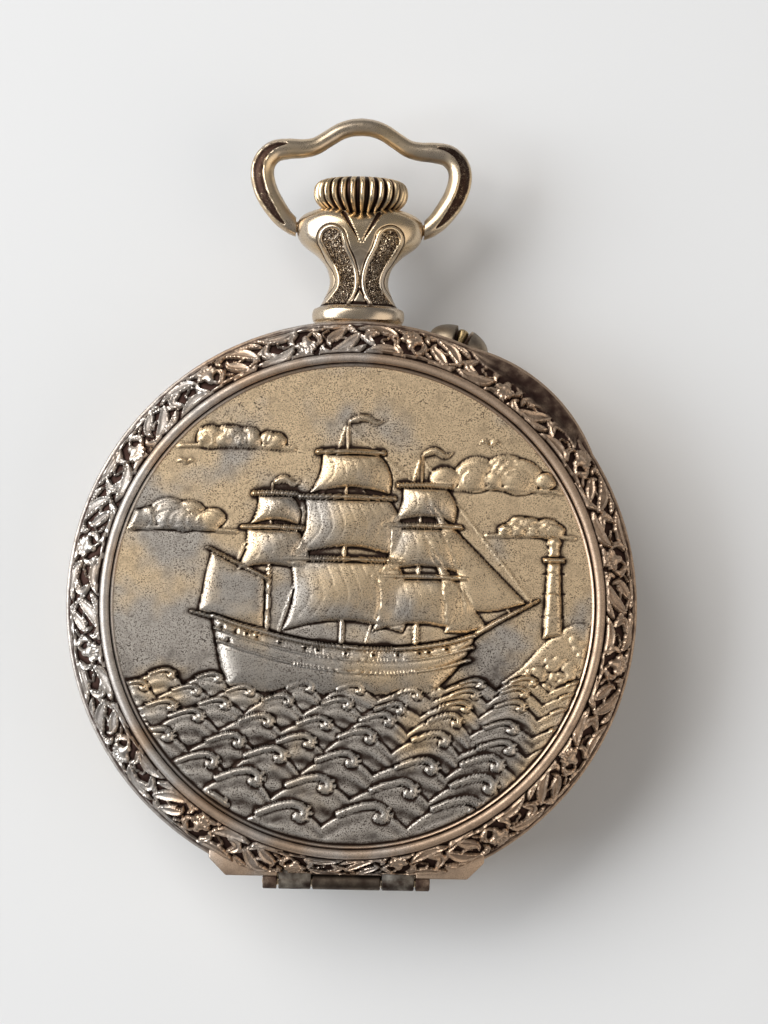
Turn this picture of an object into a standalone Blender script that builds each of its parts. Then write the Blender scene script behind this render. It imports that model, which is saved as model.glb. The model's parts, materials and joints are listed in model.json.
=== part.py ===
"""Open-face pocket watch with a hinged back cover, lying face down on its crystal.

Metres, +Z up. Z = 0 is the flat of the crystal and +Z points out of the back. +Y points to the pendant and
+X to the right as the back is seen. The case axis is the Z axis.
"""

import math

import bmesh
import bpy
from mathutils import Matrix, Vector

MM = 0.001
TURN = 2.0 * math.pi

# Facets round the case, round small pieces and round pivots
CASE_STEPS = 36
SMALL_STEPS = 16
PIVOT_SIDES = 8
RIM_STEPS = 20
HUB_STEPS = 8
SPRING_STEPS = 12
DRUM_STEPS = 30
FOOT_STEPS = 9

# Fits
FIT = 0.05 * MM          # a wheel on its arbor
RUN = 0.1 * MM           # a pivot in its hole
SEAT = 0.1 * MM          # two faces that rest on each other
OVERLAP = 0.05 * MM      # how far shapes sink into each other before they are joined

# Stack through the watch, from the crystal to the back
GLASS_THICK = 0.95 * MM
GLASS_AIR = 0.9 * MM
HAND_THICK = 0.18 * MM
HAND_AIR = 0.4 * MM
DIAL_THICK = 0.7 * MM
DIAL_AIR = 0.2 * MM
WHEEL_THICK = 0.28 * MM
LAYER_AIR = 0.1 * MM
PLATE_THICK = 1.6 * MM
TRAIN_AIR = 0.3 * MM
TRAIN_STEP = 0.9 * MM        # from the fourth wheel up to the third wheel
BARREL_TEETH_TALL = 0.4 * MM
BARREL_TALL = 1.6 * MM
BARREL_LID = 0.3 * MM
PALLET_BRIDGE_THICK = 0.2 * MM
BALANCE_THICK = 0.4 * MM
BALANCE_AIR = 0.2 * MM
HAIRSPRING_TALL = 0.2 * MM
BRIDGE_THICK = 0.45 * MM
BRIDGE_AIR = 0.17 * MM
COCK_THICK = 0.6 * MM
WINDING_THICK = 0.38 * MM    # crown wheel, ratchet wheel and click
REGULATOR_THICK = 0.18 * MM
COVER_AIR = 0.3 * MM         # regulator to the inner cover
INNER_COVER_THICK = 0.32 * MM
BACK_AIR = 0.45 * MM         # inner cover to the back cover
BACK_COVER_THICK = 0.7 * MM

MINUTE_HAND_Z = GLASS_THICK + GLASS_AIR
HOUR_HAND_Z = MINUTE_HAND_Z + HAND_THICK + HAND_AIR
SECONDS_HAND_Z = HOUR_HAND_Z + HAND_THICK + HAND_AIR
DIAL_Z = SECONDS_HAND_Z + HAND_THICK + HAND_AIR
DIAL_TOP = DIAL_Z + DIAL_THICK
HOUR_WHEEL_Z = DIAL_TOP + DIAL_AIR
MINUTE_WHEEL_Z = HOUR_WHEEL_Z + WHEEL_THICK + LAYER_AIR
PLATE_Z = MINUTE_WHEEL_Z + WHEEL_THICK + LAYER_AIR
PLATE_TOP = PLATE_Z + PLATE_THICK
LOW_WHEEL_Z = PLATE_TOP + TRAIN_AIR
MID_WHEEL_Z = LOW_WHEEL_Z + TRAIN_STEP
BARREL_TOP = LOW_WHEEL_Z + BARREL_TALL
PALLET_BRIDGE_Z = MID_WHEEL_Z + WHEEL_THICK + LAYER_AIR
BALANCE_Z = PALLET_BRIDGE_Z + PALLET_BRIDGE_THICK + BALANCE_AIR
BALANCE_TOP = BALANCE_Z + BALANCE_THICK
HIGH_WHEEL_Z = BARREL_TOP + BALANCE_AIR
BRIDGE_Z = HIGH_WHEEL_Z + WHEEL_THICK + BRIDGE_AIR
BRIDGE_TOP = BRIDGE_Z + BRIDGE_THICK
HAIRSPRING_Z = BALANCE_TOP + BRIDGE_AIR
COCK_Z = HAIRSPRING_Z + HAIRSPRING_TALL + BALANCE_AIR
COCK_TOP = COCK_Z + COCK_THICK
WINDING_Z = BRIDGE_TOP + LAYER_AIR
WINDING_TOP = WINDING_Z + WINDING_THICK
REGULATOR_Z = COCK_TOP + LAYER_AIR
INNER_COVER_Z = REGULATOR_Z + REGULATOR_THICK + COVER_AIR
INNER_COVER_TOP = INNER_COVER_Z + INNER_COVER_THICK
BACK_COVER_Z = INNER_COVER_TOP + BACK_AIR
FIELD_Z = BACK_COVER_Z + BACK_COVER_THICK

# Case, from the movement outwards
PLATE_RADIUS = 21.2 * MM
CASE_CLEAR = 0.4 * MM
BAND_WALL = 3.8 * MM
BAND_SWELL = 0.4 * MM        # how much the band bulges at half height
DIAL_INSET = 0.8 * MM
DIAL_CLEAR = 0.3 * MM
CASE_BORE = PLATE_RADIUS + CASE_CLEAR
CASE_RADIUS = CASE_BORE + BAND_WALL
DIAL_RADIUS = PLATE_RADIUS - DIAL_INSET
LEDGE_BORE = DIAL_RADIUS + DIAL_CLEAR
LEDGE_TOP = PLATE_Z - SEAT
BAND_LOW = DIAL_TOP
BAND_TOP = WINDING_TOP

# Back cover and inner cover
COVER_LOW = BAND_TOP + SEAT
COVER_LIP = 0.4 * MM         # height of the smooth outer lip
COVER_LIP_INSET = 0.05 * MM
COVER_LIP_EASE = 0.3 * MM    # how far the lip's top edge is rolled in
RIM_WIDTH = 2.7 * MM         # chased slope between the lip and the ring moulding
RING_WIDTH = 1.0 * MM
RING_TALL = 0.4 * MM
FIELD_CROWN = 0.25 * MM      # how much the middle field is domed
RELIEF_SINK = 0.2 * MM       # how deep a struck form starts below the surface it stands on
COVER_WALL = 2.35 * MM
COVER_RADIUS = CASE_RADIUS - COVER_LIP_INSET
COVER_BORE = COVER_RADIUS - COVER_WALL
RING_RADIUS = COVER_RADIUS - COVER_LIP_EASE - RIM_WIDTH
INNER_COVER_GAP = 0.4 * MM
INNER_COVER_RIM = 0.6 * MM
INNER_COVER_RADIUS = COVER_BORE - INNER_COVER_GAP
THUMB_LIP_ANGLE = math.radians(50.0)
THUMB_LIP_SPAN = math.radians(33.0)
THUMB_LIP_REACH = 0.75 * MM
THUMB_LIP_THICK = 0.45 * MM

# Hinges
HINGE_INSET = 0.9 * MM       # back hinge axis, inside the band's outer radius
HINGE_KNUCKLE = 0.7 * MM
HINGE_RELIEF = 1.05 * MM
HINGE_PIN = 0.32 * MM
HINGE_CASE_HALF = 3.0 * MM   # half length of the case's own knuckle
HINGE_INNER_LONG = 2.85 * MM # each of the inner cover's knuckles
HINGE_TAB_HALF = 12.2 * MM   # half length of the straight hinge tab
HINGE_END_GAP = 0.15 * MM
HINGE_INNER_HALF = HINGE_CASE_HALF + HINGE_END_GAP + HINGE_INNER_LONG
HINGE_TAB_DEEP = 3.0 * MM
HINGE_TAB_THICK = 0.55 * MM
HINGE_TAB_CHAMFER = 1.5 * MM
HINGE_TAB_OVERHANG = 0.3 * MM
HINGE_PIN_HALF = HINGE_TAB_HALF - HINGE_TAB_CHAMFER
HINGE_Y = HINGE_INSET - CASE_RADIUS
HINGE_Z = BAND_TOP
BEZEL_HINGE_INSET = 0.5 * MM
BEZEL_KNUCKLE = 0.6 * MM
BEZEL_RELIEF = 0.8 * MM
BEZEL_PIN = 0.28 * MM
BEZEL_CASE_HALF = 2.0 * MM
BEZEL_HINGE_HALF = 5.5 * MM
BEZEL_HINGE_Y = BEZEL_HINGE_INSET - CASE_RADIUS
BEZEL_HINGE_Z = BAND_LOW - SEAT / 2.0

# Bezel and crystal
BEZEL_INSET = 0.7 * MM
BEZEL_LOW = 0.8 * MM
BEZEL_LIP = 0.45 * MM
GLASS_FLAT = 16.5 * MM
GLASS_FLANGE = 0.65 * MM
GLASS_SEAT_Z = 2.05 * MM
GLASS_GROOVE = 0.1 * MM
GLASS_RADIUS = DIAL_RADIUS + GLASS_GROOVE
BEZEL_TOP = BAND_LOW - SEAT
BEZEL_RADIUS = CASE_RADIUS - BEZEL_INSET

# Winding gears on top of the barrel bridge
WINDING_MODULE = 0.28 * MM
CROWN_WHEEL_TEETH = 30
RATCHET_TEETH = 38
WINDING_PINION_TEETH = 18
WINDING_PINION_TIP = 2.75 * MM
WINDING_PINION_ROOT = 2.25 * MM
WINDING_PINION_LONG = 1.35 * MM
WINDING_PINION_DEPTH = 0.3 * MM    # how far its teeth reach up into the crown wheel
CROWN_WHEEL_Y = 9.3 * MM
GEAR_ADDENDUM = 0.9                # teeth outside the pitch circle, in modules
GEAR_DEDENDUM = 1.15               # gaps inside the pitch circle, in modules
GEAR_TOOTH = 0.32                  # half width of a tooth at its root, in pitches
WINDING_TOOTH = 0.28               # the same on the winding wheels
CROWN_WHEEL_ROOT = WINDING_MODULE * (CROWN_WHEEL_TEETH / 2.0 - GEAR_DEDENDUM)
WINDING_PINION_Y = CROWN_WHEEL_Y + CROWN_WHEEL_ROOT + RUN
STEM_Z = WINDING_Z + WINDING_PINION_DEPTH - WINDING_PINION_TIP

# Pendant, crown, bow and stem, along Y
COLLAR_LONG = 1.4 * MM
NECK_LONG = 2.8 * MM
HEAD_LONG = 4.3 * MM
HEAD_TOP_LONG = 1.7 * MM
COLLAR_HALF = (4.05 * MM, 3.2 * MM)
NECK_HALF = (2.8 * MM, 2.6 * MM)
HEAD_HALF = (5.75 * MM, 3.3 * MM)
HEAD_TOP_HALF = (3.7 * MM, 2.75 * MM)
PENDANT_BORE = 1.2 * MM
TENON_RADIUS = 2.0 * MM
PENDANT_STEPS = 20
COLLAR_Y = CASE_RADIUS + SEAT
NECK_Y = COLLAR_Y + COLLAR_LONG + NECK_LONG
PIVOT_Y = NECK_Y + HEAD_LONG
HEAD_TOP_Y = PIVOT_Y + HEAD_TOP_LONG
STEM_RADIUS = 0.8 * MM
STEM_PIVOT = 0.45 * MM
STEM_POST_Y = 8.6 * MM
STEM_POST_LONG = 0.9 * MM
CROWN_RADIUS = 4.25 * MM
CROWN_TALL = 2.6 * MM
CROWN_FLUTES = 28
CROWN_FLUTE_DEEP = 0.3 * MM
CROWN_BORE_DEEP = 0.6 * MM
CROWN_Y = HEAD_TOP_Y + SEAT
BOW_WIRE = 1.0 * MM
BOW_PIN = 0.5 * MM
BOW_PIN_IN = 1.05 * MM       # how far a bow pin goes into the pendant
BOW_END_GAP = 0.55 * MM
BOW_END_RISE = 0.15 * MM
BOW_STEPS = 2
BOW_LINE = ((7.8 * MM, 1.5 * MM), (9.0 * MM, 3.5 * MM), (9.15 * MM, 5.2 * MM), (8.5 * MM, 6.6 * MM),
            (7.1 * MM, 7.05 * MM), (5.1 * MM, 7.0 * MM), (3.8 * MM, 7.4 * MM), (2.2 * MM, 8.3 * MM),
            (0.0 * MM, 8.95 * MM))   # middle of the wire, right half, from the pivots

# Setting work
SETTING_ANGLE = math.radians(69.0)
SETTING_PIN = 0.5 * MM
SETTING_PIN_IN = 18.6 * MM
SETTING_PIN_OUT = 1.5 * MM
GUARD_HALF = (1.4 * MM, 2.7 * MM, 1.7 * MM)    # radial, round the band and up
GUARD_SLOT = 0.85 * MM
CLUTCH_RADIUS = 1.85 * MM
CLUTCH_LONG = 1.6 * MM
CLUTCH_Y = WINDING_PINION_Y - SEAT - CLUTCH_LONG
CLUTCH_GROOVE = 0.8 * MM
CLUTCH_GROOVE_RADIUS = 1.35 * MM
CLUTCH_TEETH = 14
LEVER_PIVOT = (11.5 * MM, 14.5 * MM)
LEVER_THICK = 0.4 * MM
LEVER_BOSS = 1.0 * MM
LEVER_PIN = 0.4 * MM
LEVER_TIP_HALF = 0.25 * MM

# Going train: teeth and modules
BARREL_TEETH = 60
BARREL_MODULE = 0.25 * MM
CENTER_LEAVES = 8
CENTER_TEETH = 48
CENTER_MODULE = 0.2533 * MM
THIRD_LEAVES = 6
THIRD_TEETH = 45
THIRD_MODULE = 0.2267 * MM
FOURTH_LEAVES = 6
FOURTH_TEETH = 60
FOURTH_MODULE = 0.15 * MM
ESCAPE_LEAVES = 6
ESCAPE_TEETH = 15
ESCAPE_RADIUS = 2.4 * MM
ESCAPE_ROOT = 1.75 * MM
SECONDS_OFFSET = 9.6 * MM
ESCAPE_ANGLE = math.radians(159.9)   # escape wheel, seen from the fourth wheel
LEVER_ANGLE = math.radians(196.8)    # pallets and balance, seen from the escape wheel
PALLET_CENTRE = 2.9 * MM
PALLET_CLEAR = 0.22 * MM
PALLET_HALF = 1.6 * MM
FORK_LONG = 2.8 * MM
FORK_ARM = 0.16 * MM
FORK_HORN = 0.45 * MM
FORK_NOTCH = 0.14 * MM
LEVER_LONG = 4.0 * MM
BALANCE_CLEAR = 0.3 * MM      # between the balance rim and the escape arbor
BALANCE_EDGE = 0.32 * MM      # from the balance's rim to the plate's edge
BALANCE_RIM = 0.8 * MM
BALANCE_ARM = 0.9 * MM
ROLLER_RADIUS = 0.9 * MM
COLLET_RADIUS = 0.62 * MM
HAIRSPRING_TURNS = 5
HAIRSPRING_PITCH = 0.56 * MM
HAIRSPRING_WIDE = 0.1 * MM
MAINSPRING_TURNS = 6
MAINSPRING_PITCH = 0.74 * MM
MAINSPRING_WIDE = 0.18 * MM
BARREL_WALL = 0.35 * MM
BARREL_HUB = 1.5 * MM
BARREL_ARBOR = 0.85 * MM
RATCHET_SQUARE = 0.6 * MM
ARBOR = 0.42 * MM
PIVOT = 0.26 * MM
CENTER_POST = 0.5 * MM
RIM_SHARE = 2.4              # width of a wheel's rim, in modules, inside its root circle
WHEEL_HUB = 1.0 * MM
WHEEL_ARM = 0.45 * MM

# Motion works
MOTION_MODULE = 0.2 * MM
HOUR_MODULE = 0.192 * MM
CANNON_TEETH = 12
MINUTE_WHEEL_TEETH = 36
MINUTE_PINION_TEETH = 10
HOUR_WHEEL_TEETH = 40
SETTING_WHEEL_TEETH = 20
CANNON_TUBE = 0.9 * MM
HOUR_TUBE = 1.3 * MM
SETTING_WHEEL_Y = 7.7 * MM
STUD = 0.4 * MM
STUD_LONG = 1.0 * MM
SECONDS_PIVOT = 0.25 * MM
MINUTE_HAND_LONG = 16.5 * MM
HOUR_HAND_LONG = 11.0 * MM
SECONDS_HAND_LONG = 3.9 * MM
SECONDS_SINK = 4.4 * MM
SECONDS_SINK_DEEP = 0.2 * MM
MINUTE_HAND_TURN = math.radians(60.0)
HOUR_HAND_TURN = math.radians(305.0)
SECONDS_HAND_TURN = math.radians(180.0)

# Bridges
BRIDGE_INSET = 0.6 * MM
BRIDGE_RADIUS = PLATE_RADIUS - BRIDGE_INSET
BRIDGE_LINE = -2.15 * MM     # lower edge of the barrel bridge
BRIDGE_SPLIT = 0.6 * MM      # gap between the bridges
FOOT_WIDTH = 3.4 * MM
BARREL_FOOT_CLEAR = 0.9 * MM   # from the barrel's teeth to the barrel bridge's foot
BRIDGE_CORNER_X = 3.0 * MM
BRIDGE_MARGIN = 1.6 * MM       # bridge metal left round the train's holes
BARREL_FOOT_ANGLES = (math.radians(108.0), math.radians(182.0))
BARREL_SIDE_FOOT_ANGLES = (math.radians(22.0), math.radians(40.0))
BARREL_BRIDGE_START = math.radians(20.0)
TRAIN_FOOT_ANGLES = (math.radians(-78.0), math.radians(5.0))
TRAIN_BRIDGE_ANGLES = (math.radians(-85.0), math.radians(12.0))
BRIDGE_HOLE = PIVOT + RUN
COCK_DISC = 1.9 * MM
COCK_FOOT_ANGLES = (math.radians(-112.0), math.radians(-92.0))
PALLET_FOOT = 0.75 * MM
PALLET_FOOT_OUT = 2.8 * MM
CLICK_ANGLE = math.radians(112.0)
CLICK_OUT = 1.4 * MM
CLICK_BOSS = 0.8 * MM
CLICK_TOE_ANGLE = math.radians(92.0)
REGULATOR_RING = 1.3 * MM
REGULATOR_TAIL = 4.2 * MM

# The struck picture, a ship under sail off a headland, in millimetres on a field of this radius
PICTURE_FIELD = 21.35
PICTURE_EDGE = 21.0
SAILS = ((-7.3, 6.6, 2.9, 2.2, 3.1), (-7.1, 9.6, 7.0, 1.5, 2.1),
         (-0.9, 3.9, -2.3, 4.7, 5.3), (-0.7, 9.4, 4.4, 3.7, 4.6), (-0.5, 13.4, 9.9, 2.5, 3.5),
         (5.8, 2.5, -2.2, 3.7, 4.1), (6.0, 7.0, 3.0, 2.9, 3.6), (6.1, 10.6, 7.5, 1.9, 2.7))
HEAD_SAILS = (((6.3, 9.4), (15.3, 0.5), (12.6, -0.2), (9.9, -0.4)), ((6.4, 5.8), (11.9, -1.7), (8.2, -2.2)))
GAFF_SAIL = ((-7.9, 2.3), (-12.6, 4.5), (-13.6, -0.7), (-7.9, -2.2))
SHEER = ((-12.4, -1.0), (-8.4, -2.2), (-3.0, -3.3), (3.0, -3.6), (7.6, -3.1), (10.9, -2.2))
KEEL = ((10.1, -4.2), (8.3, -6.4), (6.2, -7.6), (-9.6, -7.6), (-11.3, -6.3))
BOWSPRIT = ((9.8, -3.0), (16.4, 0.6), (16.3, 1.0), (9.6, -2.4))
SHORE = ((19.2, -8.3), (20.9, -2.0), (19.6, -1.2), (18.0, -2.0), (16.4, -3.6), (15.0, -5.2), (13.4, -6.4), (12.6, -8.3))
TOWER = ((16.85, -2.6), (18.55, -2.2), (18.25, 4.2), (17.15, 4.2))
LANTERN = ((16.8, 4.1), (18.6, 4.1), (18.3, 5.6), (17.7, 6.4), (17.1, 5.6))
CLOUDS = ((-15.6, 7.2, 3.4, 1.5), (12.6, 11.4, 4.0, 1.7), (-10.6, 14.4, 3.4, 1.1), (15.6, 7.0, 2.6, 1.0))
SWELL_ROWS = 8
SWELL_PEAK = 0.6             # where along a swell its crest is
SWELL_RISE = (0.12 * MM, 0.42 * MM)
SWELL_THICK = 0.7 * MM

# The chased rim: a flower and leaves in each repeat, on alternate sides of the running stem
RIM_REPEATS = 16
RIM_FLOWER = (0.50, 0.16, 1.2 * MM)
RIM_LEAVES = (((0.02, -0.30), (0.06, 0.22), (0.14, 0.66), (0.26, 0.90), 0.46 * MM),
              ((0.14, -0.66), (0.20, -0.28), (0.28, 0.06), (0.25, 0.48), 0.40 * MM),
              ((0.66, 0.30), (0.74, 0.62), (0.86, 0.78), (1.00, 0.66), 0.42 * MM))
RIM_RISE = (0.22 * MM, 0.32 * MM)

# Colours, roughness and metallic value
NICKEL_SILVER = ("nickel_silver", (0.60, 0.55, 0.47), 0.34, 1.0)
NICKEL_PLATE = ("nickel_plate", (0.72, 0.71, 0.68), 0.30, 1.0)
GILT_BRASS = ("gilt_brass", (0.78, 0.60, 0.30), 0.28, 1.0)
STEEL = ("polished_steel", (0.56, 0.57, 0.58), 0.22, 1.0)
BLUED_STEEL = ("blued_steel", (0.06, 0.10, 0.32), 0.25, 1.0)
ENAMEL = ("white_enamel", (0.90, 0.89, 0.85), 0.18, 0.0)
GLASS = ("clear_glass", (0.92, 0.95, 0.95), 0.03, 0.0)


def fresh_collection(name, hidden=False):
    """Return a new collection in the scene."""
    collection = bpy.data.collections.new(name)
    collection.hide_render = hidden
    bpy.context.scene.collection.children.link(collection)
    return collection


def material(finish):
    """Return the Principled material of a finish, made on first use."""
    name, colour, roughness, metallic = finish
    made = bpy.data.materials.get(name)
    if made is None:
        made = bpy.data.materials.new(name)
        made.use_nodes = True
        shader = made.node_tree.nodes["Principled BSDF"]
        shader.inputs["Base Color"].default_value = (*colour, 1.0)
        shader.inputs["Roughness"].default_value = roughness
        shader.inputs["Metallic"].default_value = metallic
        made.diffuse_color = (*colour, 1.0)
    return made


def place(name, data, finish, location=(0.0, 0.0, 0.0), rotation=(0.0, 0.0, 0.0)):
    """Make an object of a mesh or curve. A finish of None makes it a cutter."""
    obj = bpy.data.objects.new(name, data)
    obj.location = location
    obj.rotation_euler = rotation
    if finish is None:
        obj.hide_render = True
        obj.display_type = "WIRE"
        CUTTERS.objects.link(obj)
    else:
        data.materials.append(material(finish))
        PARTS.objects.link(obj)
    return obj


def turned(name, profile, finish, steps=CASE_STEPS, ring=False, location=(0.0, 0.0, 0.0),
           rotation=(0.0, 0.0, 0.0)):
    """Turn a profile of (radius, height), top to bottom on its outer side, about its own Z axis."""
    mesh = bpy.data.meshes.new(name)
    edges = [(index, index + 1) for index in range(len(profile) - 1)]
    if ring:
        edges.append((len(profile) - 1, 0))
    mesh.from_pydata([(radius, 0.0, height) for radius, height in profile], edges, [])
    obj = place(name, mesh, finish, location, rotation)
    screw = obj.modifiers.new("turn", "SCREW")
    screw.axis = "Z"
    screw.angle = TURN
    screw.steps = steps
    screw.render_steps = steps
    screw.use_merge_vertices = True
    screw.merge_threshold = 1e-7
    return obj


def rod(name, radius, low, high, finish, sides=SMALL_STEPS, location=(0.0, 0.0, 0.0),
        rotation=(0.0, 0.0, 0.0)):
    """Make a plain round rod along its own Z axis."""
    mesh = bpy.data.meshes.new(name)
    shape = bmesh.new()
    middle = Matrix.Translation((0.0, 0.0, (low + high) / 2.0))
    bmesh.ops.create_cone(shape, cap_ends=True, segments=sides, radius1=radius, radius2=radius,
                          depth=high - low, matrix=middle)
    shape.to_mesh(mesh)
    shape.free()
    return place(name, mesh, finish, location, rotation)


def block(name, low, high, finish):
    """Make a box between two corners."""
    mesh = bpy.data.meshes.new(name)
    shape = bmesh.new()
    bmesh.ops.create_cube(shape, size=1.0)
    low, high = Vector(low), Vector(high)
    bmesh.ops.scale(shape, vec=high - low, verts=shape.verts)
    bmesh.ops.translate(shape, vec=(high + low) / 2.0, verts=shape.verts)
    shape.to_mesh(mesh)
    shape.free()
    return place(name, mesh, finish)


def flat(name, outlines, low, high, finish, spot=(0.0, 0.0), turn=0.0, rotation=None, height=0.0):
    """Extrude a flat outline, with the outlines after the first as its holes, from low to high."""
    curve = bpy.data.curves.new(name, "CURVE")
    curve.dimensions = "2D"
    curve.fill_mode = "BOTH"
    curve.extrude = (high - low) / 2.0
    for outline in outlines:
        spline = curve.splines.new("POLY")
        spline.points.add(len(outline) - 1)
        for point, (x, y) in zip(spline.points, outline):
            point.co = (x, y, 0.0, 1.0)
        spline.use_cyclic_u = True
    guide = bpy.data.objects.new(name + "_outline", curve)
    bpy.context.scene.collection.objects.link(guide)
    solid = bpy.data.meshes.new_from_object(guide.evaluated_get(bpy.context.evaluated_depsgraph_get()))
    shape = bmesh.new()
    shape.from_mesh(solid)
    bmesh.ops.translate(shape, vec=(0.0, 0.0, (low + high) / 2.0), verts=shape.verts)
    bmesh.ops.remove_doubles(shape, verts=shape.verts, dist=1e-7)
    bmesh.ops.recalc_face_normals(shape, faces=shape.faces)
    shape.to_mesh(solid)
    shape.free()
    bpy.data.objects.remove(guide)
    return place(name, solid, finish, (spot[0], spot[1], height), rotation or (0.0, 0.0, turn))


def loft(name, sections, finish, location=(0.0, 0.0, 0.0)):
    """Skin a row of sections with equal counts of points, closed at both ends."""
    mesh = bpy.data.meshes.new(name)
    shape = bmesh.new()
    rings = [[shape.verts.new(point) for point in section] for section in sections]
    for near, far in zip(rings, rings[1:]):
        for index in range(len(near)):
            after = (index + 1) % len(near)
            shape.faces.new((near[index], near[after], far[after], far[index]))
    shape.faces.new(list(reversed(rings[0])))
    shape.faces.new(rings[-1])
    bmesh.ops.recalc_face_normals(shape, faces=shape.faces)
    shape.to_mesh(mesh)
    shape.free()
    mesh.shade_smooth()
    return place(name, mesh, finish, location)


def combine(obj, tool, operation):
    """Add a Boolean to obj and make the tool a hidden guide."""
    change = obj.modifiers.new(tool.name, "BOOLEAN")
    change.operation = operation
    change.object = tool
    change.solver = "EXACT"
    return obj


def cut(obj, *tools):
    """Cut tools out of an object."""
    for tool in tools:
        combine(obj, tool, "DIFFERENCE")
    return obj


def join(obj, *tools):
    """Fuse tools with an object."""
    for tool in tools:
        combine(obj, tool, "UNION")
    return obj


def hang(pivot, *pieces):
    """Parent pieces to an empty on their joint's axis, without moving them."""
    empty = bpy.data.objects.new(pivot[0], None)
    empty.location = pivot[1]
    PARTS.objects.link(empty)
    for piece in pieces:
        piece.parent = empty
        piece.location = piece.location - empty.location


def polar(radius, angle, centre=(0.0, 0.0)):
    """Return the point at a radius and angle from a centre."""
    return (centre[0] + radius * math.cos(angle), centre[1] + radius * math.sin(angle))


def arc(radius, start, end, count, centre=(0.0, 0.0)):
    """Return points along an arc, both ends included."""
    return [polar(radius, start + (end - start) * step / (count - 1), centre) for step in range(count)]


def ring(radius, sides=SMALL_STEPS, centre=(0.0, 0.0)):
    """Return a full circle of points."""
    return [polar(radius, TURN * step / sides, centre) for step in range(sides)]


def meeting(first, first_reach, second, second_reach, side):
    """Return the point at two distances from two centres, left (1) or right (-1) of the line between them."""
    first, second = Vector(first), Vector(second)
    line = second - first
    along = (first_reach ** 2 - second_reach ** 2 + line.length ** 2) / (2.0 * line.length)
    across = math.sqrt(first_reach ** 2 - along ** 2)
    ahead = line.normalized()
    return tuple(first + ahead * along + side * across * Vector((-ahead.y, ahead.x)))


def gear(teeth, module, phase=0.0, addendum=GEAR_ADDENDUM, dedendum=GEAR_DEDENDUM, width=GEAR_TOOTH):
    """Return the outline of a wheel or pinion with pointed teeth, one of them at the phase angle."""
    pitch = TURN / teeth
    tip = module * (teeth / 2.0 + addendum)
    root = module * (teeth / 2.0 - dedendum)
    outline = []
    for tooth in range(teeth):
        middle = phase + tooth * pitch
        outline.append(polar(root, middle - width * pitch))
        outline.append(polar(tip, middle))
        outline.append(polar(root, middle + width * pitch))
    return outline


def gap_phase(phase, teeth, angle, mate_teeth):
    """Return the phase of a mate whose gap takes the tooth of a wheel, on the line at an angle."""
    lead = phase - angle
    return angle + math.pi - lead * teeth / mate_teeth + math.pi / mate_teeth


def heading(start, end):
    """Return the angle of the line from one point to another."""
    return math.atan2(end[1] - start[1], end[0] - start[0])


def windows(inner, outer, arms, width, phase=0.0):
    """Return the openings between the arms of a wheel."""
    openings = []
    for arm in range(arms):
        start = phase + TURN * arm / arms
        end = start + TURN / arms
        outer_lean = math.asin(width / 2.0 / outer)
        inner_lean = math.asin(width / 2.0 / inner)
        rim = arc(outer, start + outer_lean, end - outer_lean, RIM_STEPS // arms)
        hub = arc(inner, end - inner_lean, start + inner_lean, HUB_STEPS // arms)
        openings.append(rim + hub)
    return openings


def arbor(bearing_low, bearing_top, steps=(), tail=PIVOT, tail_end=PLATE_TOP - STUD_LONG):
    """Return the profile of an arbor between the plate and a bearing, with steps of (radius, low, high)."""
    shoulder = bearing_low - SEAT
    profile = [(0.0, bearing_top - SEAT), (PIVOT, bearing_top - SEAT), (PIVOT, shoulder), (ARBOR, shoulder)]
    for radius, step_low, step_high in steps:
        profile += [(ARBOR, step_high), (radius, step_high), (radius, step_low), (ARBOR, step_low)]
    profile += [(ARBOR, PLATE_TOP + SEAT), (tail, PLATE_TOP + SEAT), (tail, tail_end), (0.0, tail_end)]
    return profile


def ribbon(path, width):
    """Return the outline of a strip of even width along a path."""
    left, right = [], []
    for index, point in enumerate(path):
        before = Vector(path[max(index - 1, 0)])
        after = Vector(path[min(index + 1, len(path) - 1)])
        side = (after - before).normalized() * (width / 2.0)
        left.append((point[0] - side.y, point[1] + side.x))
        right.append((point[0] + side.y, point[1] - side.x))
    return left + right[::-1]


def spiral(inner, pitch, turns):
    """Return the points of a flat spiral."""
    points = []
    for step in range(turns * SPRING_STEPS + 1):
        share = step / SPRING_STEPS
        points.append(polar(inner + pitch * share, TURN * share))
    return points


def turn_gap(path, width):
    """Return the least clear gap between neighbouring turns of a spiral strip."""
    pairs = zip(path, path[SPRING_STEPS:])
    return min((Vector(outer) - Vector(inner)).length for inner, outer in pairs) - width


def smooth_path(points, steps):
    """Return a smooth curve through chosen points."""
    path = []
    for index in range(len(points) - 1):
        before = Vector(points[max(index - 1, 0)])
        start, end = Vector(points[index]), Vector(points[index + 1])
        after = Vector(points[min(index + 2, len(points) - 1)])
        for step in range(steps):
            t = step / steps
            path.append(0.5 * (2.0 * start + (end - before) * t
                               + (2.0 * before - 5.0 * start + 4.0 * end - after) * t ** 2
                               + (3.0 * start - before - 3.0 * end + after) * t ** 3))
    path.append(Vector(points[-1]))
    return path


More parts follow.
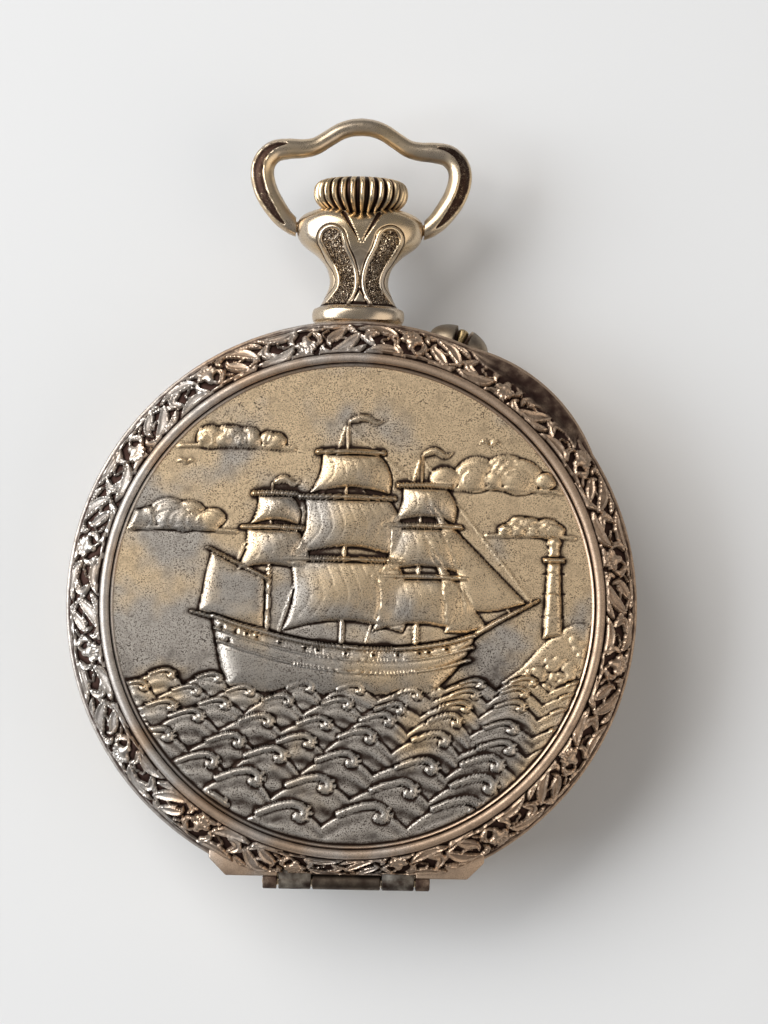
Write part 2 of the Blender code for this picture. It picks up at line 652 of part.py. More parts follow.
# Places of the arbors on the plate
CENTER = (0.0, 0.0)
FOURTH = (0.0, -SECONDS_OFFSET)
CROWN_WHEEL = (0.0, CROWN_WHEEL_Y)
BARREL = meeting(CENTER, BARREL_MODULE * (BARREL_TEETH + CENTER_LEAVES) / 2.0,
                 CROWN_WHEEL, WINDING_MODULE * (CROWN_WHEEL_TEETH + RATCHET_TEETH) / 2.0, 1)
THIRD = meeting(CENTER, CENTER_MODULE * (CENTER_TEETH + THIRD_LEAVES) / 2.0,
                FOURTH, THIRD_MODULE * (THIRD_TEETH + FOURTH_LEAVES) / 2.0, 1)
ESCAPE = polar(FOURTH_MODULE * (FOURTH_TEETH + ESCAPE_LEAVES) / 2.0, ESCAPE_ANGLE, FOURTH)
PALLET = polar(PALLET_CENTRE, LEVER_ANGLE, ESCAPE)
BALANCE = polar(LEVER_LONG, LEVER_ANGLE, PALLET)
BALANCE_RADIUS = min(PLATE_RADIUS - BALANCE_EDGE - math.hypot(*BALANCE),
                     PALLET_CENTRE + LEVER_LONG - ARBOR - BALANCE_CLEAR)
SETTING_WHEEL = (0.0, SETTING_WHEEL_Y)
MINUTE_WHEEL = meeting(CENTER, MOTION_MODULE * (CANNON_TEETH + MINUTE_WHEEL_TEETH) / 2.0,
                       SETTING_WHEEL, MOTION_MODULE * (MINUTE_WHEEL_TEETH + SETTING_WHEEL_TEETH) / 2.0, -1)
BARREL_REACH = math.hypot(*BARREL) + BARREL_MODULE * (BARREL_TEETH / 2.0 + GEAR_ADDENDUM)
RATCHET_TIP = WINDING_MODULE * (RATCHET_TEETH / 2.0 + GEAR_ADDENDUM)
CLICK = polar(RATCHET_TIP + CLICK_OUT, CLICK_ANGLE, BARREL)

ALONG_X = (0.0, math.pi / 2.0, 0.0)
ALONG_Y = (-math.pi / 2.0, 0.0, 0.0)
ALONG_PIN = (0.0, math.pi / 2.0, SETTING_ANGLE)
STEM_AXIS = (0.0, 0.0, STEM_Z)


def case_middle():
    """The band that holds the movement, with its hinge knuckles and the guard of the setting pin."""
    half = (BAND_TOP - BAND_LOW) / 2.0
    side = []
    for step in (1.0, 0.6, 0.0, -0.6, -1.0):
        side.append((CASE_RADIUS - BAND_SWELL * step ** 2, BAND_LOW + half + half * step))
    bore = [(LEDGE_BORE, BAND_LOW), (LEDGE_BORE, LEDGE_TOP), (CASE_BORE, LEDGE_TOP),
            (CASE_BORE, BAND_TOP)]
    band = turned("case_middle", side + bore, NICKEL_SILVER, ring=True)

    mesh = bpy.data.meshes.new("guard")
    shape = bmesh.new()
    bmesh.ops.create_uvsphere(shape, u_segments=12, v_segments=8, radius=1.0)
    bmesh.ops.scale(shape, vec=GUARD_HALF, verts=shape.verts)
    shape.to_mesh(mesh)
    shape.free()
    guard_spot = polar(CASE_RADIUS, SETTING_ANGLE)
    guard = place("guard", mesh, None, (*guard_spot, STEM_Z), (0.0, 0.0, SETTING_ANGLE))
    knuckle = rod("case_knuckle", HINGE_KNUCKLE, -HINGE_CASE_HALF, HINGE_CASE_HALF, None, 12,
                  (0.0, HINGE_Y, HINGE_Z), ALONG_X)
    bezel_knuckle = rod("case_bezel_knuckle", BEZEL_KNUCKLE, -BEZEL_CASE_HALF, BEZEL_CASE_HALF, None, 12,
                        (0.0, BEZEL_HINGE_Y, BEZEL_HINGE_Z), ALONG_X)
    join(band, guard)
    for side_name, sign in (("left", -1.0), ("right", 1.0)):
        ends = sorted((sign * (HINGE_CASE_HALF + HINGE_END_GAP), sign * CASE_RADIUS))
        cut(band, rod(side_name + "_hinge_relief", HINGE_RELIEF, *ends, None, 12,
                      (0.0, HINGE_Y, HINGE_Z), ALONG_X))
        ends = sorted((sign * (BEZEL_CASE_HALF + HINGE_END_GAP), sign * (BEZEL_HINGE_HALF + HINGE_END_GAP)))
        cut(band, rod(side_name + "_bezel_relief", BEZEL_RELIEF, *ends, None, 12,
                      (0.0, BEZEL_HINGE_Y, BEZEL_HINGE_Z), ALONG_X))
    join(band, knuckle, bezel_knuckle)
    reach = 2.0 * CASE_RADIUS
    cut(band,
        rod("back_pin_hole", HINGE_PIN + FIT, -HINGE_INNER_HALF, HINGE_INNER_HALF, None, PIVOT_SIDES,
            (0.0, HINGE_Y, HINGE_Z), ALONG_X),
        rod("bezel_pin_hole", BEZEL_PIN + FIT, -BEZEL_HINGE_HALF, BEZEL_HINGE_HALF, None, PIVOT_SIDES,
            (0.0, BEZEL_HINGE_Y, BEZEL_HINGE_Z), ALONG_X),
        rod("tenon_hole", TENON_RADIUS + SEAT, CASE_BORE / 2.0, reach, None, SMALL_STEPS, STEM_AXIS, ALONG_Y),
        rod("setting_hole", SETTING_PIN + RUN, CASE_BORE / 2.0, reach, None, PIVOT_SIDES, STEM_AXIS, ALONG_PIN),
        rod("guard_slot", GUARD_SLOT, CASE_RADIUS + SEAT, reach, None, PIVOT_SIDES, STEM_AXIS, ALONG_PIN))


def hinge_pins():
    """The pins of the two hinges."""
    rod("back_hinge_pin", HINGE_PIN, -HINGE_PIN_HALF, HINGE_PIN_HALF, STEEL, PIVOT_SIDES,
        (0.0, HINGE_Y, HINGE_Z), ALONG_X)
    rod("bezel_hinge_pin", BEZEL_PIN, -BEZEL_HINGE_HALF, BEZEL_HINGE_HALF, STEEL, PIVOT_SIDES,
        (0.0, BEZEL_HINGE_Y, BEZEL_HINGE_Z), ALONG_X)


def knuckle_pair(owner, start, end, radius, pin, axis_y, axis_z):
    """Fuse a left and a right knuckle with a piece and bore them for the pin."""
    for side_name, sign in (("left", -1.0), ("right", 1.0)):
        ends = sorted((sign * start, sign * end))
        name = owner.name + "_" + side_name
        join(owner, rod(name + "_knuckle", radius, *ends, None, 12, (0.0, axis_y, axis_z), ALONG_X))
    cut(owner, rod(owner.name + "_pin_hole", pin + FIT, -2.0 * end, 2.0 * end, None, PIVOT_SIDES,
                   (0.0, axis_y, axis_z), ALONG_X))


def shrunk(outline, share):
    """Return an outline drawn in towards its middle."""
    middle = sum((Vector(point) for point in outline), Vector((0.0, 0.0))) / len(outline)
    return [tuple(middle + (Vector(point) - middle) * share) for point in outline]


def raised(name, outline, edge, crown, drawn=0.55):
    """Return a form struck up from the field, steep at its outline and rounded to its crown."""
    scale = (RING_RADIUS - RING_WIDTH) / PICTURE_FIELD
    middle = sum((Vector(point) for point in outline), Vector((0.0, 0.0))) / len(outline)
    field = FIELD_Z + FIELD_CROWN * (1.0 - (middle.length / PICTURE_FIELD) ** 2)
    sections = [[(x * scale, y * scale, field + rise) for x, y in shrunk(outline, share)]
                for share, rise in ((1.0, -RELIEF_SINK), (0.95, edge), (drawn, crown))]
    return loft(name, sections, None)


def sail_outline(middle, head, foot, head_half, foot_half):
    """Return a square sail that fills to the right, with a hollow foot."""
    belly = 0.14 * (head - foot)
    half_way = (head + foot) / 2.0
    side = (head_half + foot_half) / 2.0
    return [(middle - head_half, head), (middle - side + belly * 0.7, half_way), (middle - foot_half, foot),
            (middle, foot + belly), (middle + foot_half, foot), (middle + side + belly, half_way),
            (middle + head_half, head)]


def swell(row):
    """Return the level, length and height of the swells of a row, in the picture's millimetres."""
    near = row * (row + 9.0) / 42.0
    return -7.2 - 4.6 * near, 4.6 + 1.1 * near, 0.95 + 0.38 * near


def swell_row(row):
    """Return one row of swells, highest along its crests and sinking to the row in front."""
    scale = (RING_RADIUS - RING_WIDTH) / PICTURE_FIELD
    level, long, tall = swell(row)
    start = -24.0 + (row * 0.41 % 1.0) * long
    end = math.sqrt(PICTURE_EDGE ** 2 - level ** 2)
    crest = [(-end, level)]
    for index in range(int(48.0 / long) + 1):
        for share, rise in ((0.0, 0.0), (SWELL_PEAK, tall)):
            x = start + (index + share) * long
            if abs(x) < end - 0.4 and math.hypot(x, level + rise) < PICTURE_EDGE:
                crest.append((x, level + rise))
    crest.append((end, level))
    front = max(swell(row + 1)[0], -PICTURE_EDGE)
    if front > -PICTURE_EDGE:
        reach = math.sqrt(PICTURE_EDGE ** 2 - front ** 2)
        foot = [(reach, front), (-reach, front)]
    else:
        lean = math.asin(level / PICTURE_EDGE)
        foot = arc(PICTURE_EDGE, lean, -math.pi - lean, 6)[1:-1]
    outline = [(x * scale, (y - front) * scale) for x, y in crest + foot]
    field = FIELD_Z + FIELD_CROWN * 0.5 * (1.0 - (level / PICTURE_FIELD) ** 2)
    low, high = SWELL_RISE
    lean = math.atan((high - low) / ((level + tall - front) * scale))
    return flat("swell_%d" % row, [outline], -SWELL_THICK, 0.0, None, (0.0, front * scale), 0.0, (lean, 0.0, 0.0),
                field + low)


def picture():
    """Return the raised forms of the struck picture, those that lie behind first."""
    forms = [raised("shore", SHORE, 0.2 * MM, 0.3 * MM), raised("tower", TOWER, 0.3 * MM, 0.42 * MM, 0.8),
             raised("lantern", LANTERN, 0.3 * MM, 0.45 * MM)]
    for index, (x, y, wide, tall) in enumerate(CLOUDS):
        bank = [(x + wide * math.cos(TURN * step / 8.0), y + tall * (0.5 + math.sin(TURN * step / 8.0)))
                for step in range(8)]
        forms.append(raised("cloud_%d" % index, bank, 0.16 * MM, 0.26 * MM))
    forms.append(swell_row(0))
    forms.append(raised("gaff_sail", GAFF_SAIL, 0.25 * MM, 0.36 * MM))
    for index, sail in enumerate(SAILS):
        forms.append(raised("sail_%d" % index, sail_outline(*sail), 0.24 * MM, 0.6 * MM, 0.4))
    for index, sail in enumerate(HEAD_SAILS):
        forms.append(raised("head_sail_%d" % index, sail, 0.24 * MM, 0.42 * MM, 0.4))
    forms.append(raised("bowsprit", BOWSPRIT, 0.3 * MM, 0.35 * MM, 0.8))
    forms.append(raised("hull", SHEER + KEEL, 0.36 * MM, 0.7 * MM))
    forms.extend(swell_row(row) for row in range(1, SWELL_ROWS))
    return forms


def on_rim(along, across, rise):
    """Return the point at an angle round the sloping rim and a distance down it, risen off it."""
    top = Vector((RING_RADIUS, FIELD_Z))
    low = Vector((COVER_RADIUS - COVER_LIP_EASE, COVER_LOW + COVER_LIP))
    down = (low - top).normalized()
    spot = top + down * across + Vector((-down.y, down.x)) * rise
    return (*polar(spot.x, along), spot.y)


def rim_form(name, outline):
    """Return a flower or leaf chased up from the rim, for an outline along and across it in metres."""
    middle = (RING_RADIUS + COVER_RADIUS) / 2.0
    sections = [[on_rim(x / middle, y, rise) for x, y in shrunk(outline, share)]
                for share, rise in ((1.0, -RELIEF_SINK), (0.8, RIM_RISE[0]), (0.4, RIM_RISE[1]))]
    return loft(name, sections, None)


def rim_ornament(keep_clear):
    """Return the flowers and leaves of the rim, without those over the middle knuckles of the hinge."""
    drop = Vector((COVER_RADIUS - COVER_LIP_EASE - RING_RADIUS, FIELD_Z - COVER_LOW - COVER_LIP)).length
    middle = (RING_RADIUS + COVER_RADIUS) / 2.0
    step = TURN * middle / RIM_REPEATS
    forms = []
    for repeat in range(RIM_REPEATS):
        side = 1.0 if repeat % 2 else -1.0
        outlines = []
        share, out, size = RIM_FLOWER
        outlines.append(ring(size, 8, ((repeat + share) * step, drop / 2.0 * (1.0 + side * out))))
        for first, second, third, fourth, half in RIM_LEAVES:
            spots = [Vector(((repeat + x) * step, drop / 2.0 * (1.0 + side * y))) for x, y in (first, second, third, fourth)]
            ahead = (spots[3] - spots[0]).normalized()
            out_way = Vector((-ahead.y, ahead.x)) * half
            outlines.append([tuple(spots[0]), tuple(spots[1] - out_way), tuple(spots[2] - out_way), tuple(spots[3]),
                             tuple(spots[2] + out_way), tuple(spots[1] + out_way)])
        for index, outline in enumerate(outlines):
            eased = [(x, min(max(y, 0.12 * drop), 0.92 * drop)) for x, y in outline]
            spots = [on_rim(x / middle, y, 0.0) for x, y in eased]
            if all(abs(x) > keep_clear or y > 0.0 for x, y, _ in spots):
                forms.append(rim_form("rim_%d_%d" % (repeat, index), eased))
    return forms


def back_cover():
    """The chased back: smooth lip, sloping rim, ring moulding and a struck, domed middle field."""
    ring_inner = RING_RADIUS - RING_WIDTH
    lip_top = COVER_LOW + COVER_LIP
    outside = [(0.0, FIELD_Z + FIELD_CROWN), (ring_inner * 0.5, FIELD_Z + FIELD_CROWN * 0.75),
               (ring_inner, FIELD_Z), (ring_inner + RING_WIDTH * 0.3, FIELD_Z + RING_TALL),
               (ring_inner + RING_WIDTH * 0.7, FIELD_Z + RING_TALL), (RING_RADIUS, FIELD_Z),
               (COVER_RADIUS - COVER_LIP_EASE, lip_top), (COVER_RADIUS, lip_top - COVER_LIP * 0.4),
               (COVER_RADIUS, COVER_LOW + COVER_LIP * 0.2), (COVER_RADIUS - COVER_LIP_EASE, COVER_LOW)]
    inside = [(COVER_BORE, COVER_LOW), (COVER_BORE, INNER_COVER_TOP - SEAT),
              (ring_inner, BACK_COVER_Z), (0.0, BACK_COVER_Z + FIELD_CROWN * 0.8)]
    cover = turned("back_cover", outside + inside, NICKEL_SILVER)

    tab_edge = HINGE_Y - HINGE_TAB_OVERHANG
    shoulder = tab_edge + HINGE_TAB_DEEP
    right_edge = [(HINGE_TAB_HALF - HINGE_TAB_CHAMFER, tab_edge),
                  (HINGE_TAB_HALF, tab_edge + HINGE_TAB_CHAMFER), (HINGE_TAB_HALF, shoulder)]
    tab_outline = right_edge + [(-x, y) for x, y in reversed(right_edge)]
    tab_low = COVER_LOW + OVERLAP
    tab = flat("hinge_tab", [tab_outline], tab_low, tab_low + HINGE_TAB_THICK, None)
    tab_bore = rod("tab_bore", COVER_BORE + OVERLAP, BAND_LOW, FIELD_Z, None, CASE_STEPS)
    cut(tab, tab_bore)

    start = THUMB_LIP_ANGLE - THUMB_LIP_SPAN / 2.0
    crescent = arc(COVER_RADIUS - BAND_SWELL, start + THUMB_LIP_SPAN, start, 7)
    for step in range(1, 8):
        share = step / 8.0
        bulge = THUMB_LIP_REACH * math.sin(math.pi * share) - BAND_SWELL * (1.0 - math.sin(math.pi * share))
        crescent.append(polar(COVER_RADIUS + bulge, start + THUMB_LIP_SPAN * share))
    thumb_lip = flat("thumb_lip", [crescent], tab_low, tab_low + THUMB_LIP_THICK, None)

    straight = block("straight_edge", (-CASE_RADIUS, -2.0 * CASE_RADIUS, BAND_LOW),
                     (CASE_RADIUS, tab_edge, FIELD_Z), None)
    relief_half = HINGE_INNER_HALF + HINGE_END_GAP
    knuckle_room = rod("knuckle_room", HINGE_RELIEF, -relief_half, relief_half, None, 12,
                       (0.0, HINGE_Y, HINGE_Z), ALONG_X)
    tongue_room = block("tongue_room", (-relief_half, HINGE_Y, BAND_LOW),
                        (relief_half, -COVER_BORE / 2.0, INNER_COVER_Z + INNER_COVER_THICK / 2.0), None)
    join(cover, tab, thumb_lip, *picture(), *rim_ornament(relief_half + HINGE_KNUCKLE))
    cut(cover, straight)
    knuckle_pair(cover, relief_half, HINGE_PIN_HALF, HINGE_KNUCKLE, HINGE_PIN, HINGE_Y, HINGE_Z)
    cut(cover, knuckle_room, tongue_room)
    hang(("back_cover_hinge", (0.0, HINGE_Y, HINGE_Z)), cover)


def inner_cover():
    """The thin dust cap over the movement, with two tongues to the shared hinge."""
    shell = [(0.0, INNER_COVER_TOP), (INNER_COVER_RADIUS - INNER_COVER_RIM * 1.5, INNER_COVER_TOP),
             (INNER_COVER_RADIUS, INNER_COVER_TOP - INNER_COVER_THICK), (INNER_COVER_RADIUS, BAND_TOP + SEAT),
             (INNER_COVER_RADIUS - INNER_COVER_RIM, BAND_TOP + SEAT),
             (INNER_COVER_RADIUS - INNER_COVER_RIM, INNER_COVER_Z - SEAT),
             (INNER_COVER_RADIUS - INNER_COVER_RIM * 1.5, INNER_COVER_Z), (0.0, INNER_COVER_Z)]
    cap = turned("inner_cover", shell, NICKEL_SILVER)
    start = HINGE_CASE_HALF + HINGE_END_GAP
    root = -math.sqrt((INNER_COVER_RADIUS - INNER_COVER_RIM / 2.0) ** 2 - HINGE_INNER_HALF ** 2)
    for side_name, sign in (("left", -1.0), ("right", 1.0)):
        ends = sorted((sign * start, sign * HINGE_INNER_HALF))
        join(cap, block(side_name + "_tongue", (ends[0], HINGE_Y, COVER_LOW + SEAT),
                        (ends[1], root, COVER_LOW + HINGE_TAB_THICK), None))
    knuckle_pair(cap, start, HINGE_INNER_HALF, HINGE_KNUCKLE, HINGE_PIN, HINGE_Y, HINGE_Z)
    hang(("inner_cover_hinge", (0.0, HINGE_Y, HINGE_Z)), cap)


def bezel_and_crystal():
    """The hinged ring on the dial side and the flat-topped crystal snapped into it."""
    groove = GLASS_RADIUS + GLASS_GROOVE
    lip = groove - BEZEL_LIP
    groove_low = GLASS_SEAT_Z - SEAT
    groove_high = GLASS_SEAT_Z + GLASS_FLANGE + SEAT
    outside = [(BEZEL_RADIUS, BEZEL_TOP), (BEZEL_RADIUS, BEZEL_TOP - BEZEL_LIP),
               (BEZEL_RADIUS - BEZEL_INSET * 0.7, groove_low),
               (lip + BEZEL_INSET * 3.0, BEZEL_LOW + BEZEL_LIP * 0.5), (lip + BEZEL_INSET, BEZEL_LOW),
               (lip, BEZEL_LOW + BEZEL_LIP)]
    inside = [(lip, groove_low), (groove, groove_low), (groove, groove_high), (lip, groove_high),
              (lip, DIAL_Z - DIAL_CLEAR), (LEDGE_BORE, DIAL_Z - DIAL_CLEAR), (LEDGE_BORE, BEZEL_TOP)]
    bezel = turned("bezel", outside + inside, NICKEL_SILVER, ring=True)
    cut(bezel, rod("bezel_knuckle_room", BEZEL_RELIEF, -BEZEL_CASE_HALF - HINGE_END_GAP,
                   BEZEL_CASE_HALF + HINGE_END_GAP, None, 12, (0.0, BEZEL_HINGE_Y, BEZEL_HINGE_Z), ALONG_X))
    knuckle_pair(bezel, BEZEL_CASE_HALF + HINGE_END_GAP, BEZEL_HINGE_HALF, BEZEL_KNUCKLE, BEZEL_PIN,
                 BEZEL_HINGE_Y, BEZEL_HINGE_Z)

    flange_top = GLASS_SEAT_Z + GLASS_FLANGE
    slope = lip - SEAT - GLASS_FLAT
    glass = [(0.0, GLASS_THICK), (GLASS_FLAT, GLASS_THICK), (GLASS_RADIUS - GLASS_FLANGE * 1.8, flange_top),
             (GLASS_RADIUS, flange_top), (GLASS_RADIUS, GLASS_SEAT_Z), (lip - SEAT, GLASS_SEAT_Z - SEAT),
             (GLASS_FLAT + slope * 0.6, GLASS_SEAT_Z * 0.2), (GLASS_FLAT, 0.0), (0.0, 0.0)]
    crystal = turned("crystal", glass, GLASS)
    hang(("bezel_hinge", (0.0, BEZEL_HINGE_Y, BEZEL_HINGE_Z)), bezel, crystal)


def oval(half, y):
    """Return an oval section across the pendant at a place along it."""
    return [Vector((half[0] * math.cos(TURN * step / PENDANT_STEPS), y,
                    STEM_Z + half[1] * math.sin(TURN * step / PENDANT_STEPS))) for step in range(PENDANT_STEPS)]


def between(first, second, share):
    """Return the mix of two half sizes."""
    return tuple(near + (far - near) * share for near, far in zip(first, second))


def pendant():
    """The waisted neck with its collar, saddled on the band, and a wide head for the bow."""
    collar_top = COLLAR_Y + COLLAR_LONG
    neck_root = between(COLLAR_HALF, NECK_HALF, 0.6)
    stations = [(between(COLLAR_HALF, NECK_HALF, 0.15), COLLAR_Y - COLLAR_LONG),
                (COLLAR_HALF, COLLAR_Y + COLLAR_LONG * 0.4),
                (COLLAR_HALF, COLLAR_Y + COLLAR_LONG * 0.75), (neck_root, collar_top),
                (between(COLLAR_HALF, NECK_HALF, 0.87), collar_top + NECK_LONG * 0.4), (NECK_HALF, NECK_Y)]
    for share in (0.3, 0.55, 0.8):
        swell = math.sin(math.pi / 2.0 * share) ** 2
        stations.append((between(NECK_HALF, HEAD_HALF, swell), NECK_Y + HEAD_LONG * share))
    stations.append((HEAD_HALF, PIVOT_Y))
    for share, rise in ((0.2, 0.5), (0.6, 0.85), (1.0, 1.0)):
        stations.append((between(HEAD_HALF, HEAD_TOP_HALF, share), PIVOT_Y + HEAD_TOP_LONG * rise))
    neck = loft("pendant", [oval(half, y) for half, y in stations], NICKEL_SILVER)
    saddle = rod("saddle", CASE_RADIUS + SEAT, BAND_LOW - CASE_RADIUS, BAND_TOP + CASE_RADIUS, None,
                 CASE_STEPS)
    tenon = rod("tenon", TENON_RADIUS, CASE_BORE + CASE_CLEAR, COLLAR_Y + COLLAR_LONG * 0.5, None, SMALL_STEPS,
                STEM_AXIS, ALONG_Y)
    cut(neck, saddle)
    join(neck, tenon)
    cut(neck, rod("stem_bore", PENDANT_BORE, CASE_BORE / 2.0, 2.0 * HEAD_TOP_Y, None, 12, STEM_AXIS, ALONG_Y))
    for side_name, sign in (("left", -1.0), ("right", 1.0)):
        ends = sorted((sign * (HEAD_HALF[0] - BOW_PIN_IN - RUN), sign * 2.0 * HEAD_HALF[0]))
        cut(neck, rod(side_name + "_bow_hole", BOW_PIN + RUN, *ends, None, 12, (0.0, PIVOT_Y, STEM_Z), ALONG_X))


def bow():
    """The stirrup-shaped bow on two pins in the pendant's head."""
    start = HEAD_HALF[0] + BOW_END_GAP
    half = [(start, BOW_END_RISE), *BOW_LINE]
    points = half + [(-x, y) for x, y in reversed(half[:-1])]
    path = smooth_path(points, BOW_STEPS)
    curve = bpy.data.curves.new("bow_wire", "CURVE")
    curve.dimensions = "3D"
    curve.bevel_depth = BOW_WIRE
    curve.bevel_resolution = 2
    curve.use_fill_caps = True
    spline = curve.splines.new("POLY")
    spline.points.add(len(path) - 1)
    for index, (point, spot) in enumerate(zip(spline.points, path)):
        share = index / (len(path) - 1)
        point.co = (spot.x, spot.y, 0.0, 1.0)
        point.radius = 0.9 + 0.2 * abs(math.sin(TURN * share)) - 0.12 * math.sin(math.pi * share) ** 8
    guide = bpy.data.objects.new("bow_guide", curve)
    bpy.context.scene.collection.objects.link(guide)
    mesh = bpy.data.meshes.new_from_object(guide.evaluated_get(bpy.context.evaluated_depsgraph_get()))
    shape = bmesh.new()
    shape.from_mesh(mesh)
    bmesh.ops.remove_doubles(shape, verts=shape.verts, dist=1e-7)
    bmesh.ops.recalc_face_normals(shape, faces=shape.faces)
    shape.to_mesh(mesh)
    shape.free()
    bpy.data.objects.remove(guide)
    stirrup = place("bow", mesh, NICKEL_SILVER, (0.0, PIVOT_Y, STEM_Z))
    for side_name, sign in (("left", -1.0), ("right", 1.0)):
        ends = sorted((sign * (HEAD_HALF[0] - BOW_PIN_IN), sign * (start + BOW_WIRE * 0.6)))
        join(stirrup, rod(side_name + "_bow_pin", BOW_PIN, *ends, None, 12, (0.0, PIVOT_Y, STEM_Z), ALONG_X))


def crown():
    """The fluted winding crown, bored for the stem."""
    profile = [(0.0, 0.90, 0.3), (0.14, 1.0, 1.0), (0.62, 1.0, 1.0), (0.82, 0.93, 0.8), (0.95, 0.76, 0.3),
               (1.0, 0.5, 0.0)]
    sections = []
    for share, swell, flute in profile:
        section = []
        for step in range(2 * CROWN_FLUTES):
            radius = CROWN_RADIUS * swell - CROWN_FLUTE_DEEP * flute * (step % 2)
            x, z = polar(radius, TURN * step / (2 * CROWN_FLUTES))
            section.append(Vector((x, CROWN_Y + CROWN_TALL * share, z)))
        sections.append(section)
    knob = loft("crown", sections, NICKEL_SILVER, STEM_AXIS)
    cut(knob, rod("crown_bore", STEM_RADIUS + FIT, CASE_RADIUS, CROWN_Y + CROWN_BORE_DEEP + SEAT, None, 12,
                  STEM_AXIS, ALONG_Y))


def stem():
    """The winding stem, from its post on the plate to the crown."""
    shoulder = STEM_POST_Y + STEM_POST_LONG + SEAT
    head = CROWN_Y + CROWN_BORE_DEEP
    profile = [(0.0, head), (STEM_RADIUS, head), (STEM_RADIUS, shoulder), (STEM_PIVOT, shoulder),
               (STEM_PIVOT, STEM_POST_Y), (0.0, STEM_POST_Y)]
    turned("stem", profile, STEEL, 12, location=STEM_AXIS, rotation=ALONG_Y)


def winding_pinion_and_clutch():
    """The pinion that drives the crown wheel and the grooved clutch that slides on the stem."""
    pitch = TURN / WINDING_PINION_TEETH
    outline = []
    for tooth in range(WINDING_PINION_TEETH):
        middle = -math.pi / 2.0 + (tooth + 0.5) * pitch
        outline += [polar(WINDING_PINION_ROOT, middle - WINDING_TOOTH * pitch),
                    polar(WINDING_PINION_TIP, middle),
                    polar(WINDING_PINION_ROOT, middle + WINDING_TOOTH * pitch)]
    flat("winding_pinion", [outline, ring(STEM_RADIUS + FIT, 12)], WINDING_PINION_Y,
         WINDING_PINION_Y + WINDING_PINION_LONG, STEEL, rotation=ALONG_Y, height=STEM_Z)

    flange = (CLUTCH_LONG - CLUTCH_GROOVE) / 2.0
    top = CLUTCH_Y + CLUTCH_LONG
    profile = [(CLUTCH_RADIUS, top), (CLUTCH_RADIUS, top - flange), (CLUTCH_GROOVE_RADIUS, top - flange),
               (CLUTCH_GROOVE_RADIUS, CLUTCH_Y + OVERLAP), (STEM_RADIUS + FIT, CLUTCH_Y + OVERLAP),
               (STEM_RADIUS + FIT, top)]
    clutch = turned("sliding_clutch", profile, STEEL, 12, True, STEM_AXIS, ALONG_Y)
    module = CLUTCH_RADIUS / (CLUTCH_TEETH / 2.0 + GEAR_ADDENDUM)
    teeth = flat("clutch_teeth", [gear(CLUTCH_TEETH, module), ring(STEM_RADIUS + 2.0 * FIT, 12)], CLUTCH_Y,
                 CLUTCH_Y + flange, None, rotation=ALONG_Y, height=STEM_Z)
    join(clutch, teeth)


def setting_work():
    """The setting pin in the band and the lever that it pushes."""
    pin_out = CASE_RADIUS + SETTING_PIN_OUT
    profile = [(0.0, pin_out), (SETTING_PIN * 0.7, pin_out), (SETTING_PIN, pin_out - SETTING_PIN * 0.5),
               (SETTING_PIN, SETTING_PIN_IN), (0.0, SETTING_PIN_IN)]
    turned("setting_pin", profile, GILT_BRASS, PIVOT_SIDES, location=STEM_AXIS, rotation=ALONG_PIN)

    groove_y = CLUTCH_Y + CLUTCH_LONG / 2.0
    tip_x = CLUTCH_GROOVE_RADIUS + 2.0 * SEAT
    clear_x = CLUTCH_RADIUS + 5.0 * SEAT
    heel = polar(SETTING_PIN_IN - SEAT, SETTING_ANGLE)
    across = (math.sin(SETTING_ANGLE), -math.cos(SETTING_ANGLE))
    heel_half = SETTING_PIN * 1.4
    toe = (heel[0] - across[0] * heel_half, heel[1] - across[1] * heel_half)
    heel_end = (heel[0] + across[0] * heel_half, heel[1] + across[1] * heel_half)
    inner_toe = polar(SETTING_PIN_IN - 2.2 * LEVER_BOSS, SETTING_ANGLE)
    boss = arc(LEVER_BOSS, math.radians(-80.0), math.radians(115.0), 7, LEVER_PIVOT)
    outline = boss + [heel_end, toe, inner_toe, (clear_x + 3.0 * LEVER_BOSS, groove_y + 1.6 * LEVER_BOSS),
                      (clear_x, groove_y + LEVER_TIP_HALF), (tip_x, groove_y + LEVER_TIP_HALF),
                      (tip_x, groove_y - LEVER_TIP_HALF), (clear_x, groove_y - LEVER_TIP_HALF)]
    shifted = [(x - LEVER_PIVOT[0], y - LEVER_PIVOT[1]) for x, y in outline]
    low = STEM_Z - LEVER_THICK / 2.0
    lever = flat("setting_lever", [shifted], low, low + LEVER_THICK, STEEL, LEVER_PIVOT)
    join(lever, rod("lever_pin", LEVER_PIN, PLATE_TOP - STUD_LONG, low + OVERLAP, None, PIVOT_SIDES,
                    (*LEVER_PIVOT, 0.0)))


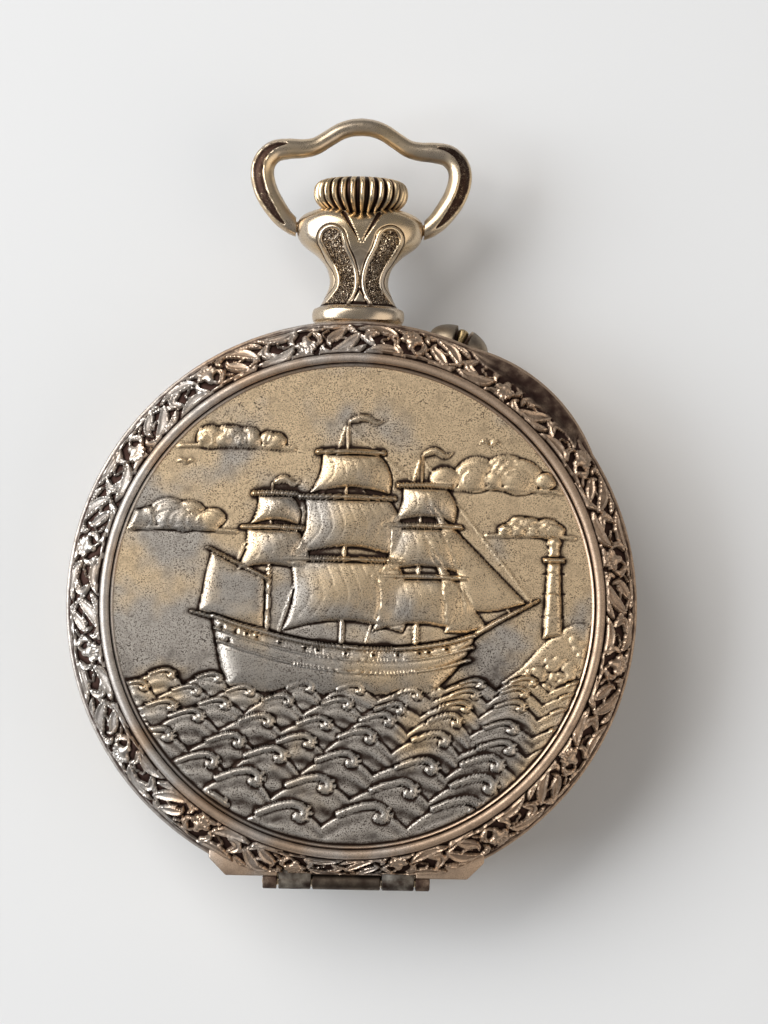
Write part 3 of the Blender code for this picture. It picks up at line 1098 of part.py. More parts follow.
def main_plate():
    """The plate that carries everything, slotted for the stem and bored for each arbor."""
    slot_half = WINDING_PINION_TIP + 3.0 * SEAT
    slot_low = STEM_POST_Y + STEM_POST_LONG + SEAT
    lean = math.asin(slot_half / PLATE_RADIUS)
    rim = arc(PLATE_RADIUS, math.pi / 2.0 + lean, math.pi / 2.0 + TURN - lean, CASE_STEPS)
    outline = rim + [(slot_half, slot_low), (-slot_half, slot_low)]
    holes = [ring(CENTER_POST + RUN, PIVOT_SIDES, CENTER), ring(BARREL_ARBOR + RUN, PIVOT_SIDES, BARREL),
             ring(SECONDS_PIVOT + RUN, PIVOT_SIDES, FOURTH), ring(LEVER_PIN + RUN, PIVOT_SIDES, LEVER_PIVOT)]
    holes += [ring(PIVOT + RUN, PIVOT_SIDES, spot) for spot in (THIRD, ESCAPE, PALLET, BALANCE)]
    holes += [ring(STUD + RUN, PIVOT_SIDES, spot) for spot in (MINUTE_WHEEL, SETTING_WHEEL)]
    plate = flat("main_plate", [outline] + holes, PLATE_Z, PLATE_TOP, GILT_BRASS)
    post_half = STEM_RADIUS + SEAT
    post = block("stem_post", (-post_half, STEM_POST_Y, PLATE_TOP - OVERLAP),
                 (post_half, STEM_POST_Y + STEM_POST_LONG, STEM_Z + post_half), None)
    cut(post, rod("stem_pivot_hole", STEM_PIVOT + RUN, STEM_POST_Y / 2.0, STEM_POST_Y * 2.0, None, PIVOT_SIDES,
                  STEM_AXIS, ALONG_Y))
    join(plate, post)


def foot(name, angles, top, inner=BRIDGE_RADIUS - FOOT_WIDTH):
    """Return the foot of a bridge, standing on the plate along the rim."""
    outline = arc(BRIDGE_RADIUS, *angles, FOOT_STEPS) + arc(inner, *reversed(angles), FOOT_STEPS)
    return flat(name, [outline], PLATE_TOP + SEAT, top, None)


def bridges():
    """The barrel bridge, the train bridge, the pallet bridge and the balance cock."""
    upper_turns = (BARREL_BRIDGE_START, math.pi + math.asin(-BRIDGE_LINE / BRIDGE_RADIUS))
    corner = (BRIDGE_CORNER_X, BRIDGE_LINE)
    pinion_half = WINDING_PINION_TIP * 0.8
    pinion_low = WINDING_PINION_Y - SEAT
    pinion_high = WINDING_PINION_Y + WINDING_PINION_LONG + SEAT
    holes = [ring(BRIDGE_HOLE, PIVOT_SIDES, CENTER), ring(BARREL_ARBOR + RUN, 12, BARREL),
             ring(STUD + RUN, PIVOT_SIDES, CROWN_WHEEL), ring(STUD + RUN, PIVOT_SIDES, CLICK),
             [(-pinion_half, pinion_low), (pinion_half, pinion_low), (pinion_half, pinion_high),
              (-pinion_half, pinion_high)]]
    barrel_bridge = flat("barrel_bridge", [arc(BRIDGE_RADIUS, *upper_turns, 30) + [corner]] + holes,
                         BRIDGE_Z, BRIDGE_TOP, NICKEL_PLATE)
    barrel_foot = foot("barrel_bridge_left_foot", BARREL_FOOT_ANGLES, BRIDGE_TOP - SEAT,
                       BARREL_REACH + BARREL_FOOT_CLEAR)
    side_foot = foot("barrel_bridge_right_foot", BARREL_SIDE_FOOT_ANGLES, BRIDGE_TOP - SEAT)
    join(barrel_bridge, barrel_foot, side_foot)

    lower_edge = BRIDGE_LINE - BRIDGE_SPLIT
    margin = BRIDGE_MARGIN
    inner = [(corner[0] + BRIDGE_SPLIT / 2.0, lower_edge), (-margin, lower_edge),
             (ESCAPE[0] - margin * 0.7, ESCAPE[1] + margin), (ESCAPE[0] - margin, ESCAPE[1] - margin * 0.4),
             (ESCAPE[0], ESCAPE[1] - margin), (FOURTH[0] - margin, FOURTH[1] - margin),
             (FOURTH[0], FOURTH[1] - 3.0 * margin)]
    train_holes = [ring(BRIDGE_HOLE, PIVOT_SIDES, spot) for spot in (THIRD, FOURTH, ESCAPE)]
    train_bridge = flat("train_bridge", [arc(BRIDGE_RADIUS, *TRAIN_BRIDGE_ANGLES, 18) + inner] + train_holes,
                        BRIDGE_Z, BRIDGE_TOP, NICKEL_PLATE)
    join(train_bridge, foot("train_bridge_foot", TRAIN_FOOT_ANGLES, BRIDGE_TOP - SEAT))

    across = LEVER_ANGLE + math.pi / 2.0
    ends = [polar(PALLET_FOOT_OUT, across, PALLET), polar(-PALLET_FOOT_OUT, across, PALLET)]
    span = arc(PALLET_FOOT, across - math.pi / 2.0, across + math.pi / 2.0, 6, ends[0])
    span += arc(PALLET_FOOT, across + math.pi / 2.0, across + 1.5 * math.pi, 6, ends[1])
    pallet_bridge = flat("pallet_bridge", [span, ring(BRIDGE_HOLE, PIVOT_SIDES, PALLET)], PALLET_BRIDGE_Z,
                         PALLET_BRIDGE_Z + PALLET_BRIDGE_THICK, NICKEL_PLATE)
    for number, end in enumerate(ends):
        join(pallet_bridge, rod("pallet_foot_%d" % number, PALLET_FOOT * 0.95, PLATE_TOP + SEAT,
                                PALLET_BRIDGE_Z + OVERLAP, None, 10, (*end, 0.0)))

    start, end = COCK_FOOT_ANGLES
    arm_angle = heading(polar(BRIDGE_RADIUS, (start + end) / 2.0), BALANCE)
    disc = arc(COCK_DISC, arm_angle - math.pi / 2.0, arm_angle + math.pi / 2.0, 8, BALANCE)
    foot_inner = BRIDGE_RADIUS - FOOT_WIDTH
    cock_outline = arc(BRIDGE_RADIUS, start, end, 6) + [polar(foot_inner, end)] + disc
    cock_outline.append(polar(foot_inner, start))
    cock = flat("balance_cock", [cock_outline, ring(BRIDGE_HOLE, PIVOT_SIDES, BALANCE)], COCK_Z, COCK_TOP,
                NICKEL_PLATE)
    join(cock, foot("balance_cock_foot", COCK_FOOT_ANGLES, COCK_TOP - SEAT))


def wheel(name, teeth, module, phase, spot, low, bore, finish=GILT_BRASS):
    """A toothed wheel with four arms, for a train arbor."""
    rim = module * (teeth / 2.0 - GEAR_DEDENDUM - RIM_SHARE)
    outlines = [gear(teeth, module, phase), ring(bore, PIVOT_SIDES)] + windows(WHEEL_HUB, rim, 4, WHEEL_ARM)
    return flat(name, outlines, low, low + WHEEL_THICK, finish, spot)


def pinion(name, leaves, module, phase, spot, low, high, profile, steps=PIVOT_SIDES):
    """An arbor with pinion leaves cut on it."""
    shaft = turned(name, profile, STEEL, steps, location=(*spot, 0.0))
    join(shaft, flat(name + "_leaves", [gear(leaves, module, phase)], low, high, None, spot))
    return shaft


def barrel():
    """The mainspring barrel: toothed drum, lid, arbor and the spring inside."""
    tooth_phase = heading(BARREL, CENTER)
    drum_radius = BARREL_MODULE * (BARREL_TEETH / 2.0 - GEAR_DEDENDUM - 1.0)
    hub_hole = BARREL_ARBOR + RUN
    floor = LOW_WHEEL_Z + BARREL_TEETH_TALL
    drum = flat("barrel", [gear(BARREL_TEETH, BARREL_MODULE, tooth_phase), ring(hub_hole, 12)], LOW_WHEEL_Z,
                floor, GILT_BRASS, BARREL)
    lid_low = BARREL_TOP - BARREL_LID
    rim = ring(drum_radius, DRUM_STEPS)
    wall = flat("barrel_wall", [rim, ring(drum_radius - BARREL_WALL, DRUM_STEPS)], floor - OVERLAP,
                lid_low - SEAT, None, BARREL)
    join(drum, wall)
    flat("barrel_cover", [rim, ring(hub_hole, 12)], lid_low, BARREL_TOP, GILT_BRASS, BARREL)

    profile = [(0.0, WINDING_TOP), (RATCHET_SQUARE, WINDING_TOP), (RATCHET_SQUARE, BRIDGE_TOP),
               (BARREL_ARBOR, BRIDGE_TOP), (BARREL_ARBOR, lid_low - SEAT), (BARREL_HUB, lid_low - SEAT),
               (BARREL_HUB, floor + SEAT), (BARREL_ARBOR, floor + SEAT), (BARREL_ARBOR, PLATE_TOP - STUD_LONG),
               (0.0, PLATE_TOP - STUD_LONG)]
    turned("barrel_arbor", profile, STEEL, 12, location=(*BARREL, 0.0))
    path = spiral(BARREL_HUB + MAINSPRING_WIDE, MAINSPRING_PITCH, MAINSPRING_TURNS)
    print("mainspring least gap %.2f mm" % (turn_gap(path, MAINSPRING_WIDE) / MM))
    flat("mainspring", [ribbon(path, MAINSPRING_WIDE)], floor + SEAT, lid_low - 2.0 * SEAT, BLUED_STEEL, BARREL)


def winding_wheels():
    """The crown wheel, ratchet wheel, click and click spring on the barrel bridge."""
    crown_phase = math.pi / 2.0
    teeth = gear(CROWN_WHEEL_TEETH, WINDING_MODULE, crown_phase, width=WINDING_TOOTH)
    crown_wheel = flat("crown_wheel", [teeth], WINDING_Z, WINDING_TOP, STEEL, CROWN_WHEEL)
    join(crown_wheel, rod("crown_wheel_stud", STUD, BRIDGE_Z, WINDING_Z + OVERLAP, None, PIVOT_SIDES,
                          (*CROWN_WHEEL, 0.0)))
    phase = gap_phase(crown_phase, CROWN_WHEEL_TEETH, heading(CROWN_WHEEL, BARREL), RATCHET_TEETH)
    teeth = gear(RATCHET_TEETH, WINDING_MODULE, phase, width=WINDING_TOOTH)
    flat("ratchet_wheel", [teeth, ring(RATCHET_SQUARE + FIT, 12)], WINDING_Z, WINDING_TOP, STEEL, BARREL)

    toe = polar(RATCHET_TIP + SEAT, CLICK_TOE_ANGLE, BARREL)
    toe_up = polar(RATCHET_TIP + 4.0 * SEAT, CLICK_TOE_ANGLE, BARREL)
    boss = arc(CLICK_BOSS, math.radians(60.0), math.radians(290.0), 8, CLICK)
    shifted = [(x - CLICK[0], y - CLICK[1]) for x, y in boss + [toe, toe_up]]
    click = flat("click", [shifted], WINDING_Z, WINDING_TOP, STEEL, CLICK)
    join(click, rod("click_stud", STUD, BRIDGE_Z, WINDING_Z + OVERLAP, None, PIVOT_SIDES, (*CLICK, 0.0)))

    reach = CLICK_BOSS + 2.0 * SEAT
    path = arc(reach, math.radians(195.0), math.radians(255.0), 5, CLICK)
    tail = [polar(reach * 3.6, math.radians(150.0), CLICK), polar(reach * 2.0, math.radians(168.0), CLICK)]
    path = tail + path
    flat("click_spring", [ribbon(path, HAND_THICK)], WINDING_Z, WINDING_TOP - SEAT, BLUED_STEEL)


def going_train():
    """Centre, third, fourth and escape wheels on their pinions."""
    bore = ARBOR + FIT
    plain = arbor(BRIDGE_Z, BRIDGE_TOP)

    phase = gap_phase(heading(BARREL, CENTER), BARREL_TEETH, heading(BARREL, CENTER), CENTER_LEAVES)
    profile = arbor(BRIDGE_Z, BRIDGE_TOP, (), CENTER_POST, MINUTE_HAND_Z + HAND_THICK)
    pinion("center_pinion", CENTER_LEAVES, BARREL_MODULE, phase, CENTER, LOW_WHEEL_Z - SEAT,
           LOW_WHEEL_Z + BARREL_TEETH_TALL + SEAT, profile)
    to_third = heading(CENTER, THIRD)
    wheel("center_wheel", CENTER_TEETH, CENTER_MODULE, to_third, CENTER, HIGH_WHEEL_Z, bore)

    phase = gap_phase(to_third, CENTER_TEETH, to_third, THIRD_LEAVES)
    pinion("third_pinion", THIRD_LEAVES, CENTER_MODULE, phase, THIRD, HIGH_WHEEL_Z - SEAT,
           HIGH_WHEEL_Z + WHEEL_THICK, plain)
    to_fourth = heading(THIRD, FOURTH)
    wheel("third_wheel", THIRD_TEETH, THIRD_MODULE, to_fourth, THIRD, MID_WHEEL_Z, bore)

    phase = gap_phase(to_fourth, THIRD_TEETH, to_fourth, FOURTH_LEAVES)
    profile = arbor(BRIDGE_Z, BRIDGE_TOP, (), SECONDS_PIVOT, SECONDS_HAND_Z)
    pinion("fourth_pinion", FOURTH_LEAVES, THIRD_MODULE, phase, FOURTH, MID_WHEEL_Z - SEAT,
           MID_WHEEL_Z + WHEEL_THICK + SEAT, profile)
    to_escape = heading(FOURTH, ESCAPE)
    wheel("fourth_wheel", FOURTH_TEETH, FOURTH_MODULE, to_escape, FOURTH, LOW_WHEEL_Z, bore)

    phase = gap_phase(to_escape, FOURTH_TEETH, to_escape, ESCAPE_LEAVES)
    pinion("escape_pinion", ESCAPE_LEAVES, FOURTH_MODULE, phase, ESCAPE, LOW_WHEEL_Z - SEAT,
           LOW_WHEEL_Z + WHEEL_THICK + SEAT, plain)
    outline = []
    pitch = TURN / ESCAPE_TEETH
    for tooth in range(ESCAPE_TEETH):
        outline += [polar(ESCAPE_ROOT, (tooth - 0.1) * pitch), polar(ESCAPE_RADIUS, (tooth + 0.25) * pitch),
                    polar(ESCAPE_RADIUS, (tooth + 0.38) * pitch), polar(ESCAPE_ROOT, (tooth + 0.2) * pitch)]
    openings = windows(WHEEL_HUB * 0.75, ESCAPE_ROOT - WHEEL_ARM * 0.6, 4, WHEEL_ARM * 0.8)
    flat("escape_wheel", [outline, ring(bore, PIVOT_SIDES)] + openings, MID_WHEEL_Z, MID_WHEEL_Z + WHEEL_THICK,
         STEEL, ESCAPE)


def escapement():
    """The pallet fork, balance, staff, hairspring and regulator."""
    hollow = ESCAPE_RADIUS + PALLET_CLEAR
    lean = math.asin(PALLET_HALF / hollow)
    back = [(x - PALLET_CENTRE, y) for x, y in arc(hollow, -lean, lean, 7)]
    arm = [(FORK_NOTCH * 0.4, PALLET_HALF * 1.1), (PALLET_HALF * 0.2, PALLET_HALF * 0.3),
           (PALLET_HALF * 0.45, FORK_ARM * 1.25), (FORK_LONG * 0.7, FORK_ARM),
           (FORK_LONG * 0.85, FORK_HORN * 0.93), (FORK_LONG, FORK_HORN), (FORK_LONG * 0.93, FORK_NOTCH)]
    outline = back + arm + [(x, -y) for x, y in reversed(arm)]
    fork = flat("pallet_fork", [outline], MID_WHEEL_Z, MID_WHEEL_Z + WHEEL_THICK, STEEL, PALLET, LEVER_ANGLE)
    pallet_top = PALLET_BRIDGE_Z + PALLET_BRIDGE_THICK - SEAT / 2.0
    join(fork, rod("pallet_arbor", PIVOT, PLATE_TOP - STUD_LONG, pallet_top, None, PIVOT_SIDES, (*PALLET, 0.0)))

    rim = BALANCE_RADIUS - BALANCE_RIM
    outlines = [ring(BALANCE_RADIUS, DRUM_STEPS), ring(ARBOR + FIT, PIVOT_SIDES)]
    outlines += windows(WHEEL_HUB, rim, 2, BALANCE_ARM)
    flat("balance_wheel", outlines, BALANCE_Z, BALANCE_TOP, GILT_BRASS, BALANCE, LEVER_ANGLE)
    profile = arbor(COCK_Z, COCK_TOP, [(COLLET_RADIUS, HAIRSPRING_Z, HAIRSPRING_Z + HAIRSPRING_TALL),
                                       (ROLLER_RADIUS, MID_WHEEL_Z - SEAT, MID_WHEEL_Z + WHEEL_THICK)])
    turned("balance_staff", profile, STEEL, 12, location=(*BALANCE, 0.0))
    path = spiral(COLLET_RADIUS + HAIRSPRING_WIDE, HAIRSPRING_PITCH, HAIRSPRING_TURNS)
    print("hairspring least gap %.2f mm" % (turn_gap(path, HAIRSPRING_WIDE) / MM))
    flat("hairspring", [ribbon(path, HAIRSPRING_WIDE)], HAIRSPRING_Z, HAIRSPRING_Z + HAIRSPRING_TALL,
         BLUED_STEEL, BALANCE)

    start, end = COCK_FOOT_ANGLES
    tail = heading(BALANCE, polar(BRIDGE_RADIUS, (start + end) / 2.0))
    outline = arc(REGULATOR_RING, math.radians(15.0), TURN - math.radians(15.0), 14)
    outline += [(REGULATOR_TAIL, -HAND_THICK * 0.6), (REGULATOR_TAIL, HAND_THICK * 0.6)]
    flat("regulator", [outline, ring(REGULATOR_RING * 0.5, 12)], REGULATOR_Z, REGULATOR_Z + REGULATOR_THICK,
         STEEL, BALANCE, tail)


def motion_works():
    """The cannon pinion, minute wheel, hour wheel and setting wheel under the dial."""
    to_minute = heading(CENTER, MINUTE_WHEEL)
    wheel_top = MINUTE_WHEEL_Z + WHEEL_THICK
    cannon = flat("cannon_pinion", [gear(CANNON_TEETH, MOTION_MODULE, to_minute), ring(CENTER_POST + FIT, 12)],
                  MINUTE_WHEEL_Z, wheel_top, STEEL)
    tube = flat("cannon_tube", [ring(CANNON_TUBE), ring(CENTER_POST + FIT, 12)], MINUTE_HAND_Z,
                MINUTE_WHEEL_Z + OVERLAP, None)
    join(cannon, tube)

    minute_phase = gap_phase(to_minute, CANNON_TEETH, to_minute, MINUTE_WHEEL_TEETH)
    minute = flat("minute_wheel", [gear(MINUTE_WHEEL_TEETH, MOTION_MODULE, minute_phase)], MINUTE_WHEEL_Z,
                  wheel_top, GILT_BRASS, MINUTE_WHEEL)
    to_hour = heading(CENTER, MINUTE_WHEEL)
    hour_phase = to_hour
    leaf_phase = gap_phase(hour_phase, HOUR_WHEEL_TEETH, to_hour, MINUTE_PINION_TEETH)
    leaves = flat("minute_leaves", [gear(MINUTE_PINION_TEETH, HOUR_MODULE, leaf_phase)], HOUR_WHEEL_Z,
                  MINUTE_WHEEL_Z + OVERLAP, None, MINUTE_WHEEL)
    stud = rod("minute_stud", STUD, wheel_top - OVERLAP, wheel_top + STUD_LONG, None, PIVOT_SIDES,
               (*MINUTE_WHEEL, 0.0))
    join(minute, leaves, stud)

    hour = flat("hour_wheel", [gear(HOUR_WHEEL_TEETH, HOUR_MODULE, hour_phase), ring(CANNON_TUBE + RUN)],
                HOUR_WHEEL_Z, HOUR_WHEEL_Z + WHEEL_THICK, GILT_BRASS)
    pipe = flat("hour_pipe", [ring(HOUR_TUBE), ring(CANNON_TUBE + RUN)], HOUR_HAND_Z, HOUR_WHEEL_Z + OVERLAP,
                None)
    join(hour, pipe)

    to_setting = heading(MINUTE_WHEEL, SETTING_WHEEL)
    phase = gap_phase(minute_phase, MINUTE_WHEEL_TEETH, to_setting, SETTING_WHEEL_TEETH)
    setting = flat("setting_wheel", [gear(SETTING_WHEEL_TEETH, MOTION_MODULE, phase)], MINUTE_WHEEL_Z,
                   wheel_top, STEEL, SETTING_WHEEL)
    join(setting, rod("setting_stud", STUD, wheel_top - OVERLAP, wheel_top + STUD_LONG, None, PIVOT_SIDES,
                      (*SETTING_WHEEL, 0.0)))


def hand(name, length, hub, bore, low, turn, spot=CENTER):
    """A spade hand that points along +Y before it is turned."""
    waist = hub * 0.22
    spade = hub * 0.75
    right = [(waist, length * 0.62), (spade, length * 0.72), (spade * 0.5, length * 0.82), (0.0, length)]
    boss = arc(hub, math.radians(105.0), math.radians(435.0), 14)
    outline = boss + right + [(-x, y) for x, y in reversed(right[:-1])]
    flat(name, [outline, ring(bore, 12)], low, low + HAND_THICK, BLUED_STEEL, spot, turn)


def dial_and_hands():
    """The enamel dial with its sunk seconds ring, and the three hands."""
    holes = [ring(HOUR_TUBE + 2.0 * RUN), ring(SECONDS_PIVOT + RUN, PIVOT_SIDES, FOURTH)]
    dial = flat("dial", [ring(DIAL_RADIUS, CASE_STEPS)] + holes, DIAL_Z, DIAL_TOP, ENAMEL)
    cut(dial, rod("seconds_sink", SECONDS_SINK, GLASS_THICK, DIAL_Z + SECONDS_SINK_DEEP, None, 24,
                  (*FOURTH, 0.0)))
    hand("minute_hand", MINUTE_HAND_LONG, CANNON_TUBE * 1.7, CANNON_TUBE + FIT, MINUTE_HAND_Z, MINUTE_HAND_TURN)
    hand("hour_hand", HOUR_HAND_LONG, HOUR_TUBE * 1.5, HOUR_TUBE + FIT, HOUR_HAND_Z, HOUR_HAND_TURN)
    hand("seconds_hand", SECONDS_HAND_LONG, SECONDS_PIVOT * 2.6, SECONDS_PIVOT + FIT, SECONDS_HAND_Z,
         SECONDS_HAND_TURN, FOURTH)


for leftover in list(bpy.data.objects):
    bpy.data.objects.remove(leftover)
PARTS = fresh_collection("pocket_watch")
CUTTERS = fresh_collection("cutters", hidden=True)
case_middle()
hinge_pins()
back_cover()
inner_cover()
bezel_and_crystal()
pendant()
bow()
crown()
stem()
winding_pinion_and_clutch()
setting_work()
main_plate()
bridges()
barrel()
winding_wheels()
going_train()
escapement()
motion_works()
dial_and_hands()
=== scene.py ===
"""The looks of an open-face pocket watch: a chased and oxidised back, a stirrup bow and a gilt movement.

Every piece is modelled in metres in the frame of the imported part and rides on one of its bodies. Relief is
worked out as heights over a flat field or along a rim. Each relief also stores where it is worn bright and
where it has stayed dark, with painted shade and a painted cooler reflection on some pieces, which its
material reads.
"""

import json
import logging
import math
from dataclasses import dataclass, field
from enum import Enum
from typing import Callable, Iterable, Sequence

import bmesh
import bpy
import numpy as np
from mathutils import Matrix, Vector

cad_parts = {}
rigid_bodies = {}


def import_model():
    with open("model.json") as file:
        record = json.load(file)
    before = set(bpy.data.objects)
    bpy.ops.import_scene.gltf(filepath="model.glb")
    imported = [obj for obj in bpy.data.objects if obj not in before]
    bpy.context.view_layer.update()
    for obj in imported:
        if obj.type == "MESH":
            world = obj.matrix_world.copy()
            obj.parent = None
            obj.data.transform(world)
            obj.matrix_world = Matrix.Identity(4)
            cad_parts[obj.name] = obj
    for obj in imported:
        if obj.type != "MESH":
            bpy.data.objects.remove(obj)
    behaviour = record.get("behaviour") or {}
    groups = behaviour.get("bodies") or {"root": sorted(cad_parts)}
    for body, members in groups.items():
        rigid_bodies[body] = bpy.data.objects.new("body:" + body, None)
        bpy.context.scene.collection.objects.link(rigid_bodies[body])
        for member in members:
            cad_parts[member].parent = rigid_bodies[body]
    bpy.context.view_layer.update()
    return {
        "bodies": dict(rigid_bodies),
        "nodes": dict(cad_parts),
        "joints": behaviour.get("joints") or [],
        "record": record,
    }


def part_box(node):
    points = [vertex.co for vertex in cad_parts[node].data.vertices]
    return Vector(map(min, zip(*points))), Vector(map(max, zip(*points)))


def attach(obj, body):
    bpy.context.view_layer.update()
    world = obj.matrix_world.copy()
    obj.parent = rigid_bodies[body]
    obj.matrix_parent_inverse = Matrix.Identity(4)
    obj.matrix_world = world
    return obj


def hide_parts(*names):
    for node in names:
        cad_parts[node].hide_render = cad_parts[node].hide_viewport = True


LOG = logging.getLogger("pocket_watch")
MM = 0.001
TURN = 2.0 * math.pi
SIDES = (-1.0, 1.0)
# Stored wear: real wear and patina, with painted shade added on some pieces.
WEAR_AND_SHADE = "wear"
# Stored tint: a cooler tone painted in as a reflection.
COOL_REFLECTION = "tint"
Point = tuple[float, float]
Colour = tuple[float, float, float]
Sizes = tuple[float, float, float]
Array = np.ndarray
Shape = bmesh.types.BMesh
Piece = bpy.types.Object
Socket = bpy.types.NodeSocket
FLOAT = "NodeSocketFloat"
COLOUR = "NodeSocketColor"
VECTOR = "NodeSocketVector"


class Slot(Enum):
    """The record's material slots."""

    NICKEL_SILVER = "nickel_silver"
    NICKEL_PLATE = "nickel_plate"
    GILT = "gilt_brass"
    STEEL = "polished_steel"
    BLUED = "blued_steel"
    ENAMEL = "enamel"
    GLASS = "glass"


class NodeKind(Enum):
    """Shader nodes that the finishes use."""

    ATTRIBUTE = "ShaderNodeAttribute"
    BUMP = "ShaderNodeBump"
    COORDINATES = "ShaderNodeTexCoord"
    GROUP = "ShaderNodeGroup"
    GROUP_INPUT = "NodeGroupInput"
    GROUP_OUTPUT = "NodeGroupOutput"
    MAPPING = "ShaderNodeMapping"
    MATH = "ShaderNodeMath"
    MIX = "ShaderNodeMix"
    NOISE = "ShaderNodeTexNoise"
    RANGE = "ShaderNodeMapRange"
    WAVE = "ShaderNodeTexWave"


@dataclass
class Web:
    """A node tree with short ways to add and join nodes."""

    tree: bpy.types.NodeTree

    def add(self, kind: NodeKind, **settings: object) -> bpy.types.Node:
        """Add a node.

        Args:
            kind: The node's type.
            settings: Properties of the node, by name.

        Returns:
            The new node.
        """
        node = self.tree.nodes.new(kind.value)
        for name, value in settings.items():
            setattr(node, name, value)
        return node

    def join(self, source: Socket, target: Socket) -> None:
        """Link one socket to another."""
        self.tree.links.new(source, target)

    def feed(self, target: Socket, value: object) -> None:
        """Link a socket into a target, or set the target to a plain value."""
        if isinstance(value, Socket):
            self.join(value, target)
        else:
            target.default_value = value

    def fill(self, node: bpy.types.Node, values: dict[str, object]) -> None:
        """Feed several inputs of a node, by name."""
        for name, value in values.items():
            self.feed(node.inputs[name], value)

    def math(self, operation: str, first: object, second: object) -> Socket:
        """Return the result of a sum on two values or sockets."""
        node = self.add(NodeKind.MATH, operation=operation)
        self.feed(node.inputs[0], first)
        self.feed(node.inputs[1], second)
        return node.outputs[0]

    def blend(self, factor: object, first: object, second: object) -> Socket:
        """Return the mix of two colours."""
        node = self.add(NodeKind.MIX, data_type="RGBA")
        self.feed(node.inputs[0], factor)
        self.feed(node.inputs[6], first)
        self.feed(node.inputs[7], second)
        return node.outputs[2]

    def span(self, value: object, low: float, high: float, start: float = 0.0, end: float = 1.0) -> Socket:
        """Return a value moved smoothly from one range to another."""
        node = self.add(NodeKind.RANGE, interpolation_type="SMOOTHSTEP")
        self.fill(node, {"Value": value, "From Min": low, "From Max": high, "To Min": start, "To Max": end})
        return node.outputs["Result"]

    def noise(self, place: Socket, size: float, detail: float = 2.0) -> Socket:
        """Return a noise with features of about a size in metres."""
        node = self.add(NodeKind.NOISE)
        self.fill(node, {"Vector": place, "Scale": 1.0 / size, "Detail": detail})
        return node.outputs[0]


def unit(values: Array) -> Array:
    """Return values held between 0 and 1."""
    return np.clip(values, 0.0, 1.0)


def bell(values: Array) -> Array:
    """Return 1 where values are 0, falling smoothly to 0 on both sides."""
    return np.exp(-np.square(values))


def angles_round(count: int) -> Array:
    """Return a number of angles evenly round a turn."""
    return np.arange(count) / count * TURN


def rgba(colour: Colour) -> tuple[float, float, float, float]:
    """Return an opaque colour."""
    return (*colour, 1.0)


def shader_group(
        name: str, inputs: dict[str, tuple[str, object]],
        outputs: dict[str, str]) -> tuple[Web, dict, dict]:
    """Start a shader node group.

    Args:
        name: The group's name.
        inputs: Socket types and default values, by socket name.
        outputs: Socket types, by socket name.

    Returns:
        The group's web, its input sockets and its output sockets, by name.
    """
    tree = bpy.data.node_groups.new(name, "ShaderNodeTree")
    for socket, (kind, default) in inputs.items():
        made = tree.interface.new_socket(socket, in_out="INPUT", socket_type=kind)
        made.default_value = default
    for socket, kind in outputs.items():
        tree.interface.new_socket(socket, in_out="OUTPUT", socket_type=kind)
    web = Web(tree)
    start = web.add(NodeKind.GROUP_INPUT)
    end = web.add(NodeKind.GROUP_OUTPUT)
    return web, {s.name: s for s in start.outputs}, {s.name: s for s in end.inputs}


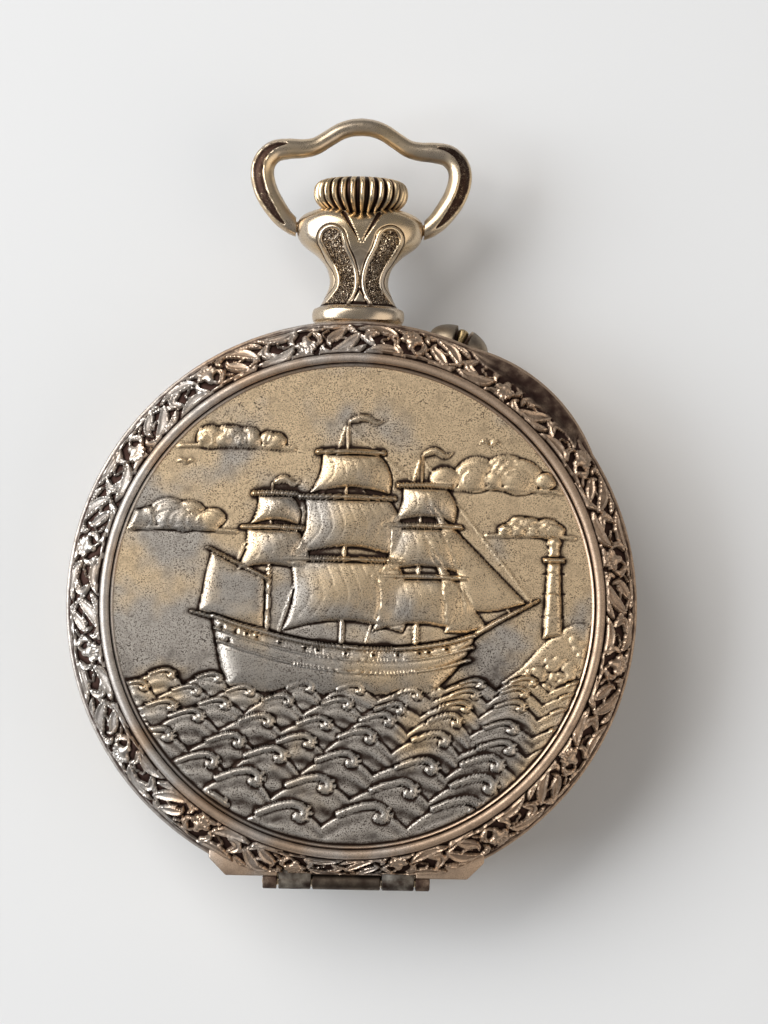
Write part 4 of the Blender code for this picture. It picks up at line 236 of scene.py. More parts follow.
@dataclass(frozen=True)
class TarnishGroup:
    """Aged metal: dark where the relief is low, bright where it is worn, with pits and cloudy tarnish, and a
    cooler tone painted in as a reflection.
    """

    name: str = "tarnish"
    pit_size: float = 0.115 * MM
    grain_size: float = 0.10 * MM
    cloud_size: float = 7.0 * MM
    smear_size: float = 1.1 * MM

    def tree(self) -> bpy.types.NodeTree:
        """Return the shader group, made on first use."""
        found = bpy.data.node_groups.get(self.name)
        if found:
            return found
        inputs = {
            "Place": (VECTOR, (0.0, 0.0, 0.0)),
            "Wear": (FLOAT, 0.5),
            "Pits": (FLOAT, 0.3),
            "Mottle": (FLOAT, 0.42),
            "Polish": (FLOAT, 0.0),
            "Tint": (FLOAT, 0.0),
            "Bright": (COLOUR, (0.7, 0.6, 0.45, 1.0)),
            "Cool": (COLOUR, (0.6, 0.58, 0.55, 1.0)),
            "Dark": (COLOUR, (0.05, 0.03, 0.02, 1.0)),
        }
        outputs = {"Colour": COLOUR, "Roughness": FLOAT, "Height": FLOAT}
        web, taken, given = shader_group(self.name, inputs, outputs)
        place = taken["Place"]
        cloud = web.noise(place, self.cloud_size, 3.0)
        smear = web.noise(place, self.smear_size, 4.0)
        pit = web.noise(place, self.pit_size, 1.0)
        grain = web.noise(place, self.grain_size, 2.0)
        loosened = web.math("MULTIPLY", web.math("SUBTRACT", smear, 0.5), taken["Mottle"])
        worn = web.math("ADD", taken["Wear"], loosened)
        # Painted reflection: the stored tint adds a cooler tone across the piece, on top of the random
        # cloudy tarnish.
        cloud_and_reflection = web.math("ADD", cloud, taken["Tint"])
        tone = web.blend(web.span(cloud_and_reflection, 0.40, 0.62), taken["Bright"], taken["Cool"])
        tone = web.blend(web.span(worn, 0.14, 0.52), taken["Dark"], tone)
        sandy = web.math("MULTIPLY", web.span(grain, 0.42, 0.66, 0.0, 0.34), taken["Pits"])
        tone = web.blend(sandy, tone, taken["Dark"])
        patchy = web.span(web.math("ADD", smear, web.math("MULTIPLY", cloud, 0.6)), 0.55, 0.95, 0.35, 1.0)
        speck = web.math("MULTIPLY", web.span(pit, 0.53, 0.62), web.math("MULTIPLY", taken["Pits"], patchy))
        tone = web.blend(speck, tone, taken["Dark"])
        web.join(tone, given["Colour"])
        rough = web.math("SUBTRACT", web.span(worn, 0.1, 0.85, 0.60, 0.38), taken["Polish"])
        rough = web.math("ADD", rough, web.math("MULTIPLY", web.math("SUBTRACT", grain, 0.5), 0.18))
        rough = web.math("ADD", rough, web.math("MULTIPLY", speck, 0.15))
        web.join(rough, given["Roughness"])
        rise = web.math("ADD", web.math("MULTIPLY", grain, 0.5), web.math("MULTIPLY", smear, 0.3))
        web.join(web.math("SUBTRACT", rise, speck), given["Height"])
        return web.tree


@dataclass(frozen=True)
class GrainGroup:
    """Fine machine grain: straight lines along one axis with a little unevenness."""

    name: str = "grain"
    line_size: float = 0.05 * MM
    stretch: float = 60.0
    patch_size: float = 3.0 * MM

    def tree(self) -> bpy.types.NodeTree:
        """Return the shader group, made on first use."""
        found = bpy.data.node_groups.get(self.name)
        if found:
            return found
        inputs = {
            "Place": (VECTOR, (0.0, 0.0, 0.0)),
            "Light": (COLOUR, (0.7, 0.7, 0.7, 1.0)),
            "Deep": (COLOUR, (0.5, 0.5, 0.5, 1.0)),
            "Roughness": (FLOAT, 0.3),
        }
        outputs = {"Colour": COLOUR, "Roughness": FLOAT, "Height": FLOAT}
        web, taken, given = shader_group(self.name, inputs, outputs)
        mapping = web.add(NodeKind.MAPPING)
        web.fill(mapping, {"Vector": taken["Place"], "Scale": (1.0, 1.0 / self.stretch, 1.0)})
        lines = web.noise(mapping.outputs[0], self.line_size, 2.0)
        patch = web.noise(taken["Place"], self.patch_size, 3.0)
        mixed = web.math("ADD", web.math("MULTIPLY", lines, 0.5), web.math("MULTIPLY", patch, 0.5))
        web.join(web.blend(web.span(mixed, 0.35, 0.65), taken["Deep"], taken["Light"]), given["Colour"])
        spread = web.math("MULTIPLY", web.math("SUBTRACT", lines, 0.5), 0.2)
        web.join(web.math("ADD", taken["Roughness"], spread), given["Roughness"])
        web.join(lines, given["Height"])
        return web.tree


@dataclass(frozen=True)
class Finish:
    """A material with a name, a record slot and a Principled shader."""

    name: str
    slot: Slot
    metallic: float = 1.0
    bump: float = 0.02 * MM
    bump_strength: float = 0.35

    def material(self) -> bpy.types.Material:
        """Return the material, made on first use."""
        found = bpy.data.materials.get(self.name)
        if found:
            return found
        made = bpy.data.materials.new(self.name)
        made.use_nodes = True
        web = Web(made.node_tree)
        shader = made.node_tree.nodes["Principled BSDF"]
        shader.inputs["Metallic"].default_value = self.metallic
        self.dress(web, shader)
        return made

    def dress(self, web: Web, shader: bpy.types.Node) -> None:
        """Feed the shader. Each kind of finish does this in its own way."""
        raise NotImplementedError

    def place(self, web: Web) -> Socket:
        """Return the piece's own coordinates."""
        return web.add(NodeKind.COORDINATES).outputs["Object"]

    def emboss(self, web: Web, shader: bpy.types.Node, height: Socket) -> None:
        """Feed a height into the shader's normal."""
        bump = web.add(NodeKind.BUMP)
        web.fill(bump, {"Strength": self.bump_strength, "Distance": self.bump, "Height": height})
        web.join(bump.outputs["Normal"], shader.inputs["Normal"])

    def take_from(self, web: Web, shader: bpy.types.Node, group: bpy.types.Node) -> None:
        """Feed the shader from a group's colour, roughness and height."""
        web.fill(shader, {"Base Color": group.outputs["Colour"], "Roughness": group.outputs["Roughness"]})
        self.emboss(web, shader, group.outputs["Height"])


@dataclass(frozen=True)
class AgedMetal(Finish):
    """Oxidised metal that reads where a piece is worn, with painted shade on some pieces, and where a cooler
    reflection is painted on, from the piece's own attributes.
    """

    bright: Colour = (0.72, 0.61, 0.45)
    cool: Colour = (0.66, 0.62, 0.56)
    dark: Colour = (0.034, 0.021, 0.016)
    pits: float = 0.6
    mottle: float = 0.42
    polish: float = 0.0
    reflection_tinted: bool = False
    worn: float | None = None

    def dress(self, web: Web, shader: bpy.types.Node) -> None:
        """Feed the shader from the tarnish group."""
        group = web.add(NodeKind.GROUP, node_tree=TarnishGroup().tree())
        web.fill(group, {
            "Place": self.place(web),
            "Wear": self.stored(web, WEAR_AND_SHADE) if self.worn is None else self.worn,
            # Painted reflection: the cooler tone stored on the piece.
            "Tint": self.stored(web, COOL_REFLECTION) if self.reflection_tinted else 0.0,
            "Pits": self.pits,
            "Mottle": self.mottle,
            "Polish": self.polish,
            "Bright": rgba(self.bright),
            "Cool": rgba(self.cool),
            "Dark": rgba(self.dark),
        })
        self.take_from(web, shader, group)

    @staticmethod
    def stored(web: Web, name: str) -> Socket:
        """Return a value that is stored on the piece's points."""
        return web.add(NodeKind.ATTRIBUTE, attribute_name=name).outputs["Fac"]


@dataclass(frozen=True)
class GrainedMetal(Finish):
    """Machined metal with fine straight grain."""

    light: Colour = (0.74, 0.73, 0.70)
    deep: Colour = (0.60, 0.59, 0.56)
    roughness: float = 0.28
    stripe: float = 0.0
    stripe_turn: float = 28.0
    stripe_rough: float = 0.12

    def dress(self, web: Web, shader: bpy.types.Node) -> None:
        """Feed the shader from the grain group."""
        group = web.add(NodeKind.GROUP, node_tree=GrainGroup().tree())
        turned = web.add(NodeKind.MAPPING)
        turn = math.radians(self.stripe_turn if self.stripe else 0.0)
        web.fill(turned, {"Vector": self.place(web), "Rotation": (0.0, 0.0, turn)})
        light, deep, roughness = rgba(self.light), rgba(self.deep), self.roughness
        if self.stripe:
            wave = web.add(NodeKind.WAVE, wave_type="BANDS", bands_direction="X", wave_profile="SAW")
            web.fill(wave, {"Vector": turned.outputs[0], "Scale": math.pi / 10.0 / self.stripe})
            swept = web.span(wave.outputs["Fac"], 0.0, 1.0)
            light = web.blend(swept, light, deep)
            roughness = web.math("ADD", roughness, web.math("MULTIPLY", swept, self.stripe_rough))
        web.fill(group, {"Place": turned.outputs[0], "Light": light, "Deep": deep, "Roughness": roughness})
        self.take_from(web, shader, group)


@dataclass(frozen=True)
class Enamel(Finish):
    """Glassy white enamel with a faint unevenness and a clear gloss."""

    colour: Colour = (0.86, 0.85, 0.80)
    shade: Colour = (0.80, 0.78, 0.72)
    roughness: float = 0.22
    patch_size: float = 4.0 * MM
    coat: float = 0.4

    def dress(self, web: Web, shader: bpy.types.Node) -> None:
        """Feed the shader."""
        patch = web.noise(self.place(web), self.patch_size, 4.0)
        web.fill(shader, {
            "Base Color": web.blend(web.span(patch, 0.35, 0.7), rgba(self.colour), rgba(self.shade)),
            "Roughness": web.span(patch, 0.3, 0.7, self.roughness, self.roughness * 1.5),
            "Coat Weight": self.coat,
        })
        self.emboss(web, shader, patch)


@dataclass(frozen=True)
class ClearGlass(Finish):
    """Clear crystal with a few hairline marks."""

    tint: Colour = (0.97, 0.985, 0.98)
    mark_size: float = 0.9 * MM
    refraction: float = 1.46

    def dress(self, web: Web, shader: bpy.types.Node) -> None:
        """Feed the shader."""
        marks = web.noise(self.place(web), self.mark_size, 5.0)
        web.fill(shader, {
            "Base Color": rgba(self.tint),
            "Transmission Weight": 1.0,
            "IOR": self.refraction,
            "Roughness": web.span(marks, 0.55, 0.8, 0.02, 0.10),
        })


class Finishes:
    """The finishes of the watch."""

    CHASED = AgedMetal(
        "chased_nickel_silver", Slot.NICKEL_SILVER, pits=0.35, bright=(0.52, 0.38, 0.27),
        cool=(0.56, 0.51, 0.46), dark=(0.045, 0.025, 0.020), bump_strength=0.2, reflection_tinted=True)
    FIELD = AgedMetal(
        "struck_field", Slot.NICKEL_SILVER, pits=0.9, bright=(0.80, 0.61, 0.39), cool=(0.54, 0.49, 0.43),
        reflection_tinted=True)
    CASE = AgedMetal(
        "worn_case_metal", Slot.NICKEL_SILVER, pits=0.10, bright=(0.66, 0.50, 0.31),
        cool=(0.55, 0.45, 0.34), dark=(0.040, 0.022, 0.016), bump_strength=0.10, polish=0.15)
    BAND = AgedMetal(
        "band_metal", Slot.NICKEL_SILVER, pits=0.15, mottle=0.2, bright=(0.64, 0.51, 0.35),
        cool=(0.57, 0.48, 0.37), bump_strength=0.12, polish=0.10)
    PLAIN_CASE = AgedMetal(
        "plain_case_metal", Slot.NICKEL_SILVER, pits=0.3, bright=(0.64, 0.53, 0.39),
        cool=(0.55, 0.49, 0.41), worn=0.7)
    PLATE_CASE = AgedMetal(
        "polished_case_metal", Slot.NICKEL_SILVER, pits=0.12, bright=(0.70, 0.63, 0.52),
        cool=(0.64, 0.60, 0.53))
    PIN = AgedMetal(
        "gilt_pin", Slot.NICKEL_SILVER, pits=0.5, bright=(0.56, 0.40, 0.18), cool=(0.46, 0.34, 0.18))
    PLATE = GrainedMetal(
        "nickel_plate", Slot.NICKEL_PLATE, light=(0.66, 0.64, 0.59), deep=(0.52, 0.50, 0.46))
    BRIDGE = GrainedMetal(
        "striped_bridge", Slot.NICKEL_PLATE, light=(0.76, 0.74, 0.69), deep=(0.50, 0.48, 0.44),
        roughness=0.24, stripe=1.7 * MM)
    GILT = GrainedMetal(
        "gilt_wheel", Slot.GILT, light=(0.80, 0.60, 0.27), deep=(0.66, 0.47, 0.18), roughness=0.26)
    STEEL = GrainedMetal(
        "polished_steel", Slot.STEEL, light=(0.60, 0.60, 0.61), deep=(0.46, 0.47, 0.49), roughness=0.20)
    BLUED = GrainedMetal(
        "blued_steel", Slot.BLUED, light=(0.030, 0.055, 0.22), deep=(0.018, 0.03, 0.13), roughness=0.22)
    ENAMEL = Enamel("white_enamel", Slot.ENAMEL, metallic=0.0, bump_strength=0.08)
    INK = Enamel(
        "black_enamel", Slot.ENAMEL, metallic=0.0, bump_strength=0.05, colour=(0.012, 0.012, 0.014),
        shade=(0.02, 0.02, 0.022))
    RUBY = Enamel(
        "ruby_jewel", Slot.GLASS, metallic=0.0, bump_strength=0.02, colour=(0.42, 0.02, 0.07),
        shade=(0.30, 0.01, 0.05), roughness=0.08)
    GLASS = ClearGlass("clear_crystal", Slot.GLASS, metallic=0.0)


@dataclass
class WatchFrame:
    """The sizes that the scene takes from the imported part."""

    case_radius: float = 0.0
    band_low: float = 0.0
    band_top: float = 0.0
    ring_top: float = 0.0
    stem_z: float = 0.0
    joints: dict[str, Vector] = field(default_factory=dict)

    @classmethod
    def read(cls, frame: dict) -> "WatchFrame":
        """Return the sizes of a loaded frame.


        Returns:
            The sizes, in metres.
        """
        stem_low, stem_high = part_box("stem")
        joints = {j["name"]: Vector(j["pos_m"]) for j in frame["joints"] if j.get("pos_m")}
        return cls(
            case_radius=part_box("case_middle")[1].x,
            band_low=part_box("dial")[1].z,
            band_top=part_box("crown_wheel")[1].z,
            ring_top=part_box("inner_cover")[1].z + 1.55 * MM,
            stem_z=(stem_low.z + stem_high.z) / 2.0,
            joints=joints,
        )


def closed_up(shape: Shape, gap: float) -> Shape:
    """Join the points of a shape that lie within a gap in metres, and turn its faces outwards."""
    bmesh.ops.remove_doubles(shape, verts=shape.verts, dist=gap)
    bmesh.ops.recalc_face_normals(shape, faces=shape.faces)
    return shape


def metres(points: Iterable[Sequence[float]]) -> list[Point]:
    """Return points in metres that are given in millimetres."""
    return [(across * MM, up * MM) for across, up in points]


def spun(profile: Sequence[Point], steps: int, closed: bool = False) -> Shape:
    """Turn a profile of radius and height about the case axis.

    Args:
        profile: Points in metres, top to bottom on the outer side.
        steps: Facets round the axis.
        closed: Whether the profile is a ring of its own.

    Returns:
        The turned surface.
    """
    shape = bmesh.new()
    verts = [shape.verts.new((radius, 0.0, height)) for radius, height in profile]
    edges = [shape.edges.new(pair) for pair in zip(verts, verts[1:])]
    if closed:
        edges.append(shape.edges.new((verts[-1], verts[0])))
    bmesh.ops.spin(
        shape, geom=verts + edges, cent=(0.0, 0.0, 0.0), axis=(0.0, 0.0, 1.0), angle=TURN, steps=steps,
        use_merge=True)
    return closed_up(shape, 1e-7)


def tread(
        columns: int, rows: int, lay: Callable[[Array, Array], Array],
        wear: Callable[[Array, Array], Array]) -> Shape:
    """Lay a flat grid over a form.

    Args:
        columns: Faces along the first side.
        rows: Faces along the second side.
        lay: Gives the points of the form for two arrays of shares from 0 to 1.
        wear: Gives how worn each of those points is.

    Returns:
        The laid grid, with its wear stored on its vertices.
    """
    shape = bmesh.new()
    bmesh.ops.create_grid(shape, x_segments=columns, y_segments=rows, size=0.5)
    flat = np.array([vert.co[:2] for vert in shape.verts])
    u, v = flat[:, 0] + 0.5, flat[:, 1] + 0.5
    spots = lay(u, v)
    values = wear(u, v)
    layer = shape.verts.layers.float.new(WEAR_AND_SHADE)
    for vert, spot, value in zip(shape.verts, spots, values):
        vert.co = spot
        vert[layer] = float(value)
    return shape


def even_wear(shape: Shape, value: float) -> Shape:
    """Store one wear on every vertex of a shape."""
    layer = shape.verts.layers.float.get(WEAR_AND_SHADE) or shape.verts.layers.float.new(WEAR_AND_SHADE)
    for vert in shape.verts:
        vert[layer] = value
    return shape


def reflection_tinted(shape: Shape, lean: Point, gain: float, shift: float) -> Shape:
    """Mark how much of the cooler tone each point of a shape takes, a painted reflection that grows across
    the shape.

    Args:
        shape: The shape.
        lean: What each millimetre to the right and up adds.
        gain: The strength of the whole.
        shift: What is added everywhere.

    Returns:
        The same shape.
    """
    layer = shape.verts.layers.float.new(COOL_REFLECTION)
    for vert in shape.verts:
        vert[layer] = gain * ((lean[0] * vert.co.x + lean[1] * vert.co.y) / MM + shift)
    return shape


def add_object(name: str, data: bpy.types.ID) -> Piece:
    """Add an object to the scene."""
    obj = bpy.data.objects.new(name, data)
    bpy.context.scene.collection.objects.link(obj)
    return obj


def piece(
        name: str, shape: Shape, finish: Finish, body: str, replaces: Iterable[str] = (),
        crease: float = 38.0) -> Piece:
    """Make a shape a piece of the watch.

    Args:
        name: The piece's name.
        shape: Its form, which is freed.
        finish: Its material.
        body: The body that it rides on.
        replaces: The nodes that it stands for.
        crease: The angle in degrees past which an edge stays sharp.

    Returns:
        The new object.
    """
    mesh = bpy.data.meshes.new(name)
    shape.to_mesh(mesh)
    shape.free()
    mesh.materials.append(finish.material())
    mesh.shade_smooth()
    mesh.set_sharp_from_angle(angle=math.radians(crease))
    obj = add_object(name, mesh)
    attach(obj, body)
    nodes = list(replaces)
    if nodes:
        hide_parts(*nodes)
    LOG.info("%s: %d faces on %s", name, len(mesh.polygons), body)
    return obj


def merge(shape: Shape, *others: Shape) -> Shape:
    """Add the forms of other shapes to a shape and free them."""
    for other in others:
        mesh = bpy.data.meshes.new("part")
        other.to_mesh(mesh)
        other.free()
        shape.from_mesh(mesh)
        bpy.data.meshes.remove(mesh)
    return shape


def smooth_line(points: Sequence[Sequence[float]], steps: int) -> Array:
    """Return a smooth curve through chosen points, with a number of steps between neighbours."""
    spots = np.array(points, dtype=float)
    padded = np.vstack([2.0 * spots[0] - spots[1], spots, 2.0 * spots[-1] - spots[-2]])
    path = []
    for index in range(len(spots) - 1):
        before, start, end, after = padded[index:index + 4]
        bend = 2.0 * before - 5.0 * start + 4.0 * end - after
        swing = 3.0 * start - before - 3.0 * end + after
        for step in range(steps):
            t = step / steps
            path.append(0.5 * (2.0 * start + (end - before) * t + bend * t ** 2 + swing * t ** 3))
    path.append(spots[-1])
    return np.array(path)


def rise(depth: Array, roll: float) -> Array:
    """Return a rounded edge, from 0 at the outline to 1 at a roll's width inside it."""
    share = unit(depth / roll)
    return np.sqrt(1.0 - (1.0 - share) ** 2)


@dataclass
class Relief:
    """Heights over a flat field, in millimetres, built up from raised forms and cut lines."""

    x: Array
    y: Array
    height: Array
    margin: float = 0.4

    @classmethod
    def over(cls, x: Array, y: Array, ground: float = 0.0) -> "Relief":
        """Return a plain field over two arrays of places in millimetres."""
        return cls(x, y, np.full(len(x), ground))

    def near(self, low: Array, high: Array) -> Array:
        """Return which places lie between two corners."""
        inside = (self.x > low[0]) & (self.x < high[0]) & (self.y > low[1]) & (self.y < high[1])
        return np.nonzero(inside)[0]

    def lift(
            self, places: Array, depth: Array, height: float, roll: float, moat: float = 0.0,
            swell: Array | float = 0.0, base: float = 0.0) -> None:
        """Raise a form.

        Args:
            places: The places that may be touched.
            depth: How far inside the outline each of them is.
            height: The form's height.
            roll: The width of its rounded edge.
            moat: The depth of the line chased round it.
            swell: More height inside, for each place.
            base: The level that the form stands on.
        """
        if moat:
            ditch = bell(np.minimum(depth, 0.0) / 0.16) * (depth < 0.03)
            self.height[places] -= moat * ditch
        inside = depth > 0.0
        raised = base + (height + swell) * rise(depth, roll)
        self.height[places] = np.where(inside, np.maximum(self.height[places], raised), self.height[places])

    def cut(self, places: Array, depth: Array, amount: float, soft: float) -> None:
        """Cut a form into the field, with a soft edge."""
        self.height[places] -= amount * unit(depth / soft)

    def groove(self, path: Array, half: float, reach: float, amount: float, soft: float) -> None:
        """Cut a line of even width into the field."""
        places, depth, _ = self.strand_depth(path, lambda s: np.full(len(s), half), reach)
        self.cut(places, depth, amount, soft)

    def recess(self, corners: Sequence[Point], amount: float, soft: float) -> None:
        """Cut a closed outline into the field."""
        self.cut(*self.polygon_depth(np.array(corners)), amount, soft)

    def strand_depth(
            self, path: Array, half: Callable[[Array], Array], reach: float) -> tuple[Array, Array, Array]:
        """Measure a strip of changing width.

        Args:
            path: Its middle line.
            half: Its half width at a share of its length.
            reach: How far round the line to measure.

        Returns:
            The places, how far each is inside, and its share along the line.
        """
        places = self.near(path.min(0) - reach, path.max(0) + reach)
        spots = np.stack([self.x[places], self.y[places]], 1)
        best = np.full(len(places), 1e9)
        along = np.zeros(len(places))
        steps = np.linalg.norm(np.diff(path, axis=0), axis=1)
        length = max(steps.sum(), 1e-9)
        gone = 0.0
        for start, end, step in zip(path, path[1:], steps):
            line = end - start
            share = unit(((spots - start) @ line) / max(step ** 2, 1e-12))
            far = np.linalg.norm(spots - start - share[:, None] * line, axis=1)
            closer = far < best
            best = np.where(closer, far, best)
            along = np.where(closer, (gone + share * step) / length, along)
            gone += step
        return places, half(along) - best, along

    def strand(
            self, points: Sequence[Point], half: float, height: float, taper: float = 0.0,
            base: float = 0.0, moat: float = 0.0, steps: int = 6) -> None:
        """Raise a round strand along a smooth line, tapering by a share towards its end."""
        path = smooth_line(points, steps) if len(points) > 2 else np.array(points, dtype=float)
        places, depth, _ = self.strand_depth(path, lambda s: half * (1.0 - taper * s), half + self.margin)
        self.lift(places, depth, height, half, moat, 0.0, base)

    def leaf(
            self, points: Sequence[Point], half: float, height: float, base: float = 0.0, moat: float = 0.0,
            vein: float = 0.0, fat: float = 0.7, hollow: float = 0.0) -> None:
        """Raise a leaf along a smooth line, with a vein cut into it or with a hollow inside its edge."""
        path = smooth_line(points, 5)

        def width(share: Array) -> Array:
            """Return the half width at a share of the length."""
            return half * np.sin(np.pi * unit(share) ** fat) ** 0.8

        places, depth, _ = self.strand_depth(path, width, half + self.margin)
        self.lift(places, depth, height, 0.2 if hollow else half * 0.7, moat, 0.0, base)
        if hollow:
            self.cut(places, depth - 0.17, hollow, 0.14)
        if vein:
            thin = 0.28 * half
            places, depth, _ = self.strand_depth(path[1:-1], lambda s: thin * (1.0 - 0.7 * s), half)
            self.cut(places, depth, vein, thin)

    def dome(
            self, centre: Point, radii: Point, height: float, turn: float = 0.0, base: float = 0.0,
            moat: float = 0.0) -> None:
        """Raise a rounded oval."""
        reach = max(radii) + self.margin
        middle = np.array(centre)
        places = self.near(middle - reach, middle + reach)
        x, y = self.x[places] - centre[0], self.y[places] - centre[1]
        along = (x * math.cos(turn) + y * math.sin(turn)) / radii[0]
        across = (y * math.cos(turn) - x * math.sin(turn)) / radii[1]
        depth = (1.0 - np.hypot(along, across)) * min(radii)
        self.lift(places, depth, height, min(radii), moat, 0.0, base)

    def polygon_depth(self, corners: Array, reach: float = 0.5) -> tuple[Array, Array]:
        """Return places round a closed outline and how far inside it each is."""
        places = self.near(corners.min(0) - reach, corners.max(0) + reach)
        spots = np.stack([self.x[places], self.y[places]], 1)
        best = np.full(len(places), 1e9)
        odd = np.zeros(len(places), dtype=bool)
        for start, end in zip(corners, np.roll(corners, -1, axis=0)):
            line = end - start
            share = unit(((spots - start) @ line) / max(line @ line, 1e-12))
            best = np.minimum(best, np.linalg.norm(spots - start - share[:, None] * line, axis=1))
            crossing = (start[1] > spots[:, 1]) != (end[1] > spots[:, 1])
            rise_y = np.where(abs(line[1]) < 1e-12, 1e-12, line[1])
            meet = start[0] + (spots[:, 1] - start[1]) * line[0] / rise_y
            odd ^= crossing & (spots[:, 0] < meet)
        return places, np.where(odd, best, -best)

    def slab(
            self, corners: Sequence[Point], height: float, roll: float, base: float = 0.0,
            moat: float = 0.0) -> None:
        """Raise a flat-topped form with a rounded edge."""
        places, depth = self.polygon_depth(np.array(corners, dtype=float))
        self.lift(places, depth, height, roll, moat, 0.0, base)


def oblong(x: float, y: float, wide: float, tall: float) -> list[Point]:
    """Return the corners of an oblong from its middle and half its sizes."""
    return [(x - wide, y - tall), (x + wide, y - tall), (x + wide, y + tall), (x - wide, y + tall)]


def wear_of(height: Array, passes: int, wrap: tuple[bool, bool], gain: float, level: float) -> Array:
    """Return how worn each place of a relief is, from its height over its surroundings.

    Args:
        height: Heights on a grid, in millimetres.
        passes: How far the surroundings reach, in smoothing passes.
        wrap: Whether the grid closes on itself along each axis.
        gain: Wear for each millimetre over the surroundings.
        level: Wear for each millimetre over the lowest ground.

    Returns:
        Wear from 0, dark, to 1, bright.
    """
    around = height.copy()
    for _ in range(passes):
        for axis in (0, 1):
            mode = "wrap" if wrap[axis] else "edge"
            pad = [(1, 1) if side == axis else (0, 0) for side in (0, 1)]
            wide = np.pad(around, pad, mode=mode)
            low = np.take(wide, range(0, height.shape[axis]), axis)
            high = np.take(wide, range(2, height.shape[axis] + 2), axis)
            around = 0.25 * low + 0.5 * around + 0.25 * high
    return unit(0.45 + gain * (height - around) + level * height)


